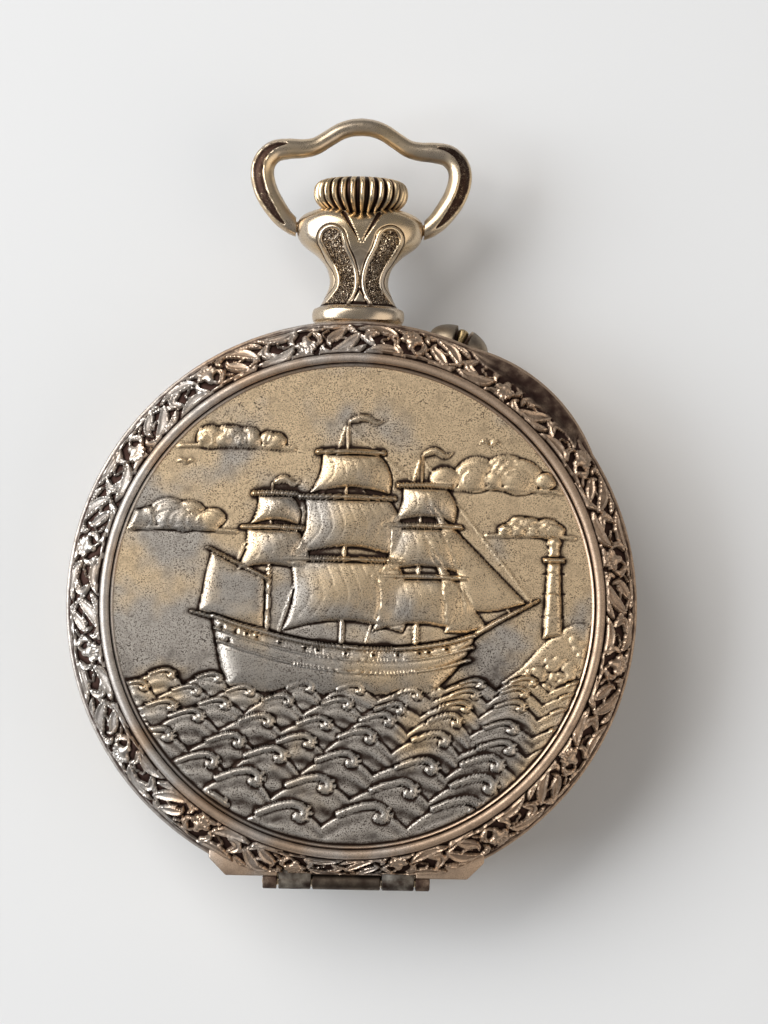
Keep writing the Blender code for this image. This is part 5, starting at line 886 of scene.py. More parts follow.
@dataclass
class BackRim:
    """The sloping rim of the back, with a ring moulding, chased flowers, a lip and the hinge flange."""

    frame: WatchFrame
    columns: int = 1500
    rows: int = 58
    repeats: int = 16
    inner: float = 21.10
    slope_start: float = 22.42
    slope_end: float = 25.02
    slope_low: float = 10.90
    slope_middle: float = 23.7
    slope_bulge: float = 0.16
    edge_radius: float = 25.38
    plain_wear: float = 0.46
    flange_edge: float = -24.05
    chord: float = 24.0
    flange_half: float = 12.2
    flange_corner: float = 1.5
    flange_back: float = -21.8
    flange_z: Point = (10.48, 11.03)
    lip_angle: float = 50.0
    lip_span: float = 33.0
    lip_reach: float = 0.75
    knuckle: float = 0.7
    knuckle_bore: float = 0.36
    relief_half: float = 6.15
    knuckle_end: float = 7.4
    # The reflection lean and gain lay on a painted reflection: a cooler tone towards the left, where the rim
    # reflects the cool light.
    reflection_lean: Point = (-0.040, 0.0)
    reflection_gain: float = 0.30

    def profile(self) -> tuple[list[Point], list[Point], list[Point]]:
        """Return the inner side with the ring, the slope, and the lip with the underside."""
        top = self.frame.ring_top / MM
        tube = [
            (21.52 + 0.42 * (1.0 - math.cos(a)), top - 0.36 + 0.38 * math.sin(a))
            for a in np.linspace(0.15, math.pi - 0.15, 9)]
        ring = [
            (self.inner, 11.80), (self.inner, 12.40), (21.22, 12.58), (21.34, 12.62), (21.44, 12.52),
            (21.50, 12.40), *tube, (self.slope_start - 0.02, 12.38)]
        low = self.slope_low
        edge = [
            (25.12, low - 0.02), (25.27, low - 0.05), (25.36, low - 0.14), (self.edge_radius, low - 0.26),
            (25.33, 10.50), (25.20, 10.44), (25.05, 10.43), (24.0, 10.43), (23.0, 10.43), (23.0, 11.20),
            (21.9, 11.55)]
        slope = [(self.slope_start, 12.40), (self.slope_end, low)]
        return ring, slope, edge

    def ornament(self, along: Array, across: Array, wide: float, around: float) -> Array:
        """Return the heights of the flowers, for places along the rim and across it in millimetres."""
        relief = Relief.over(along, across, -0.14)
        rng = np.random.default_rng(11)
        step = around / self.repeats
        for index in range(-1, self.repeats + 1):
            start = index * step
            bias = 0.18 * float(rng.uniform(-1.0, 1.0))
            self.spray(relief, start, step, wide, bias, 1.0 if index % 2 else -1.0)
        return relief.height

    def spray(
            self, relief: Relief, start: float, step: float, wide: float, bias: float, side: float) -> None:
        """Raise one repeat: a running stem with a scroll, one open flower, leaves and small buds.

        Args:
            relief: The rim's relief.
            start: Where the repeat starts along the rim.
            step: Its length.
            wide: The width of the slope.
            bias: A small shift that keeps repeats from being alike.
            side: Which way the stem swings, 1 or -1.
        """
        middle = wide / 2.0

        def spot(share: float, out: float) -> Point:
            """Return a place from its shares along the repeat and from the middle to an edge."""
            return start + share * step, middle + side * out * middle

        relief.strand([
            spot(-0.04, -0.10), spot(0.10, -0.62), spot(0.26, -0.80), spot(0.42, -0.62),
            spot(0.50, -0.20)], 0.13, 0.18, moat=0.05)
        relief.strand([
            spot(0.34, -0.74), spot(0.58, -0.86), spot(0.80, -0.62),
            spot(0.98, 0.02)], 0.12, 0.17, moat=0.04)
        for line in (
                ((0.66, -0.56), (0.74, -0.40), (0.78, -0.10), (0.72, 0.10)),
                ((0.28, -0.60), (0.34, -0.34), (0.32, 0.0)), ((0.94, 0.20), (0.92, 0.52), (0.84, 0.62)),
                ((0.10, 0.10), (0.17, 0.0), (0.22, 0.20))):
            relief.strand([spot(*point) for point in line], 0.11, 0.2, 0.4, moat=0.04)
        volute = [
            spot(0.72 + 0.115 * t * math.cos(5.2 * t), -0.05 + 0.62 * t * math.sin(5.2 * t))
            for t in np.linspace(1.0, 0.18, 9)]
        relief.strand(volute, 0.12, 0.17, 0.3, moat=0.04)
        leaves = [
            ((-0.02, -0.40), (0.05, 0.10), (0.14, 0.58), (0.30, 0.92), 0.52),
            ((0.10, -0.72), (0.19, -0.34), (0.28, 0.10), (0.27, 0.55), 0.46),
            ((0.56, -0.90), (0.68, -0.62), (0.82, -0.66), (0.96, -0.98), 0.44),
            ((0.62, 0.20), (0.71, 0.60), (0.85, 0.82), (1.02, 0.70), 0.50),
            ((0.84, -0.46), (0.91, -0.04), (0.90, 0.30), (0.78, 0.50), 0.38),
            ((0.02, -0.56), (0.11, -0.92), (0.23, -1.02), (0.36, -0.98), 0.34),
            ((0.33, 0.30), (0.36, 0.66), (0.30, 0.92), (0.20, 1.04), 0.30),
            ((0.44, -0.62), (0.38, -0.30), (0.37, 0.02), (0.42, 0.40), 0.28),
            ((0.56, -0.70), (0.63, -0.40), (0.64, -0.08), (0.60, 0.30), 0.28),
            ((-0.08, 0.44), (0.00, 0.74), (0.08, 0.92), (0.18, 1.02), 0.30),
            ((0.44, 0.98), (0.52, 0.80), (0.60, 0.78), (0.68, 0.96), 0.24),
        ]
        for *line, half in leaves:
            points = [spot(share + 0.02 * bias, out + 0.3 * bias) for share, out in line]
            relief.leaf(points, half, 0.24, moat=0.06, fat=0.85, hollow=0.17)
        self.flower(relief, spot(0.50 + 0.03 * bias, 0.10), side, 1.3, 0.4 * bias)
        for share, out in ((0.385, 0.92), (0.66, 0.90), (1.02, 0.40)):
            relief.dome(spot(share, out), (0.17, 0.17), 0.22, moat=0.05)

    @staticmethod
    def flower(relief: Relief, centre: Point, side: float, size: float, lean: float) -> None:
        """Raise a flower seen from the side: a cup, and toothed petals fanned out above it."""
        for step in range(-3, 4):
            angle = side * (math.pi / 2.0) + lean + step * 0.40
            reach = size * (0.98 - 0.05 * abs(step))
            far = (centre[0] + reach * math.cos(angle), centre[1] + reach * math.sin(angle))
            near = (centre[0] + 0.12 * math.cos(angle), centre[1] + 0.12 * math.sin(angle))
            mid = ((far[0] + near[0]) / 2.0, (far[1] + near[1]) / 2.0)
            relief.leaf([near, mid, far], 0.22 * size, 0.30, moat=0.05, vein=0.12, fat=1.25)
        relief.dome((centre[0], centre[1] + side * 0.08), (0.40 * size, 0.34 * size), 0.36, moat=0.05)
        relief.dome(
            (centre[0], centre[1] - side * 0.26 * size), (0.26 * size, 0.30 * size), 0.30, moat=0.03)

    def build(self) -> Piece:
        """Return the finished rim."""
        ring, slope, edge = self.profile()
        slope_rows = self.rows - len(ring) - len(edge) + 1
        shares = np.linspace(0.0, 1.0, slope_rows)
        wide = math.hypot(slope[1][0] - slope[0][0], slope[1][1] - slope[0][1])
        out = np.array([slope[0][1] - slope[1][1], slope[1][0] - slope[0][0]]) / wide
        bow = self.slope_bulge * 4.0 * shares * (1.0 - shares)
        middle = np.outer(1.0 - shares, slope[0]) + np.outer(shares, slope[1]) + np.outer(bow, out)
        line = np.vstack([ring, middle, edge])
        first, last = len(ring), len(ring) + slope_rows
        angles = angles_round(self.columns)
        around = TURN * self.slope_middle
        along, across = np.meshgrid(angles * self.slope_middle, shares * wide, indexing="ij")
        chased = self.ornament(along.ravel(), across.ravel(), wide, around).reshape(along.shape)
        fade = unit(np.minimum(shares, 1.0 - shares) * wide / 0.16)
        swell = self.swell(angles)
        plain = 1.0 - np.outer(swell ** 0.5, unit((shares - 0.55) / 0.2))
        chased = chased * fade * plain
        wear = np.full((self.columns, len(line)), self.plain_wear)
        wear[:, first:last] = unit(wear_of(chased, 6, (True, False), 1.8, 1.9) - 0.14)
        wear[:, first:last] = wear[:, first:last] * plain + 0.2 * (1.0 - plain)
        for row, value in (
                (2, 0.75), (3, 0.9), (4, 0.35), (5, 0.02), (6, 0.2), (first - 2, 0.3), (first - 1, 0.02)):
            wear[:, row] = value
        wear[:, last:] = self.plain_wear + 0.4 * swell[:, None]
        wear[:, last] = 0.24
        radius = np.tile(line[:, 0], (self.columns, 1))
        height = np.tile(line[:, 1], (self.columns, 1))
        radius[:, first:last] += chased * out[0]
        height[:, first:last] += chased * out[1]
        spots = self.place(angles, radius, height, last)
        shape = self.weave(spots, wear)
        # Painted reflection: a cooler silver tone is laid on towards the left side.
        whole = reflection_tinted(merge(shape, self.flange(), *self.knuckles()), self.reflection_lean, self.reflection_gain, -0.30)
        return piece("back_cover_rim", whole, Finishes.CHASED, "back_cover")

    def swell(self, angles: Array) -> Array:
        """Return how far the thumb lip is drawn out at each angle, from 0 to 1."""
        reach = (np.degrees(angles) - self.lip_angle + 180.0) % 360.0 - 180.0
        return unit(1.0 - np.square(reach / (self.lip_span / 2.0)))

    def place(self, angles: Array, radius: Array, height: Array, last: int) -> Array:
        """Return the rim's points in millimetres, with the thumb lip drawn out and the hinge kept clear."""
        rows = radius.shape[1]
        edge = unit((np.arange(rows) - last + 4.0) / 4.0) * (np.arange(rows) < rows - 4)
        radius = radius + self.lip_reach * np.outer(self.swell(angles), edge)
        straight = np.where(np.sin(angles) < -0.5, self.chord / np.maximum(-np.sin(angles), 0.5), 99.0)
        share = np.minimum(
            1.0, (straight - self.slope_start) / (self.edge_radius - self.slope_start))[:, None]
        radius = np.where(
            radius > self.slope_start, self.slope_start + (radius - self.slope_start) * share, radius)
        x = radius * np.cos(angles)[:, None]
        y = radius * np.sin(angles)[:, None]
        axis = self.frame.joints["back_cover_hinge"] / MM
        far_y, far_z = y - axis.y, height - axis.z
        far = np.hypot(far_y, far_z)
        under = np.arange(height.shape[1]) >= height.shape[1] - 6
        clear = np.where(under, 0.78, 0.88)[None, :]
        close = (np.abs(x) < self.relief_half) & (far < clear)
        grow = np.where(close, clear / np.maximum(far, 1e-6), 1.0)
        y = axis.y + far_y * grow
        height = np.where(close, axis.z + np.abs(far_z) * grow, height)
        return np.stack([x, y, height], 2)

    @staticmethod
    def weave(spots: Array, wear: Array) -> Shape:
        """Return a closed ring woven through points given column by column."""
        columns, rows = wear.shape

        def index(u: Array, v: Array) -> tuple[Array, Array]:
            """Return the column and the row of each point of the grid."""
            return np.rint(u * columns).astype(int) % columns, np.rint(v * rows).astype(int) % rows

        shape = tread(columns, rows, lambda u, v: spots[index(u, v)] * MM, lambda u, v: wear[index(u, v)])
        return closed_up(shape, 2e-8)

    def flange(self) -> Shape:
        """Return the straight flange of the hinge, in two ends that clear the middle knuckles."""
        made = bmesh.new()
        for side in SIDES:
            inner, outer, corner = self.relief_half, self.flange_half, self.flange_corner
            outline = [
                (inner, self.flange_back), (outer, self.flange_back), (outer, self.flange_edge + corner),
                (outer - corner, self.flange_edge), (inner, self.flange_edge)]
            verts = [made.verts.new((side * x * MM, y * MM, self.flange_z[0] * MM)) for x, y in outline]
            face = made.faces.new(verts)
            grown = bmesh.ops.extrude_face_region(made, geom=[face])
            risen = [g for g in grown["geom"] if isinstance(g, bmesh.types.BMVert)]
            thick = self.flange_z[1] - self.flange_z[0]
            bmesh.ops.translate(made, verts=risen, vec=(0.0, 0.0, thick * MM))
        bmesh.ops.bevel(
            made, geom=list(made.edges), offset=0.12 * MM, segments=3, profile=0.5, affect="EDGES",
            material=-1)
        bmesh.ops.recalc_face_normals(made, faces=made.faces)
        return even_wear(made, self.plain_wear)

    def knuckles(self) -> list[Shape]:
        """Return the cover's two hinge knuckles, painted dark as shade."""
        axis = self.frame.joints["back_cover_hinge"]
        sizes, start, end = (self.knuckle, self.knuckle_bore), self.relief_half, self.knuckle_end
        # Painted shade: the knuckles get a low wear so the hinge reads dark, as in shadow under the flange.
        return [even_wear(tube(*sizes, side * start, side * end, axis), 0.22) for side in SIDES]


def tube(outer: float, bore: float, start: float, end: float, axis: Vector) -> Shape:
    """Return a bored knuckle along X.

    Args:
        outer: Its radius in millimetres.
        bore: The radius of its hole.
        start: Where it starts along X.
        end: Where it ends.
        axis: A point on the hinge axis, in metres.

    Returns:
        The knuckle.
    """
    low, high = min(start, end), max(start, end)
    soft = 0.08
    profile = [
        (outer, low + soft), (outer, high - soft), (outer - soft, high), (bore, high), (bore, low),
        (outer - soft, low)]
    shape = spun(metres(profile), 24, closed=True)
    return along_hinge(shape, axis)


def along_hinge(shape: Shape, axis: Vector) -> Shape:
    """Lay a shape that stands on the case axis along a hinge, given a point on the hinge axis in metres."""
    bmesh.ops.rotate(
        shape, verts=shape.verts, cent=(0.0, 0.0, 0.0), matrix=Matrix.Rotation(math.pi / 2.0, 3, "Y"))
    bmesh.ops.translate(shape, verts=shape.verts, vec=(0.0, axis.y, axis.z))
    return shape


@dataclass
class Medallion:
    """The struck picture in the middle of the back: a ship under sail off a headland."""

    cells: int = 304
    radius: float = 21.14
    field_z: float = 12.45
    crown_rise: float = 0.25
    under_z: float = 11.78
    under_rise: float = 0.17
    # painted_low_shade: how far the lower field is darkened as painted shade.
    painted_low_shade: float = 0.26
    edge_soft: float = 0.35
    back_wear: float = 0.85
    lining_steps: int = 240
    # The reflection lean and gain lay on a painted reflection: a cooler tone towards the left and the
    # bottom.
    reflection_lean: Point = (-0.026, -0.040)
    reflection_gain: float = 0.17

    def build(self) -> Piece:
        """Return the finished plate."""
        made: dict[str, Array] = {}

        def lay(u: Array, v: Array) -> Array:
            """Return the points of the plate's face, and keep their wear with a painted shade towards the
            bottom.
            """
            x, y = self.to_disc(2.0 * u - 1.0, 2.0 * v - 1.0)
            height = self.picture(x * self.radius, y * self.radius)
            edge = unit((1.0 - np.hypot(x, y)) * self.radius / self.edge_soft)
            height = height * edge
            order = np.lexsort((u, v))
            side = self.cells + 1
            grid = height[order].reshape(side, side)
            worn = np.empty(len(u))
            worn[order] = wear_of(grid, 9, (False, False), 2.6, 0.55).ravel()
            # Painted shade: the wear is lowered towards the bottom of the field so that the lower field
            # reads as in shade.
            made["wear"] = worn - self.painted_low_shade * unit((-y * self.radius - 3.0) / 9.0)
            z = self.field_z + self.crown_rise * (1.0 - np.square(np.hypot(x, y))) + height
            return np.stack([x * self.radius, y * self.radius, z], 1) * MM

        shape = tread(self.cells, self.cells, lay, lambda u, v: made["wear"])
        self.close(shape)
        self.lining()
        return piece("back_medallion", shape, Finishes.FIELD, "back_cover", crease=60.0)

    def lining(self) -> Piece:
        """Return the smooth inside of the cover, a skin under the struck plate."""
        edge, skin = self.radius - 0.1, 0.02
        face = [
            (edge * share, self.under_z + self.under_rise * (1.0 - share ** 2) - skin)
            for share in np.linspace(0.0, 1.0, 9)]
        back = [(radius, height - skin) for radius, height in reversed(face)]
        shape = spun(metres(face + back), self.lining_steps)
        return piece("cover_lining", even_wear(shape, 0.72), Finishes.PLATE_CASE, "back_cover")

    @staticmethod
    def to_disc(a: Array, b: Array) -> tuple[Array, Array]:
        """Return the places on a round disc for places on a square, without pinching the middle."""
        flat = np.abs(a) >= np.abs(b)
        reach = np.where(flat, a, b)
        share = np.where(flat, b, a) / np.where(np.abs(reach) < 1e-12, 1.0, reach)
        angle = share * math.pi / 4.0
        x = np.where(flat, reach * np.cos(angle), reach * np.sin(angle))
        y = np.where(flat, reach * np.sin(angle), reach * np.cos(angle))
        return x, y

    def close(self, shape: Shape) -> None:
        """Give the plate its side and its smooth, slightly dished underside."""
        layer = shape.verts.layers.float[WEAR_AND_SHADE]
        border = [edge for edge in shape.edges if edge.is_boundary]
        for share in (1.0, 0.75, 0.45, 0.15, 0.0):
            grown = bmesh.ops.extrude_edge_only(shape, edges=border)["geom"]
            border = [
                item for item in grown
                if isinstance(item, bmesh.types.BMEdge) and len(item.link_faces) == 1]
            level = (self.under_z + self.under_rise * (1.0 - share ** 2)) * MM
            for vert in {vert for edge in border for vert in edge.verts}:
                flat = Vector((vert.co.x, vert.co.y)).normalized() * (share * self.radius * MM)
                vert.co = (flat.x, flat.y, level)
                vert[layer] = self.back_wear
        closed_up(shape, 1e-8)
        # Painted reflection: the cooler tone leans towards the left and the bottom of the plate.
        reflection_tinted(shape, self.reflection_lean, self.reflection_gain, 0.1)

    def picture(self, x: Array, y: Array) -> Array:
        """Return the heights of the picture in millimetres."""
        relief = Relief.over(x, y, 0.0)
        self.sky(relief)
        self.headland(relief)
        self.sea(relief, 0, 1)
        self.ship(relief)
        self.sea(relief, 1, 8)
        return relief.height

    @staticmethod
    def sky(relief: Relief) -> None:
        """Raise low banks of cloud and a few gulls."""
        rng = np.random.default_rng(5)
        banks = [
            (-15.6, 7.2, 3.4, 1.5), (12.6, 11.4, 4.0, 1.7), (-10.6, 14.4, 3.4, 1.1), (15.6, 7.0, 2.6, 1.0)]
        for centre_x, centre_y, wide, tall in banks:
            for row, (count, level, size) in enumerate(
                    ((2, 0.72, 0.82), (3, 0.34, 0.80), (5, -0.02, 0.56))):
                for share in np.linspace(-1.0, 1.0, count):
                    spread = wide * (0.38 + 0.30 * row)
                    puff = size * tall * float(rng.uniform(0.70, 1.25))
                    drift = 0.5 * tall * float(rng.uniform(-1.0, 1.0))
                    spot = (
                        centre_x + share * spread + drift,
                        centre_y + level * tall * (1.0 - 0.5 * share ** 2))
                    relief.dome(spot, (1.25 * puff, puff), 0.30, 0.0, 0.04 * row, 0.07)
            relief.strand([
                (centre_x - 1.5 * wide, centre_y - 0.55 * tall), (centre_x, centre_y - 0.42 * tall),
                (centre_x + 1.5 * wide, centre_y - 0.6 * tall)], 0.20, 0.14, 0.0, 0.0, 0.03)
        for gull_x, gull_y, span in ((11.8, 14.4, 0.95), (13.9, 12.9, 0.7), (-15.0, 12.2, 0.8)):
            for side in SIDES:
                relief.leaf([
                    (gull_x, gull_y), (gull_x + side * 0.5 * span, gull_y + 0.45 * span),
                    (gull_x + side * span, gull_y + 0.15 * span)], 0.14, 0.14, moat=0.03)

    @staticmethod
    def headland(relief: Relief) -> None:
        """Raise a rocky shore with a light tower on it."""
        rng = np.random.default_rng(8)
        shore = [
            (22.0, -8.5), (22.0, -1.0), (19.6, -1.2), (18.0, -2.0), (16.4, -3.6), (15.0, -5.2),
            (13.4, -6.4), (12.6, -8.5)]
        relief.slab(shore, 0.20, 0.8, moat=0.05)
        for _ in range(46):
            across = float(rng.uniform(13.6, 20.5))
            low = -7.6 + 0.86 * max(across - 13.4, 0.0) * float(rng.uniform(0.0, 1.0))
            size = float(rng.uniform(0.35, 0.8))
            relief.dome((across, low), (size, 0.7 * size), 0.18, float(rng.uniform(-0.4, 0.4)), 0.14, 0.05)
        relief.slab([(16.85, -2.6), (18.55, -2.2), (18.25, 4.2), (17.15, 4.2)], 0.42, 0.5, moat=0.06)
        for level in (-0.6, 1.4, 3.2):
            relief.groove(np.array([(16.7, level), (18.7, level)]), 0.10, 0.4, 0.10, 0.06)
        relief.slab([(16.75, 4.2), (18.65, 4.2), (18.65, 4.6), (16.75, 4.6)], 0.52, 0.15, moat=0.05)
        relief.slab([(17.25, 4.7), (18.15, 4.7), (18.15, 5.8), (17.25, 5.8)], 0.34, 0.25)
        relief.dome((17.7, 5.95), (0.62, 0.5), 0.44, moat=0.04)
        relief.strand([(17.7, 6.2), (17.7, 7.1)], 0.10, 0.2)

    def sea(self, relief: Relief, first: int, last: int) -> None:
        """Raise rows of swells that overlap like tiles, larger towards the front."""
        for row in range(first, last):
            level, long, tall = self.swell(row)
            start = -24.0 + (row * 0.41 % 1.0) * long
            share = (relief.x - start) / long
            index = np.floor(share)
            share = share - index
            peak = 0.60 + 0.06 * np.sin(2.3 * index + row)
            side = np.where(share < peak, (share - peak) / peak, (share - peak) / (1.0 - peak))
            lift = tall * (1.0 + 0.25 * np.sin(1.7 * index + 2.1 * row))
            crest = level + lift * (1.0 - np.square(side)) - 0.25 * tall * np.square(relief.x / self.radius)
            under = crest - relief.y
            places = np.nonzero(under > -0.5)[0]
            depth = under[places]
            slope = unit(1.0 - depth / (3.4 * tall))
            swell = 0.10 + 0.34 * slope ** 1.4 * (0.62 + 0.38 * (1.0 - np.square(side[places])))
            ripple = 0.05 * np.cos(TURN * depth / (0.95 * tall)) * unit(depth / (0.6 * tall))
            swell += ripple * (slope > 0.0)
            ditch = bell(np.minimum(depth, 0.0) / 0.18) * (depth < 0.02)
            relief.height[places] = np.where(
                depth > 0.0, swell * rise(depth, 0.25), relief.height[places] - 0.12 * ditch)
            for count in range(int(-24.0 / long) - 1, int(48.0 / long) + 2):
                top = 0.60 + 0.06 * math.sin(2.3 * count + row)
                high = tall * (1.0 + 0.25 * math.sin(1.7 * count + 2.1 * row))
                x = start + (count + top) * long
                y = level + high - 0.25 * tall * (x / self.radius) ** 2
                if math.hypot(x, y) < self.radius + 1.0:
                    self.crest(relief, x, y, 0.9 * tall)

    @staticmethod
    def swell(row: int) -> Sizes:
        """Return the level, length and height of the swells of a row."""
        near = row * (row + 9.0) / 42.0
        return -7.2 - 4.6 * near, 4.6 + 1.1 * near, 0.95 + 0.38 * near

    @staticmethod
    def crest(relief: Relief, x: float, y: float, size: float) -> None:
        """Raise the foam that curls over the top of a swell."""
        curl = [
            (x - 1.5 * size, y - 0.30 * size), (x - 0.5 * size, y + 0.06 * size),
            (x + 0.35 * size, y + 0.16 * size), (x + 0.82 * size, y - 0.14 * size),
            (x + 0.74 * size, y - 0.52 * size), (x + 0.46 * size, y - 0.46 * size)]
        relief.strand(curl, 0.17 * size, 0.22, -0.35, 0.36, 0.07)
        for share, out in ((0.95, -0.55), (1.12, -0.30), (1.02, -0.02)):
            relief.dome(
                (x + share * size, y + out * size), (0.13 * size, 0.13 * size), 0.2, 0.0, 0.26, 0.03)
        for drop in (0.62, 0.95):
            relief.strand([
                (x - 0.9 * size, y - (drop + 0.34) * size), (x - 0.1 * size, y - drop * size),
                (x + 0.55 * size, y - (drop + 0.30) * size)], 0.09 * size, 0.07, 0.4, 0.28)

    def ship(self, relief: Relief) -> None:
        """Raise the ship, its far side first."""
        masts = [(-7.6, -2.6, 10.6, 0.22), (-1.0, -3.8, 16.2, 0.26), (5.6, -3.4, 13.4, 0.24)]
        self.stays(relief)
        for foot_x, low, top, half in masts:
            relief.strand([(foot_x, low), (foot_x + 0.25, top)], half, 0.26, 0.55, moat=0.04)
        sails = [
            (-7.3, 6.6, 2.9, 2.2, 3.1), (-7.1, 9.6, 7.0, 1.5, 2.1),
            (-0.9, 3.9, -2.3, 4.7, 5.3), (-0.7, 9.4, 4.4, 3.7, 4.6), (-0.5, 13.4, 9.9, 2.5, 3.5),
            (5.8, 2.5, -2.2, 3.7, 4.1), (6.0, 7.0, 3.0, 2.9, 3.6), (6.1, 10.6, 7.5, 1.9, 2.7),
        ]
        self.gaff_sail(relief)
        for middle, top, low, high_half, low_half in sails:
            self.square_sail(relief, middle, top, low, high_half, low_half)
        for corners in ([(6.3, 9.4), (15.3, 0.5), (9.9, -0.4)], [(6.4, 5.8), (11.9, -1.7), (8.2, -2.2)]):
            self.jib(relief, corners)
        self.hull(relief)
        for start, tip in (((-7.3, 10.7), 2.6), ((-0.7, 16.3), 3.4), ((5.9, 13.5), 2.8)):
            relief.leaf([
                start, (start[0] + 0.4 * tip, start[1] + 0.35), (start[0] + 0.7 * tip, start[1] - 0.1),
                (start[0] + tip, start[1] + 0.25)], 0.30, 0.24, moat=0.05, fat=0.6)

    @staticmethod
    def stays(relief: Relief) -> None:
        """Raise the thin lines of the rigging."""
        lines = [
            ((5.9, 13.0), (15.9, 0.5)), ((5.9, 10.8), (14.0, -0.5)), ((-0.8, 15.8), (5.8, 10.5)),
            ((-0.8, 12.0), (5.6, 4.0)), ((-7.4, 10.2), (-1.0, 6.0)), ((-7.4, 10.2), (-12.3, -0.8)),
            ((-1.0, 15.8), (-6.6, -2.6)), ((5.6, 13.0), (1.2, -3.2))]
        for start, end in lines:
            relief.strand([start, end], 0.10, 0.10)

    @staticmethod
    def square_sail(
            relief: Relief, middle: float, top: float, low: float, high_half: float,
            low_half: float) -> None:
        """Raise one filled square sail with its yard.

        Args:
            relief: The picture's relief.
            middle: Where the middle of its head is.
            top: The height of its head.
            low: The height of its foot at the corners.
            high_half: Half the length of its head.
            low_half: Half the length of its foot.
        """
        tall, grow = top - low, low_half - high_half
        shares = np.linspace(0.0, 1.0, 9)
        left = [
            (middle - high_half - grow * s + 0.10 * tall * math.sin(math.pi * s), top - tall * s)
            for s in shares]
        foot = [
            (middle - low_half + 2.0 * low_half * s, low + 0.16 * tall * math.sin(math.pi * s))
            for s in shares[1:-1]]
        right = [
            (middle + high_half + grow * s + 0.16 * tall * math.sin(math.pi * s), top - tall * s)
            for s in shares[::-1]]
        corners = np.array(left + foot + right, dtype=float)
        places, depth = relief.polygon_depth(corners)
        down = unit((top - relief.y[places]) / tall)
        half = high_half + grow * down
        across = np.clip((relief.x[places] - middle) / half, -1.0, 1.0)
        swell = 0.42 * np.sin(math.pi * down ** 0.8) * (1.0 - np.square(across - 0.2))
        relief.lift(places, depth, 0.24, 0.55, 0.12, np.maximum(swell, 0.0))
        cloths = max(4, int(2.0 * low_half / 1.15))
        for index in range(1, cloths):
            share = 2.0 * index / cloths - 1.0
            line = [
                (middle + share * high_half, top - 0.3),
                (middle + share * 0.5 * (high_half + low_half) + 0.16 * tall, (top + low) / 2.0),
                (middle + share * low_half, low + 0.2 + 0.13 * tall)]
            relief.groove(smooth_line(line, 4), 0.09, 0.3, 0.035, 0.09)
        relief.strand([
            (middle - high_half - 0.45, top + 0.12), (middle, top + 0.2),
            (middle + high_half + 0.45, top + 0.12)], 0.20, 0.30, 0.0, 0.22, 0.05)

    @staticmethod
    def gaff_sail(relief: Relief) -> None:
        """Raise the fore-and-aft sail at the stern with its two spars."""
        relief.slab([
            (-7.9, 2.3), (-10.0, 3.2), (-12.6, 4.5), (-13.1, 2.0), (-13.6, -0.7), (-10.5, -1.7),
            (-7.9, -2.2)], 0.34, 1.1, moat=0.1)
        relief.strand([(-7.6, 2.2), (-13.0, 4.9)], 0.17, 0.26, 0.3, 0.2, 0.04)
        relief.strand([(-7.6, -2.4), (-14.3, -0.8)], 0.17, 0.26, 0.3, 0.2, 0.04)

    @staticmethod
    def jib(relief: Relief, corners: Sequence[Point]) -> None:
        """Raise one three-cornered head sail."""
        head, tack, clew = (np.array(corner) for corner in corners)
        belly = np.array((0.5, 0.2))
        leech = [tuple(head + (clew - head) * s + belly * math.sin(math.pi * s)) for s in (0.25, 0.5, 0.75)]
        outline = [
            tuple(head), tuple(tack), tuple((tack + clew) / 2.0 + np.array((0.0, -0.25))), tuple(clew),
            *leech[::-1]]
        relief.slab(outline, 0.34, 0.9, moat=0.1)

    @staticmethod
    def hull(relief: Relief) -> None:
        """Raise the hull with its rails, ports, stern windows and bowsprit."""
        relief.strand([(10.2, -2.7), (13.0, -1.0), (16.4, 0.8)], 0.24, 0.34, 0.5, 0.1, 0.06)
        sheer = smooth_line([
            (-12.4, -1.0), (-8.4, -2.2), (-3.0, -3.3), (3.0, -3.6), (7.6, -3.1), (10.9, -2.2)], 5)
        keel = smooth_line([
            (10.9, -2.2), (10.1, -4.2), (8.3, -6.4), (6.2, -7.6), (-2.0, -7.9), (-9.6, -7.6), (-11.3, -6.3),
            (-12.4, -1.0)], 5)
        relief.slab([tuple(p) for p in np.vstack([sheer, keel[1:-1]])], 0.72, 2.0, moat=0.14)
        for drop, half in ((0.18, 0.16), (1.25, 0.13), (2.35, 0.13)):
            line = [(float(p[0]) * (1.0 - 0.02 * drop), float(p[1]) - drop) for p in sheer]
            relief.strand(line, half, 0.12, 0.0, 0.56 + 0.07 * drop, 0.06, 2)
        for share in np.linspace(0.16, 0.86, 11):
            spot = sheer[int(share * (len(sheer) - 1))]
            x, y = float(spot[0]), float(spot[1]) - 0.72
            relief.slab(oblong(x, y, 0.26, 0.24), 0.06, 0.05, 0.56, 0.05)
            relief.recess(oblong(x, y, 0.17, 0.15), 0.34, 0.06)
        for x, y in ((-11.5, -2.2), (-10.9, -3.3), (-10.3, -2.5)):
            relief.recess(oblong(x, y, 0.2, 0.28), 0.24, 0.08)


def woven(spots: Array, wear: Array) -> Shape:
    """Return a tube through rings of points, with both ends closed.

    Args:
        spots: Points in millimetres, ring by ring, each ring closing on itself.
        wear: The wear of each point.

    Returns:
        The tube.
    """
    rings, around = wear.shape

    def index(u: Array, v: Array) -> tuple[Array, Array]:
        """Return the ring of each point and its place on that ring."""
        return np.rint(u * (rings - 1)).astype(int), np.rint(v * around).astype(int) % around

    shape = tread(rings - 1, around, lambda u, v: spots[index(u, v)] * MM, lambda u, v: wear[index(u, v)])
    bmesh.ops.remove_doubles(shape, verts=shape.verts, dist=2e-8)
    bmesh.ops.holes_fill(shape, edges=[edge for edge in shape.edges if edge.is_boundary], sides=0)
    bmesh.ops.recalc_face_normals(shape, faces=shape.faces)
    return shape


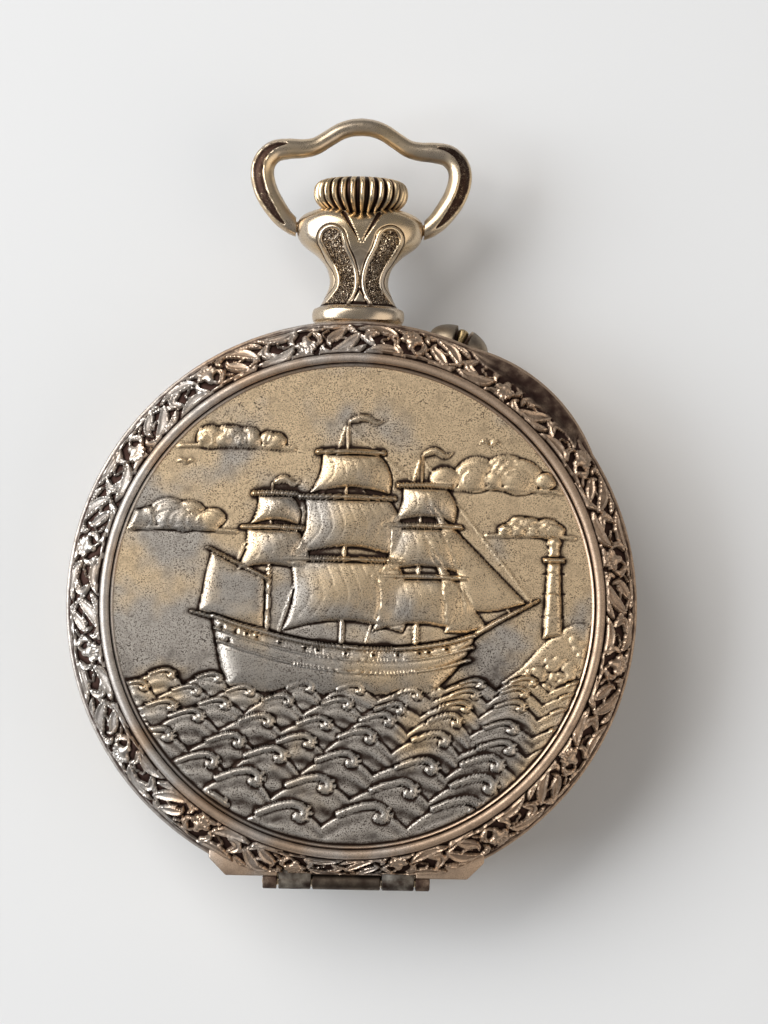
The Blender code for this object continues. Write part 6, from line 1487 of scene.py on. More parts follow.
@dataclass
class Pendant:
    """The pendant: a collar, a narrow neck and a broad head, with two sunk leaf panels."""

    frame: WatchFrame
    around: int = 400
    rings: int = 220
    stations: tuple[Sizes, ...] = (
        (24.4, 3.70, 2.95), (25.35, 3.92, 3.08), (25.55, 4.06, 3.24), (25.95, 4.15, 3.32),
        (26.40, 4.12, 3.30), (26.64, 3.96, 3.18), (26.78, 3.58, 3.02), (27.0, 3.40, 2.96),
        (27.9, 2.96, 2.78), (28.85, 2.64, 2.62), (29.8, 2.74, 2.66), (30.6, 3.08, 2.78), (31.4, 3.80, 2.98),
        (32.0, 4.60, 3.14), (32.55, 5.26, 3.24), (33.1, 5.58, 3.30), (33.6, 5.68, 3.32), (34.2, 5.68, 3.30),
        (34.7, 5.52, 3.22), (35.1, 5.10, 3.08), (35.42, 4.46, 2.92), (35.6, 3.84, 2.80), (35.7, 3.30, 2.70))
    saddle: float = 0.75
    squareness: float = 0.86
    groove_y: float = 26.93

    def build(self) -> Piece:
        """Return the finished pendant."""
        table = np.array(self.stations)
        levels = np.linspace(table[0, 0], table[-1, 0], self.rings)
        dense = smooth_line(table, 24)
        wide = np.interp(levels, dense[:, 0], dense[:, 1])
        deep = np.interp(levels, dense[:, 0], dense[:, 2])
        angles = angles_round(self.around)
        ux = np.sign(np.cos(angles)) * np.abs(np.cos(angles)) ** self.squareness
        uz = np.sign(np.sin(angles)) * np.abs(np.sin(angles)) ** self.squareness
        x = np.outer(wide, ux)
        z = np.outer(deep, uz)
        y = np.repeat(levels[:, None], self.around, 1)
        relief = Relief.over(np.abs(x).ravel(), y.ravel(), 0.0)
        wear = np.full(relief.height.shape, 0.66)
        self.panels(relief, wear)
        height = relief.height.reshape(x.shape) * unit(np.abs(uz) * 2.2)[None, :]
        shade = wear_of(height, 5, (False, True), 2.4, 0.5)
        wear = unit(np.minimum(wear.reshape(x.shape), 1.0) + (shade - 0.45))
        groove = bell((y - self.groove_y) / 0.10)
        wear = unit(wear - 0.75 * groove)
        facing = np.sign(uz)[None, :]
        head = unit((y - 33.0) / 2.7) ** 1.5
        y = y - self.saddle * head * bell(x / 1.9) * np.abs(uz)[None, :]
        spots = np.stack([x, y, self.frame.stem_z / MM + z + height * facing], 2)
        return piece("pendant_neck", woven(spots, wear), Finishes.CASE, "case", ["pendant"], 50.0)

    @staticmethod
    def panels(relief: Relief, wear: Array) -> None:
        """Sink two leaf panels, cut the chevron of the head, paint shade onto its diamond and outline a
        wedge.
        """
        path = smooth_line([
            (2.60, 32.75), (2.1, 31.6), (1.45, 30.4), (1.14, 29.2), (1.32, 28.1), (1.95, 27.1),
            (2.9, 25.9)], 8)
        places, depth, _ = relief.strand_depth(path, lambda s: 1.02 + 0.24 * np.square(2.0 * s - 1.0), 2.4)
        above = unit((relief.y[places] - 26.86) / 0.06)
        border = unit(1.0 - np.square((depth - 0.19) / 0.19)) * above
        relief.height[places] += 0.16 * np.sqrt(border)
        inside = unit((depth - 0.38) / 0.07) * above
        rng = np.random.default_rng(3)
        stipple = rng.uniform(0.0, 1.0, len(places)) ** 1.4
        relief.height[places] += inside * (0.15 * stipple - 0.17)
        wear[places] -= inside * (0.52 - 0.50 * stipple)
        wear[places] += 0.20 * border
        outline = bell((depth + 0.05) / 0.05) * above
        relief.height[places] -= 0.08 * outline
        wear[places] -= 0.45 * outline
        line = np.array([(1.55, 35.35), (0.0, 32.15)])
        spots, deep, _ = relief.strand_depth(line, lambda s: 0.26 * (1.0 - s) + 0.03, 0.6)
        cut = unit(deep / 0.10)
        relief.height[spots] -= 0.22 * cut
        wear[spots] -= 0.66 * cut
        # Painted shade: the plain diamond under the chevron is darkened in colour only, with no relief cut,
        # for the darker reflection there.
        diamond = np.array([
            (0.0, 32.1), (0.95, 31.6), (0.42, 30.4), (0.0, 29.9), (-0.42, 30.4), (-0.95, 31.6)])
        spots, deep = relief.polygon_depth(diamond)
        wear[spots] -= 0.30 * unit(deep / 0.25)
        wedge = np.array([(0.0, 28.3), (0.85, 27.1), (-0.85, 27.1)])
        spots, deep = relief.polygon_depth(wedge)
        ditch = bell(deep / 0.10)
        relief.height[spots] -= 0.12 * ditch
        wear[spots] -= 0.5 * ditch


@dataclass
class Bow:
    """The stirrup bow, with a dark panel let into the outer side of each shoulder."""

    frame: WatchFrame
    around: int = 84
    steps: int = 36
    pin: float = 0.5
    pin_start: float = 4.75
    path: tuple[Point, ...] = (
        (5.20, -0.36), (5.86, -0.06), (6.5, 0.40), (7.3, 1.20), (8.42, 2.92), (8.92, 4.60), (8.72, 5.90),
        (7.85, 6.80), (6.6, 7.07), (5.3, 7.13), (4.2, 7.38), (3.15, 8.02), (2.0, 8.75), (0.95, 9.12),
        (0.0, 9.22))
    thickness: tuple[Point, ...] = (
        (0.0, 0.62), (0.018, 0.74), (0.05, 0.88), (0.12, 1.04), (0.20, 1.06), (0.27, 0.98), (0.34, 0.84),
        (0.40, 0.76), (0.5, 0.80))
    end: float = 5.79
    flatness: float = 0.96
    panel_deep: float = 0.14
    panel_turn: float = 62.0
    panel_half: float = 35.0
    panel_soft: float = 5.0

    def build(self) -> Piece:
        """Return the finished bow."""
        pivot = self.frame.joints["bow_swing"] / MM
        half = smooth_line(self.path, self.steps)
        line = np.vstack([half, half[::-1][1:] * np.array((-1.0, 1.0))])
        steps = np.linalg.norm(np.diff(line, axis=0), axis=1)
        share = np.concatenate([[0.0], np.cumsum(steps)]) / steps.sum()
        ahead = np.gradient(line, axis=0)
        ahead /= np.linalg.norm(ahead, axis=1)[:, None]
        left = np.stack([ahead[:, 1], -ahead[:, 0]], 1)
        mirrored = np.minimum(share, 1.0 - share)
        table = smooth_line(self.thickness, 6)
        thick = np.interp(mirrored, table[:, 0], table[:, 1])
        angles = angles_round(self.around)
        out, up = np.cos(angles), np.sin(angles)
        x = line[:, 0][:, None] + left[:, 0][:, None] * thick[:, None] * out[None, :]
        y = line[:, 1][:, None] + left[:, 1][:, None] * thick[:, None] * out[None, :]
        z = np.outer(thick * self.flatness, up)
        panel = self.panel(mirrored, angles)
        sunk = panel * self.panel_deep
        x -= sunk * left[:, 0][:, None] * out[None, :]
        y -= sunk * left[:, 1][:, None] * out[None, :]
        z -= sunk * up[None, :]
        x = np.sign(x) * np.where(mirrored[:, None] < 0.1, np.maximum(np.abs(x), self.end), np.abs(x))
        rough = np.random.default_rng(5).uniform(0.0, 1.0, panel.shape) ** 2
        wear = 0.60 - (0.54 - 0.22 * rough) * panel
        # Painted shade: the inner side of the wire, facing into the loop, is darkened as if in shade.
        wear = wear - 0.25 * unit(-out)[None, :] ** 2
        spots = np.stack([x, y + pivot.y, z + pivot.z], 2)
        shape = woven(spots, unit(wear))
        pins = [
            even_wear(tube(self.pin, 0.02, side * self.pin_start, side * (self.end + 0.1), pivot * MM), 0.6)
            for side in SIDES]
        return piece("bow_stirrup", merge(shape, *pins), Finishes.CASE, "bow", ["bow"], 50.0)

    def panel(self, share: Array, angles: Array) -> Array:
        """Return how far each place of the wire lies inside the sunk panel of a shoulder."""
        middle = np.sin(np.pi * unit((share - 0.045) / 0.25)) ** 0.5
        turn = math.radians(self.panel_turn)
        near = np.minimum(
            *(np.abs((angles - side * turn + math.pi) % TURN - math.pi) for side in (1.0, -1.0)))
        room = math.radians(self.panel_half) * middle[:, None] - near[None, :]
        return unit(room / math.radians(self.panel_soft))


@dataclass
class Crown:
    """The fluted crown."""

    around: int = 560
    flutes: int = 28
    flute: float = 0.5
    profile: tuple[Point, ...] = (
        (34.80, 2.10), (34.82, 2.26), (35.2, 2.80), (35.6, 3.30), (36.0, 3.76), (36.4, 4.08), (36.9, 4.24),
        (37.4, 4.25), (37.8, 4.14), (38.06, 3.92), (38.24, 3.60), (38.36, 3.10), (38.40, 2.5), (38.42, 1.2),
        (38.42, 0.05))

    def build(self) -> Piece:
        """Return the finished crown."""
        low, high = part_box("crown")
        axis_z = (low.z + high.z) / 2.0 / MM
        line = smooth_line(self.profile, 5)
        angles = angles_round(self.around)
        ridge = unit(1.5 * np.abs(np.cos(self.flutes / 2.0 * angles)) - 0.5) ** 0.85
        rim = np.where(line[:, 0] < 37.0, 1.0, unit((line[:, 1] - 2.7) / 0.9))
        drop = np.outer(rim, 1.0 - ridge) * self.flute
        radius = line[:, 1][:, None] - drop
        under = 0.25 * unit((36.9 - line[:, 0]) / 1.2)[:, None]
        wear = unit(0.86 - 1.1 * np.outer(rim, 1.0 - ridge) - under)
        y = np.repeat(line[:, 0][:, None], self.around, 1)
        spots = np.stack([
            radius * np.cos(angles)[None, :], y, axis_z + radius * np.sin(angles)[None, :]], 2)
        return piece("winding_crown", woven(spots, wear), Finishes.CASE, "crown", ["crown"], 60.0)


def turned_form(
        profile: Sequence[Point], columns: int, bend: Callable[[Array], Array],
        wear: Sequence[float]) -> Shape:
    """Return a closed turned ring whose points are moved afterwards.

    Args:
        profile: A closed outline of radius and height in millimetres.
        columns: Facets round the axis.
        bend: Moves the points, given and returned in millimetres.
        wear: The wear along the outline.

    Returns:
        The turned ring.
    """
    line = np.array(profile, dtype=float)
    angles = angles_round(columns)
    x = np.outer(np.cos(angles), line[:, 0])
    y = np.outer(np.sin(angles), line[:, 0])
    spots = np.stack([x, y, np.tile(line[:, 1], (columns, 1))], 2)
    return BackRim.weave(bend(spots), np.tile(np.array(wear), (columns, 1)))


def clear_of_hinge(spots: Array, axis: Vector, reach: float, span: Point, away: float) -> Array:
    """Move points out of the room that a hinge's knuckles need.

    Args:
        spots: Points in millimetres.
        axis: A point on the hinge axis, in metres.
        reach: The radius to keep free.
        span: Between which distances from the middle the room lies.
        away: Which way points in the room go, 1 for up and -1 for down.

    Returns:
        The moved points.
    """
    y, z = spots[..., 1] - axis.y / MM, spots[..., 2] - axis.z / MM
    far = np.hypot(y, z)
    x = np.abs(spots[..., 0])
    inside = (far < reach) & (x > span[0]) & (x < span[1])
    drop = np.sqrt(np.maximum(reach ** 2 - y ** 2, 0.0))
    moved = spots.copy()
    moved[..., 2] = np.where(inside, axis.z / MM + away * drop, spots[..., 2])
    return moved


@dataclass
class CaseBand:
    """The band of the case, with the middle knuckles of both hinges and the guard of the setting pin."""

    frame: WatchFrame
    columns: int = 720
    swell: float = 0.4
    bore: float = 21.6
    ledge_bore: float = 20.7
    ledge_top: float = 5.15
    back_knuckle: Sizes = (0.7, 0.36, 3.0)
    back_room: tuple[float, Point] = (0.84, (3.08, 10.9))
    rod: Point = (0.36, 7.45)
    bezel_knuckle: Sizes = (0.6, 0.32, 2.0)
    bezel_room: tuple[float, Point] = (0.74, (2.08, 5.7))
    guard_half: Sizes = (1.7, 2.8, 1.8)
    guard_angle: float = 69.0
    guard_slot: float = 0.66

    def build(self) -> Piece:
        """Return the finished band."""
        low, top = self.frame.band_low / MM, self.frame.band_top / MM
        radius = self.frame.case_radius / MM
        half = (top - low) / 2.0
        side = [
            (radius - self.swell * s ** 2 - 0.10 * max(0.0, abs(s) - 0.93) / 0.07, low + half + half * s)
            for s in (
                1.0, 0.985, 0.95, 0.9, 0.8, 0.7, 0.55, 0.4, 0.2, 0.0, -0.2, -0.4, -0.55, -0.7, -0.8, -0.9,
                -0.95, -0.985, -1.0)]
        under = [
            (24.6, low), (24.2, low), (23.6, low), (22.5, low), (self.ledge_bore, low),
            (self.ledge_bore, self.ledge_top), (self.bore, self.ledge_top), (self.bore, top - 0.08),
            (self.bore + 0.08, top)]
        over = [(r, top) for r in np.arange(22.4, 24.85, 0.12)]
        profile = side + under + over
        wear = [0.46] * len(side) + [0.55] * len(under) + [0.6] * len(over)
        for index in (0, 1, 2, len(side) - 3, len(side) - 2, len(side) - 1):
            wear[index] = 0.62
        back, bezel = self.frame.joints["back_cover_hinge"], self.frame.joints["bezel_hinge"]

        def bend(spots: Array) -> Array:
            """Return the points, moved out of the rooms of both hinges."""
            moved = clear_of_hinge(spots, back, *self.back_room, -1.0)
            return clear_of_hinge(moved, bezel, *self.bezel_room, 1.0)

        shape = turned_form(profile, self.columns, bend, wear)
        self.hinge_rod(back)
        hinges = ((self.back_knuckle, back), (self.bezel_knuckle, bezel))
        # Painted shade: the middle knuckles of both hinges get a low wear so the hinges read dark, as in
        # shadow.
        knuckles = [even_wear(tube(*sizes[:2], -sizes[2], sizes[2], axis), 0.22) for sizes, axis in hinges]
        return piece(
            "case_band", merge(shape, *knuckles, self.guard()), Finishes.BAND, "case", ["case_middle"])

    def hinge_rod(self, axis: Vector) -> Piece:
        """Return the rod through the knuckles of both covers, with rounded ends."""
        radius, end = self.rod
        half = [(0.0, end), (radius * 0.7, end - 0.03), (radius, end - 0.12), (radius, 0.0)]
        outline = half + [(r, -h) for r, h in half[-2::-1]]
        shape = spun(metres(outline), 32)
        return piece(
            "cover_hinge_rod", even_wear(along_hinge(shape, axis), 0.45), Finishes.CASE, "case",
            ["back_hinge_pin"])

    def guard(self) -> Shape:
        """Return the rounded guard with a slot through which the setting pin is pressed."""
        shape = bmesh.new()
        bmesh.ops.create_uvsphere(shape, u_segments=96, v_segments=64, radius=1.0)
        layer = shape.verts.layers.float.new(WEAR_AND_SHADE)
        turn = Matrix.Rotation(math.radians(self.guard_angle), 3, "Z")
        centre = turn @ Vector((self.frame.case_radius / MM, 0.0, 0.0))
        for vert in shape.verts:
            out, along, up = (c * half for c, half in zip(vert.co, self.guard_half))
            gap = math.hypot(along, up) if abs(up) < abs(along) else abs(along)
            sink = min(max((self.guard_slot + 0.12 - gap) / 0.16, 0.0), 1.0) if out > 0.0 else 0.0
            out = out * (1.0 - sink) + 0.12 * sink
            vert[layer] = 0.30 - 0.25 * sink
            spot = turn @ Vector((out, along, up)) + centre
            vert.co = (spot.x * MM, spot.y * MM, self.frame.stem_z + up * MM)
        return shape


@dataclass
class SettingPin:
    """The pin that is pressed to set the hands."""

    frame: WatchFrame
    radius: float = 0.5
    start: float = 18.6
    end: float = 26.9
    angle: float = 69.0

    def build(self) -> Piece:
        """Return the finished pin."""
        dome = [
            (self.radius * math.cos(a), self.end - 0.28 + 0.28 * math.sin(a))
            for a in np.linspace(math.pi / 2.0, 0.0, 7)]
        dome[0] = (0.0, self.end)
        body = [(self.radius, self.start + 0.06), (self.radius - 0.06, self.start), (0.0, self.start)]
        shape = spun(metres(dome + body), 40)
        turn = Matrix.Rotation(math.radians(self.angle), 3, "Z") @ Matrix.Rotation(math.pi / 2.0, 3, "Y")
        bmesh.ops.rotate(shape, verts=shape.verts, cent=(0.0, 0.0, 0.0), matrix=turn)
        bmesh.ops.translate(shape, verts=shape.verts, vec=(0.0, 0.0, self.frame.stem_z))
        return piece(
            "setting_push_pin", even_wear(shape, 0.8), Finishes.PIN, "setting_pin", ["setting_pin"])


@dataclass
class Bezel:
    """The ring that holds the crystal on the dial side, and the crystal."""

    frame: WatchFrame
    columns: int = 720
    radius: float = 24.7
    top: float = 4.19
    low: float = 0.8
    lip: float = 20.15
    groove: float = 20.6
    seat: float = 2.05
    flange: float = 0.65
    glass_radius: float = 20.5
    glass_flat: float = 16.5
    glass_thick: float = 0.95
    dial_room: float = 3.39
    inner_top: float = 20.7
    knuckle: tuple[float, float, float, float] = (0.6, 0.32, 2.08, 5.5)
    room: tuple[float, Point] = (0.72, (0.0, 2.08))

    def build(self) -> Piece:
        """Return the finished ring, once its crystal is made too."""
        lip, low = self.lip, self.low
        bow = smooth_line([
            (self.radius, self.top - 0.55), (self.radius - 0.28, 2.7), (23.5, 1.65), (22.2, 1.08),
            (lip + 0.75, low), (lip + 0.3, low + 0.03), (lip, low + 0.4)], 5)
        outer = [
            (self.radius - 0.3, self.top), (self.radius - 0.08, self.top - 0.06),
            (self.radius, self.top - 0.2), (self.radius + 0.03, self.top - 0.34),
            (self.radius - 0.06, self.top - 0.42), *map(tuple, bow)]
        inner = [
            (lip, self.seat - 0.1), (self.groove, self.seat - 0.1),
            (self.groove, self.seat + self.flange + 0.1), (lip, self.seat + self.flange + 0.1),
            (lip, self.dial_room), (self.inner_top, self.dial_room), (self.inner_top, self.top),
            (22.0, self.top), (23.4, self.top), (23.9, self.top), (24.15, self.top)]
        profile = outer + inner
        wear = [0.72] * len(outer) + [0.5] * len(inner)
        wear[4] = 0.1
        axis = self.frame.joints["bezel_hinge"]
        shape = turned_form(
            profile, self.columns, lambda spots: clear_of_hinge(spots, axis, *self.room, -1.0), wear)
        radius, bore, start, end = self.knuckle
        knuckles = [even_wear(tube(radius, bore, side * start, side * end, axis), 0.6) for side in SIDES]
        self.crystal()
        return piece("bezel_ring", merge(shape, *knuckles), Finishes.CASE, "bezel", ["bezel"])

    def crystal(self) -> Piece:
        """Return the flat-topped crystal with its rounded shoulder and its flange."""
        flat, edge = self.glass_flat, self.lip - 0.12
        shoulder = smooth_line([
            (flat, 0.0), (flat + 1.4, 0.10), (flat + 2.6, 0.55), (edge - 0.25, 1.35),
            (edge, self.seat - 0.08)], 6)
        inside = smooth_line([
            (self.glass_radius - 1.17, self.seat + self.flange), (flat + 1.9, 1.55), (flat + 0.8, 1.05),
            (flat - 0.4, self.glass_thick)], 6)
        profile = [
            (0.0, 0.0), (flat * 0.5, 0.0), *map(tuple, shoulder), (self.glass_radius, self.seat),
            (self.glass_radius, self.seat + self.flange), *map(tuple, inside),
            (flat * 0.5, self.glass_thick), (0.0, self.glass_thick)]
        shape = spun(metres(profile), 256)
        return piece("watch_glass", shape, Finishes.GLASS, "bezel", ["crystal"], 30.0)


@dataclass
class InnerCover:
    """The thin dust cover over the movement, with two tongues to the hinge."""

    frame: WatchFrame
    columns: int = 360
    radius: float = 22.6
    top: float = 11.30
    thick: float = 0.32
    low: float = 10.43
    rim: float = 0.45
    tongue: Point = (3.15, 6.0)
    knuckle: Point = (0.7, 0.36)

    def build(self) -> Piece:
        """Return the finished cover."""
        edge = self.radius
        crown = [
            (0.0, self.top), (6.0, self.top), (12.0, self.top), (18.0, self.top),
            (edge - 1.1, self.top - 0.01), (edge - 0.62, self.top - 0.05), (edge - 0.25, self.top - 0.16),
            (edge - 0.03, self.top - 0.36), (edge, self.top - 0.5), (edge, self.low + 0.05),
            (edge - 0.05, self.low), (edge - self.rim + 0.05, self.low), (edge - self.rim, self.low + 0.05),
            (edge - self.rim, self.top - self.thick - 0.12), (edge - self.rim * 1.5, self.top - self.thick),
            (0.0, self.top - self.thick)]
        shape = even_wear(spun(metres(crown), self.columns), 0.8)
        axis = self.frame.joints["inner_cover_hinge"]
        parts = []
        for side in SIDES:
            start, end = side * self.tongue[0], side * self.tongue[1]
            # Painted shade: the knuckles and tongues get a low wear so the hinge reads dark, as in shadow.
            parts.append(even_wear(tube(*self.knuckle, start, end, axis), 0.22))
            parts.append(even_wear(self.strap(start, end, axis), 0.25))
        return piece(
            "dust_cover", merge(shape, *parts), Finishes.PLATE_CASE, "inner_cover", ["inner_cover"])

    def strap(self, start: float, end: float, axis: Vector) -> Shape:
        """Return the short tongue between the cover and one knuckle."""
        shape = bmesh.new()
        bmesh.ops.create_cube(shape, size=1.0)
        root = -math.sqrt((self.radius - self.rim / 2.0) ** 2 - self.tongue[1] ** 2)
        low, high = self.low + 0.1, self.low + 0.55
        size = (abs(end - start) * MM, (root - axis.y / MM) * MM, (high - low) * MM)
        bmesh.ops.scale(shape, vec=size, verts=shape.verts)
        bmesh.ops.translate(
            shape, verts=shape.verts,
            vec=((start + end) / 2.0 * MM, (root * MM + axis.y) / 2.0, (low + high) / 2.0 * MM))
        bmesh.ops.bevel(
            shape, geom=list(shape.edges), offset=0.06 * MM, segments=2, profile=0.5, affect="EDGES",
            material=-1)
        return shape


@dataclass
class Dressing:
    """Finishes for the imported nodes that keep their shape."""

    nodes: dict[str, Piece]
    finishes: dict[Finish, tuple[str, ...]]
    crease: float = 32.0

    def build(self) -> None:
        """Give each node its finish."""
        for finish, names in self.finishes.items():
            for name in names:
                obj = self.nodes[name]
                obj.data.materials.clear()
                obj.data.materials.append(finish.material())
                obj.data.shade_smooth()
                obj.data.set_sharp_from_angle(angle=math.radians(self.crease))
            LOG.info("%s on %d nodes", finish.name, len(names))


@dataclass
class EasedPart:
    """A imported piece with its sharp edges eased, as they are polished on the real one."""

    node: Piece
    name: str
    finish: Finish
    body: str
    ease: float = 0.05 * MM
    flat: float = 0.5
    sharp: float = 40.0
    crease: float = 20.0

    def build(self) -> Piece:
        """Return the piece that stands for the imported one."""
        shape = bmesh.new()
        shape.from_mesh(self.node.data)
        bmesh.ops.remove_doubles(shape, verts=shape.verts, dist=1e-6)
        bmesh.ops.dissolve_limit(
            shape, angle_limit=math.radians(self.flat), verts=shape.verts, edges=shape.edges)
        sharp = [
            edge for edge in shape.edges
            if edge.is_manifold and edge.calc_face_angle_signed() > math.radians(self.sharp)]
        bmesh.ops.bevel(
            shape, geom=sharp, offset=self.ease, segments=2, profile=0.5, affect="EDGES", material=-1,
            clamp_overlap=True)
        return piece(self.name + "_eased", shape, self.finish, self.body, [self.name], self.crease)


def screw_head(radius: float, high: float, slot: float, turn: float) -> Shape:
    """Return a slotted screw head standing on the origin.

    Args:
        radius: Its radius in metres.
        high: Its height.
        slot: The width of its slot.
        turn: Which way the slot points, in degrees.

    Returns:
        The head.
    """
    shape = spun([(0.0, high * 0.45), (radius, high * 0.45), (radius, -high * 0.2), (0.0, -high * 0.2)], 28)
    for side in SIDES:
        half = spun([
            (0.0, high), (radius * 0.84, high), (radius, high * 0.8), (radius, high * 0.4),
            (0.0, high * 0.4)], 28)
        every = [*half.verts, *half.edges, *half.faces]
        bmesh.ops.bisect_plane(
            half, geom=every, plane_co=(side * slot / 2.0, 0.0, 0.0), plane_no=(-side, 0.0, 0.0),
            clear_outer=True)
        bmesh.ops.holes_fill(half, edges=[edge for edge in half.edges if edge.is_boundary], sides=0)
        merge(shape, half)
    bmesh.ops.rotate(
        shape, verts=shape.verts, cent=(0.0, 0.0, 0.0), matrix=Matrix.Rotation(math.radians(turn), 3, "Z"))
    return shape


@dataclass
class BalanceSpring:
    """The spring of the balance, a fine blued spiral."""

    frame: WatchFrame
    inner: float = 0.72
    pitch: float = 0.56
    turns: int = 5
    wide: float = 0.09
    steps: int = 720

    def build(self) -> Piece:
        """Return the finished spring."""
        low, high = (corner.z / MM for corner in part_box("hairspring"))
        middle = self.frame.joints["balance_swing"] / MM
        turned = np.linspace(0.0, self.turns, self.steps)
        half = self.wide / 2.0
        rings = []
        for side, level in ((-half, low), (half, low), (half, high), (-half, high)):
            radius = self.inner + self.pitch * turned + side
            rings.append(np.stack([
                middle.x + radius * np.cos(TURN * turned), middle.y + radius * np.sin(TURN * turned),
                np.full(self.steps, level)], 1))
        spots = np.stack(rings, 1)
        shape = woven(spots, np.ones(spots.shape[:2]))
        return piece("balance_spring", shape, Finishes.BLUED, "balance", ["hairspring"])


@dataclass
class MovementTrim:
    """Jewels in gilt settings, and blued screws on the bridges and the winding wheels."""

    jewels: tuple[tuple[str, str, float], ...] = (
        ("train_bridge", "third_pinion", 0.42), ("train_bridge", "fourth_pinion", 0.42),
        ("train_bridge", "escape_pinion", 0.38), ("barrel_bridge", "center_pinion", 0.55),
        ("balance_cock", "balance_staff", 0.40), ("pallet_bridge", "pallet_fork", 0.32))
    bridge_screws: tuple[tuple[str, float, float], ...] = (
        ("barrel_bridge", 31.0, 19.2), ("barrel_bridge", 118.0, 19.2), ("barrel_bridge", 172.0, 19.2),
        ("train_bridge", -70.0, 19.2), ("train_bridge", -35.0, 19.2), ("train_bridge", -3.0, 19.2),
        ("balance_cock", -102.0, 19.2))
    wheel_screws: tuple[tuple[str, str, float], ...] = (
        ("crown_wheel", "crown_wheel", 1.15), ("ratchet_wheel", "ratchet", 1.0), ("click", "click", 0.62))
    head: float = 0.8
    head_high: float = 0.24
    slot: float = 0.24

    def build(self) -> None:
        """Make the settings, the jewels and the screws."""
        settings, stones, screws = bmesh.new(), bmesh.new(), bmesh.new()
        for seat, arbor, radius in self.jewels:
            low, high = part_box(arbor)
            spot = Vector(((low.x + high.x) / 2.0, (low.y + high.y) / 2.0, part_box(seat)[1].z))
            ring = [(1.08, -0.04), (1.85, -0.04), (1.85, 0.05), (1.7, 0.10), (1.35, 0.10), (1.08, 0.03)]
            stone = [
                (0.34, -0.04), (1.10, -0.04), (1.10, 0.06), (0.92, 0.13), (0.6, 0.16), (0.42, 0.12),
                (0.34, 0.06)]
            for shape, outline in ((settings, ring), (stones, stone)):
                made = spun([(r * radius * MM, h * MM * 0.6) for r, h in outline], 40, True)
                bmesh.ops.translate(made, verts=made.verts, vec=spot)
                merge(shape, made)
        for index, (seat, angle, reach) in enumerate(self.bridge_screws):
            turn = Matrix.Rotation(math.radians(angle), 3, "Z")
            spot = turn @ Vector((reach * MM, 0.0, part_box(seat)[1].z))
            self.screw(screws, spot, self.head, 25.0 + 47.0 * index)
        piece("jewel_settings", settings, Finishes.GILT, "case")
        piece("ruby_jewels", stones, Finishes.RUBY, "case")
        piece("bridge_screws", screws, Finishes.BLUED, "case")
        for node, body, radius in self.wheel_screws:
            low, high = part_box(node)
            spot = Vector(((low.x + high.x) / 2.0, (low.y + high.y) / 2.0, high.z))
            cap = bmesh.new()
            self.screw(cap, spot, radius, 70.0)
            piece(node + "_screw", cap, Finishes.BLUED, body)

    def screw(self, shape: Shape, spot: Vector, radius: float, turn: float) -> None:
        """Add one screw head to a shape."""
        made = screw_head(radius * MM, self.head_high * MM, self.slot * MM, turn)
        bmesh.ops.translate(made, verts=made.verts, vec=spot)
        merge(shape, made)


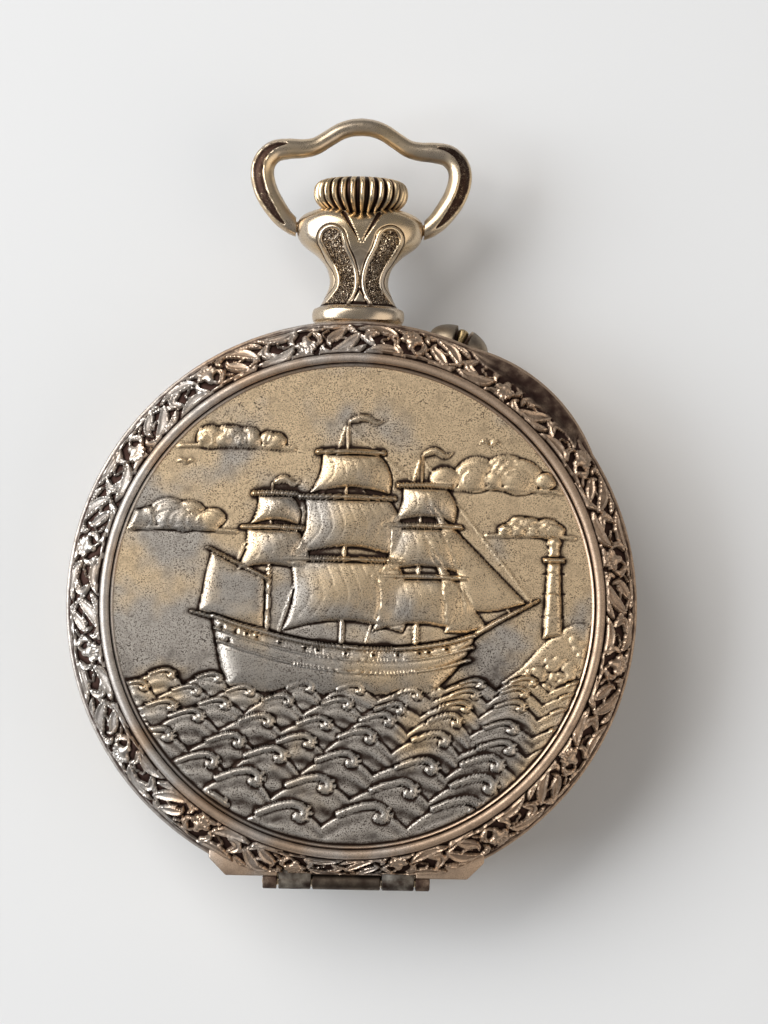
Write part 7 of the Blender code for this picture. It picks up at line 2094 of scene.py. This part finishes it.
@dataclass
class DialPrint:
    """The black printing on the dial: hour numbers, a minute track and the small seconds."""

    face: float = 3.59
    sink: float = 3.79
    thick: float = 0.012
    lift: float = 0.004
    numbers: tuple[str, ...] = ("XII", "I", "II", "III", "IIII", "V", "VI", "VII", "VIII", "IX", "X", "XI")
    widths: tuple[tuple[str, float], ...] = (("I", 0.40), ("V", 0.80), ("X", 0.80))
    foot: float = 14.2
    high: float = 3.3
    track: Point = (18.2, 19.3)
    seconds: Point = (3.5, 4.1)
    seconds_y: float = -9.6

    def build(self) -> Piece:
        """Return the finished printing."""
        shape = bmesh.new()
        for hour, word in enumerate(self.numbers):
            self.number(shape, word, hour * TURN / 12.0)
        for mark in range(60):
            turn = mark * TURN / 60.0
            half = 0.15 if mark % 5 == 0 else 0.05
            self.bar(shape, (0.0, self.track[0]), (0.0, self.track[1]), half, turn)
            half, low = (0.07, self.seconds[0] - 0.25) if mark % 5 == 0 else (0.03, self.seconds[0])
            self.bar(shape, (0.0, low), (0.0, self.seconds[1]), half, turn, self.seconds_y)
        for radius, half, middle in (
                (self.track[0], 0.05, 0.0), (self.track[1], 0.05, 0.0),
                (self.seconds[1], 0.04, self.seconds_y)):
            self.ring(shape, radius, half, middle)
        bmesh.ops.solidify(shape, geom=shape.faces[:], thickness=self.thick * MM)
        bmesh.ops.recalc_face_normals(shape, faces=shape.faces)
        return piece("dial_printing", shape, Finishes.INK, "case")

    def number(self, shape: Shape, word: str, turn: float) -> None:
        """Print one hour number, its foot towards the middle."""
        widths = dict(self.widths)
        left = -sum(widths[letter] for letter in word) / 2.0
        for letter in word:
            middle, reach = left + widths[letter] / 2.0, widths[letter] * 0.35
            left += widths[letter]
            strokes = {
                "I": [(0.0, 0.0, 0.085)], "V": [(-reach, 0.0, 0.085), (reach, 0.0, 0.03)],
                "X": [(-reach, reach, 0.085), (reach, -reach, 0.03)]}[letter]
            for top, low, half in strokes:
                ends = [
                    ((middle + top) * self.high, self.foot + self.high),
                    ((middle + low) * self.high, self.foot)]
                self.bar(shape, ends[0], ends[1], half * self.high, turn)
                for x, y in ends if letter != "V" else ends[:1]:
                    self.bar(shape, (x - 0.15 * self.high, y), (x + 0.15 * self.high, y), 0.06, turn)

    def bar(
            self, shape: Shape, start: Point, end: Point, half: float, turn: float,
            middle: float = 0.0) -> None:
        """Print a straight bar.

        Args:
            shape: What the bar is added to.
            start: One end, to the right and outwards as the dial is seen, in millimetres.
            end: The other end.
            half: Half its width.
            turn: How far it is turned with the hands.
            middle: The height of the middle that it turns about.
        """
        run = Vector(end) - Vector(start)
        side = Vector((0.0, half)) if abs(run.y) < 1e-6 else Vector((half, 0.0))
        level = self.sink if middle else self.face
        corners = []
        for spot in (Vector(start) - side, Vector(start) + side, Vector(end) + side, Vector(end) - side):
            right = spot.x * math.cos(turn) + spot.y * math.sin(turn)
            up = spot.y * math.cos(turn) - spot.x * math.sin(turn) + middle
            corners.append(shape.verts.new((-right * MM, up * MM, (level - self.lift) * MM)))
        shape.faces.new(corners)

    def ring(self, shape: Shape, radius: float, half: float, middle: float) -> None:
        """Print a thin ring about a middle."""
        level = self.sink if middle else self.face
        place = Matrix.Translation((0.0, middle * MM, (level - self.lift) * MM))
        edges = []
        for reach in (radius - half, radius + half):
            made = bmesh.ops.create_circle(shape, segments=144, radius=reach * MM, matrix=place)
            edges += {edge for vert in made["verts"] for edge in vert.link_edges}
        bmesh.ops.bridge_loops(shape, edges=edges)


@dataclass
class Studio:
    """The floor, the soft light and the camera."""

    floor_size: float = 3.0
    floor_colour: Colour = (0.66, 0.66, 0.66)
    world_colour: Colour = (0.93, 0.94, 0.97)
    world_strength: float = 0.24
    lamps: tuple[tuple[str, Sizes, float, float, Colour], ...] = (
        ("key", (-0.46, 0.42, 0.60), 0.54, 5.2, (1.0, 0.98, 0.95)),
        ("window", (-0.80, 0.03, 0.52), 0.60, 8.4, (0.90, 0.95, 1.0)),
        ("fill", (0.56, -0.18, 0.52), 0.70, 1.8, (1.0, 0.90, 0.78)),
    )
    aim: Point = (2.73, 8.51)
    aim_z: float = 7.5
    distance: float = 293.0
    lens: float = 114.5
    sensor: float = 36.0
    from_left: float = 2.2
    from_low: float = 2.0
    roll: float = 1.3

    def build(self) -> None:
        """Set up everything that isn't the watch."""
        self.floor()
        self.light()
        self.camera()

    def floor(self) -> None:
        """Lay a plain pale floor under the watch."""
        shape = bmesh.new()
        bmesh.ops.create_grid(shape, x_segments=1, y_segments=1, size=self.floor_size / 2.0)
        mesh = bpy.data.meshes.new("floor")
        shape.to_mesh(mesh)
        shape.free()
        paint = bpy.data.materials.new("floor_paint")
        paint.use_nodes = True
        shader = paint.node_tree.nodes["Principled BSDF"]
        shader.inputs["Base Color"].default_value = rgba(self.floor_colour)
        shader.inputs["Roughness"].default_value = 0.9
        mesh.materials.append(paint)
        obj = add_object("floor", mesh)

    def light(self) -> None:
        """Hang a broad soft light at the upper left, a cool one at the left and a weak one opposite."""
        world = bpy.data.worlds.new("studio")
        bpy.context.scene.world = world
        world.use_nodes = True
        back = world.node_tree.nodes["Background"]
        back.inputs["Color"].default_value = rgba(self.world_colour)
        back.inputs["Strength"].default_value = self.world_strength
        for name, place, size, power, colour in self.lamps:
            lamp = bpy.data.lights.new(name, "AREA")
            lamp.size = size
            lamp.energy = power
            lamp.color = colour
            obj = add_object(name, lamp)
            obj.location = place
            obj.rotation_euler = (-Vector(place)).to_track_quat("-Z", "Y").to_euler()

    def camera(self) -> None:
        """Set the camera almost straight above, as the photo is taken."""
        data = bpy.data.cameras.new("camera")
        data.lens = self.lens
        data.sensor_width = self.sensor
        data.clip_start = 0.01
        obj = add_object("camera", data)
        target = Vector((self.aim[0] * MM, self.aim[1] * MM, self.aim_z * MM))
        left = Matrix.Rotation(math.radians(-self.from_left), 3, "Y")
        low = Matrix.Rotation(math.radians(self.from_low), 3, "X")
        turn = left @ low @ Matrix.Rotation(math.radians(self.roll), 3, "Z")
        place = target + turn @ Vector((0.0, 0.0, self.distance * MM))
        obj.matrix_world = Matrix.Translation(place) @ turn.to_4x4()
        bpy.context.scene.camera = obj


def main() -> None:
    """Build the watch piece by piece, then the studio round it."""
    logging.basicConfig(level=logging.INFO, format="%(message)s")
    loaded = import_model()
    bpy.context.scene.view_settings.view_transform = "Standard"
    frame = WatchFrame.read(loaded)
    Dressing(loaded["nodes"], {
        Finishes.PLAIN_CASE: ("bezel_hinge_pin",),
        Finishes.PLATE: ("main_plate", "pallet_bridge"),
        Finishes.GILT: (
            "barrel", "barrel_cover", "center_wheel", "third_wheel", "fourth_wheel", "balance_wheel",
            "minute_wheel", "hour_wheel"),
        Finishes.STEEL: (
            "stem", "winding_pinion", "sliding_clutch", "setting_lever", "setting_wheel", "barrel_arbor",
            "click", "click_spring", "center_pinion", "third_pinion", "fourth_pinion", "escape_wheel",
            "escape_pinion", "pallet_fork", "balance_staff", "regulator", "cannon_pinion"),
        Finishes.BLUED: ("mainspring",),
        Finishes.ENAMEL: ("dial",),
    }).build()
    rim = BackRim(frame).build()
    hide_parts("back_cover")
    for part in (
            Medallion(), Pendant(frame), Bow(frame), Crown(), CaseBand(frame), SettingPin(frame),
            Bezel(frame), InnerCover(frame)):
        part.build()
    eased = (
        ("barrel_bridge", Finishes.BRIDGE, "case"),
        ("train_bridge", Finishes.BRIDGE, "case"),
        ("balance_cock", Finishes.BRIDGE, "case"),
        ("crown_wheel", Finishes.STEEL, "crown_wheel"),
        ("ratchet_wheel", Finishes.STEEL, "ratchet"),
        ("hour_hand", Finishes.BLUED, "hour_hand"),
        ("minute_hand", Finishes.BLUED, "minute_hand"),
        ("seconds_hand", Finishes.BLUED, "fourth_wheel"),
    )
    for name, finish, body in eased:
        EasedPart(loaded["nodes"][name], name, finish, body).build()
    BalanceSpring(frame).build()
    MovementTrim().build()
    DialPrint().build()
    Studio().build()


if __name__ == "__main__":
    main()
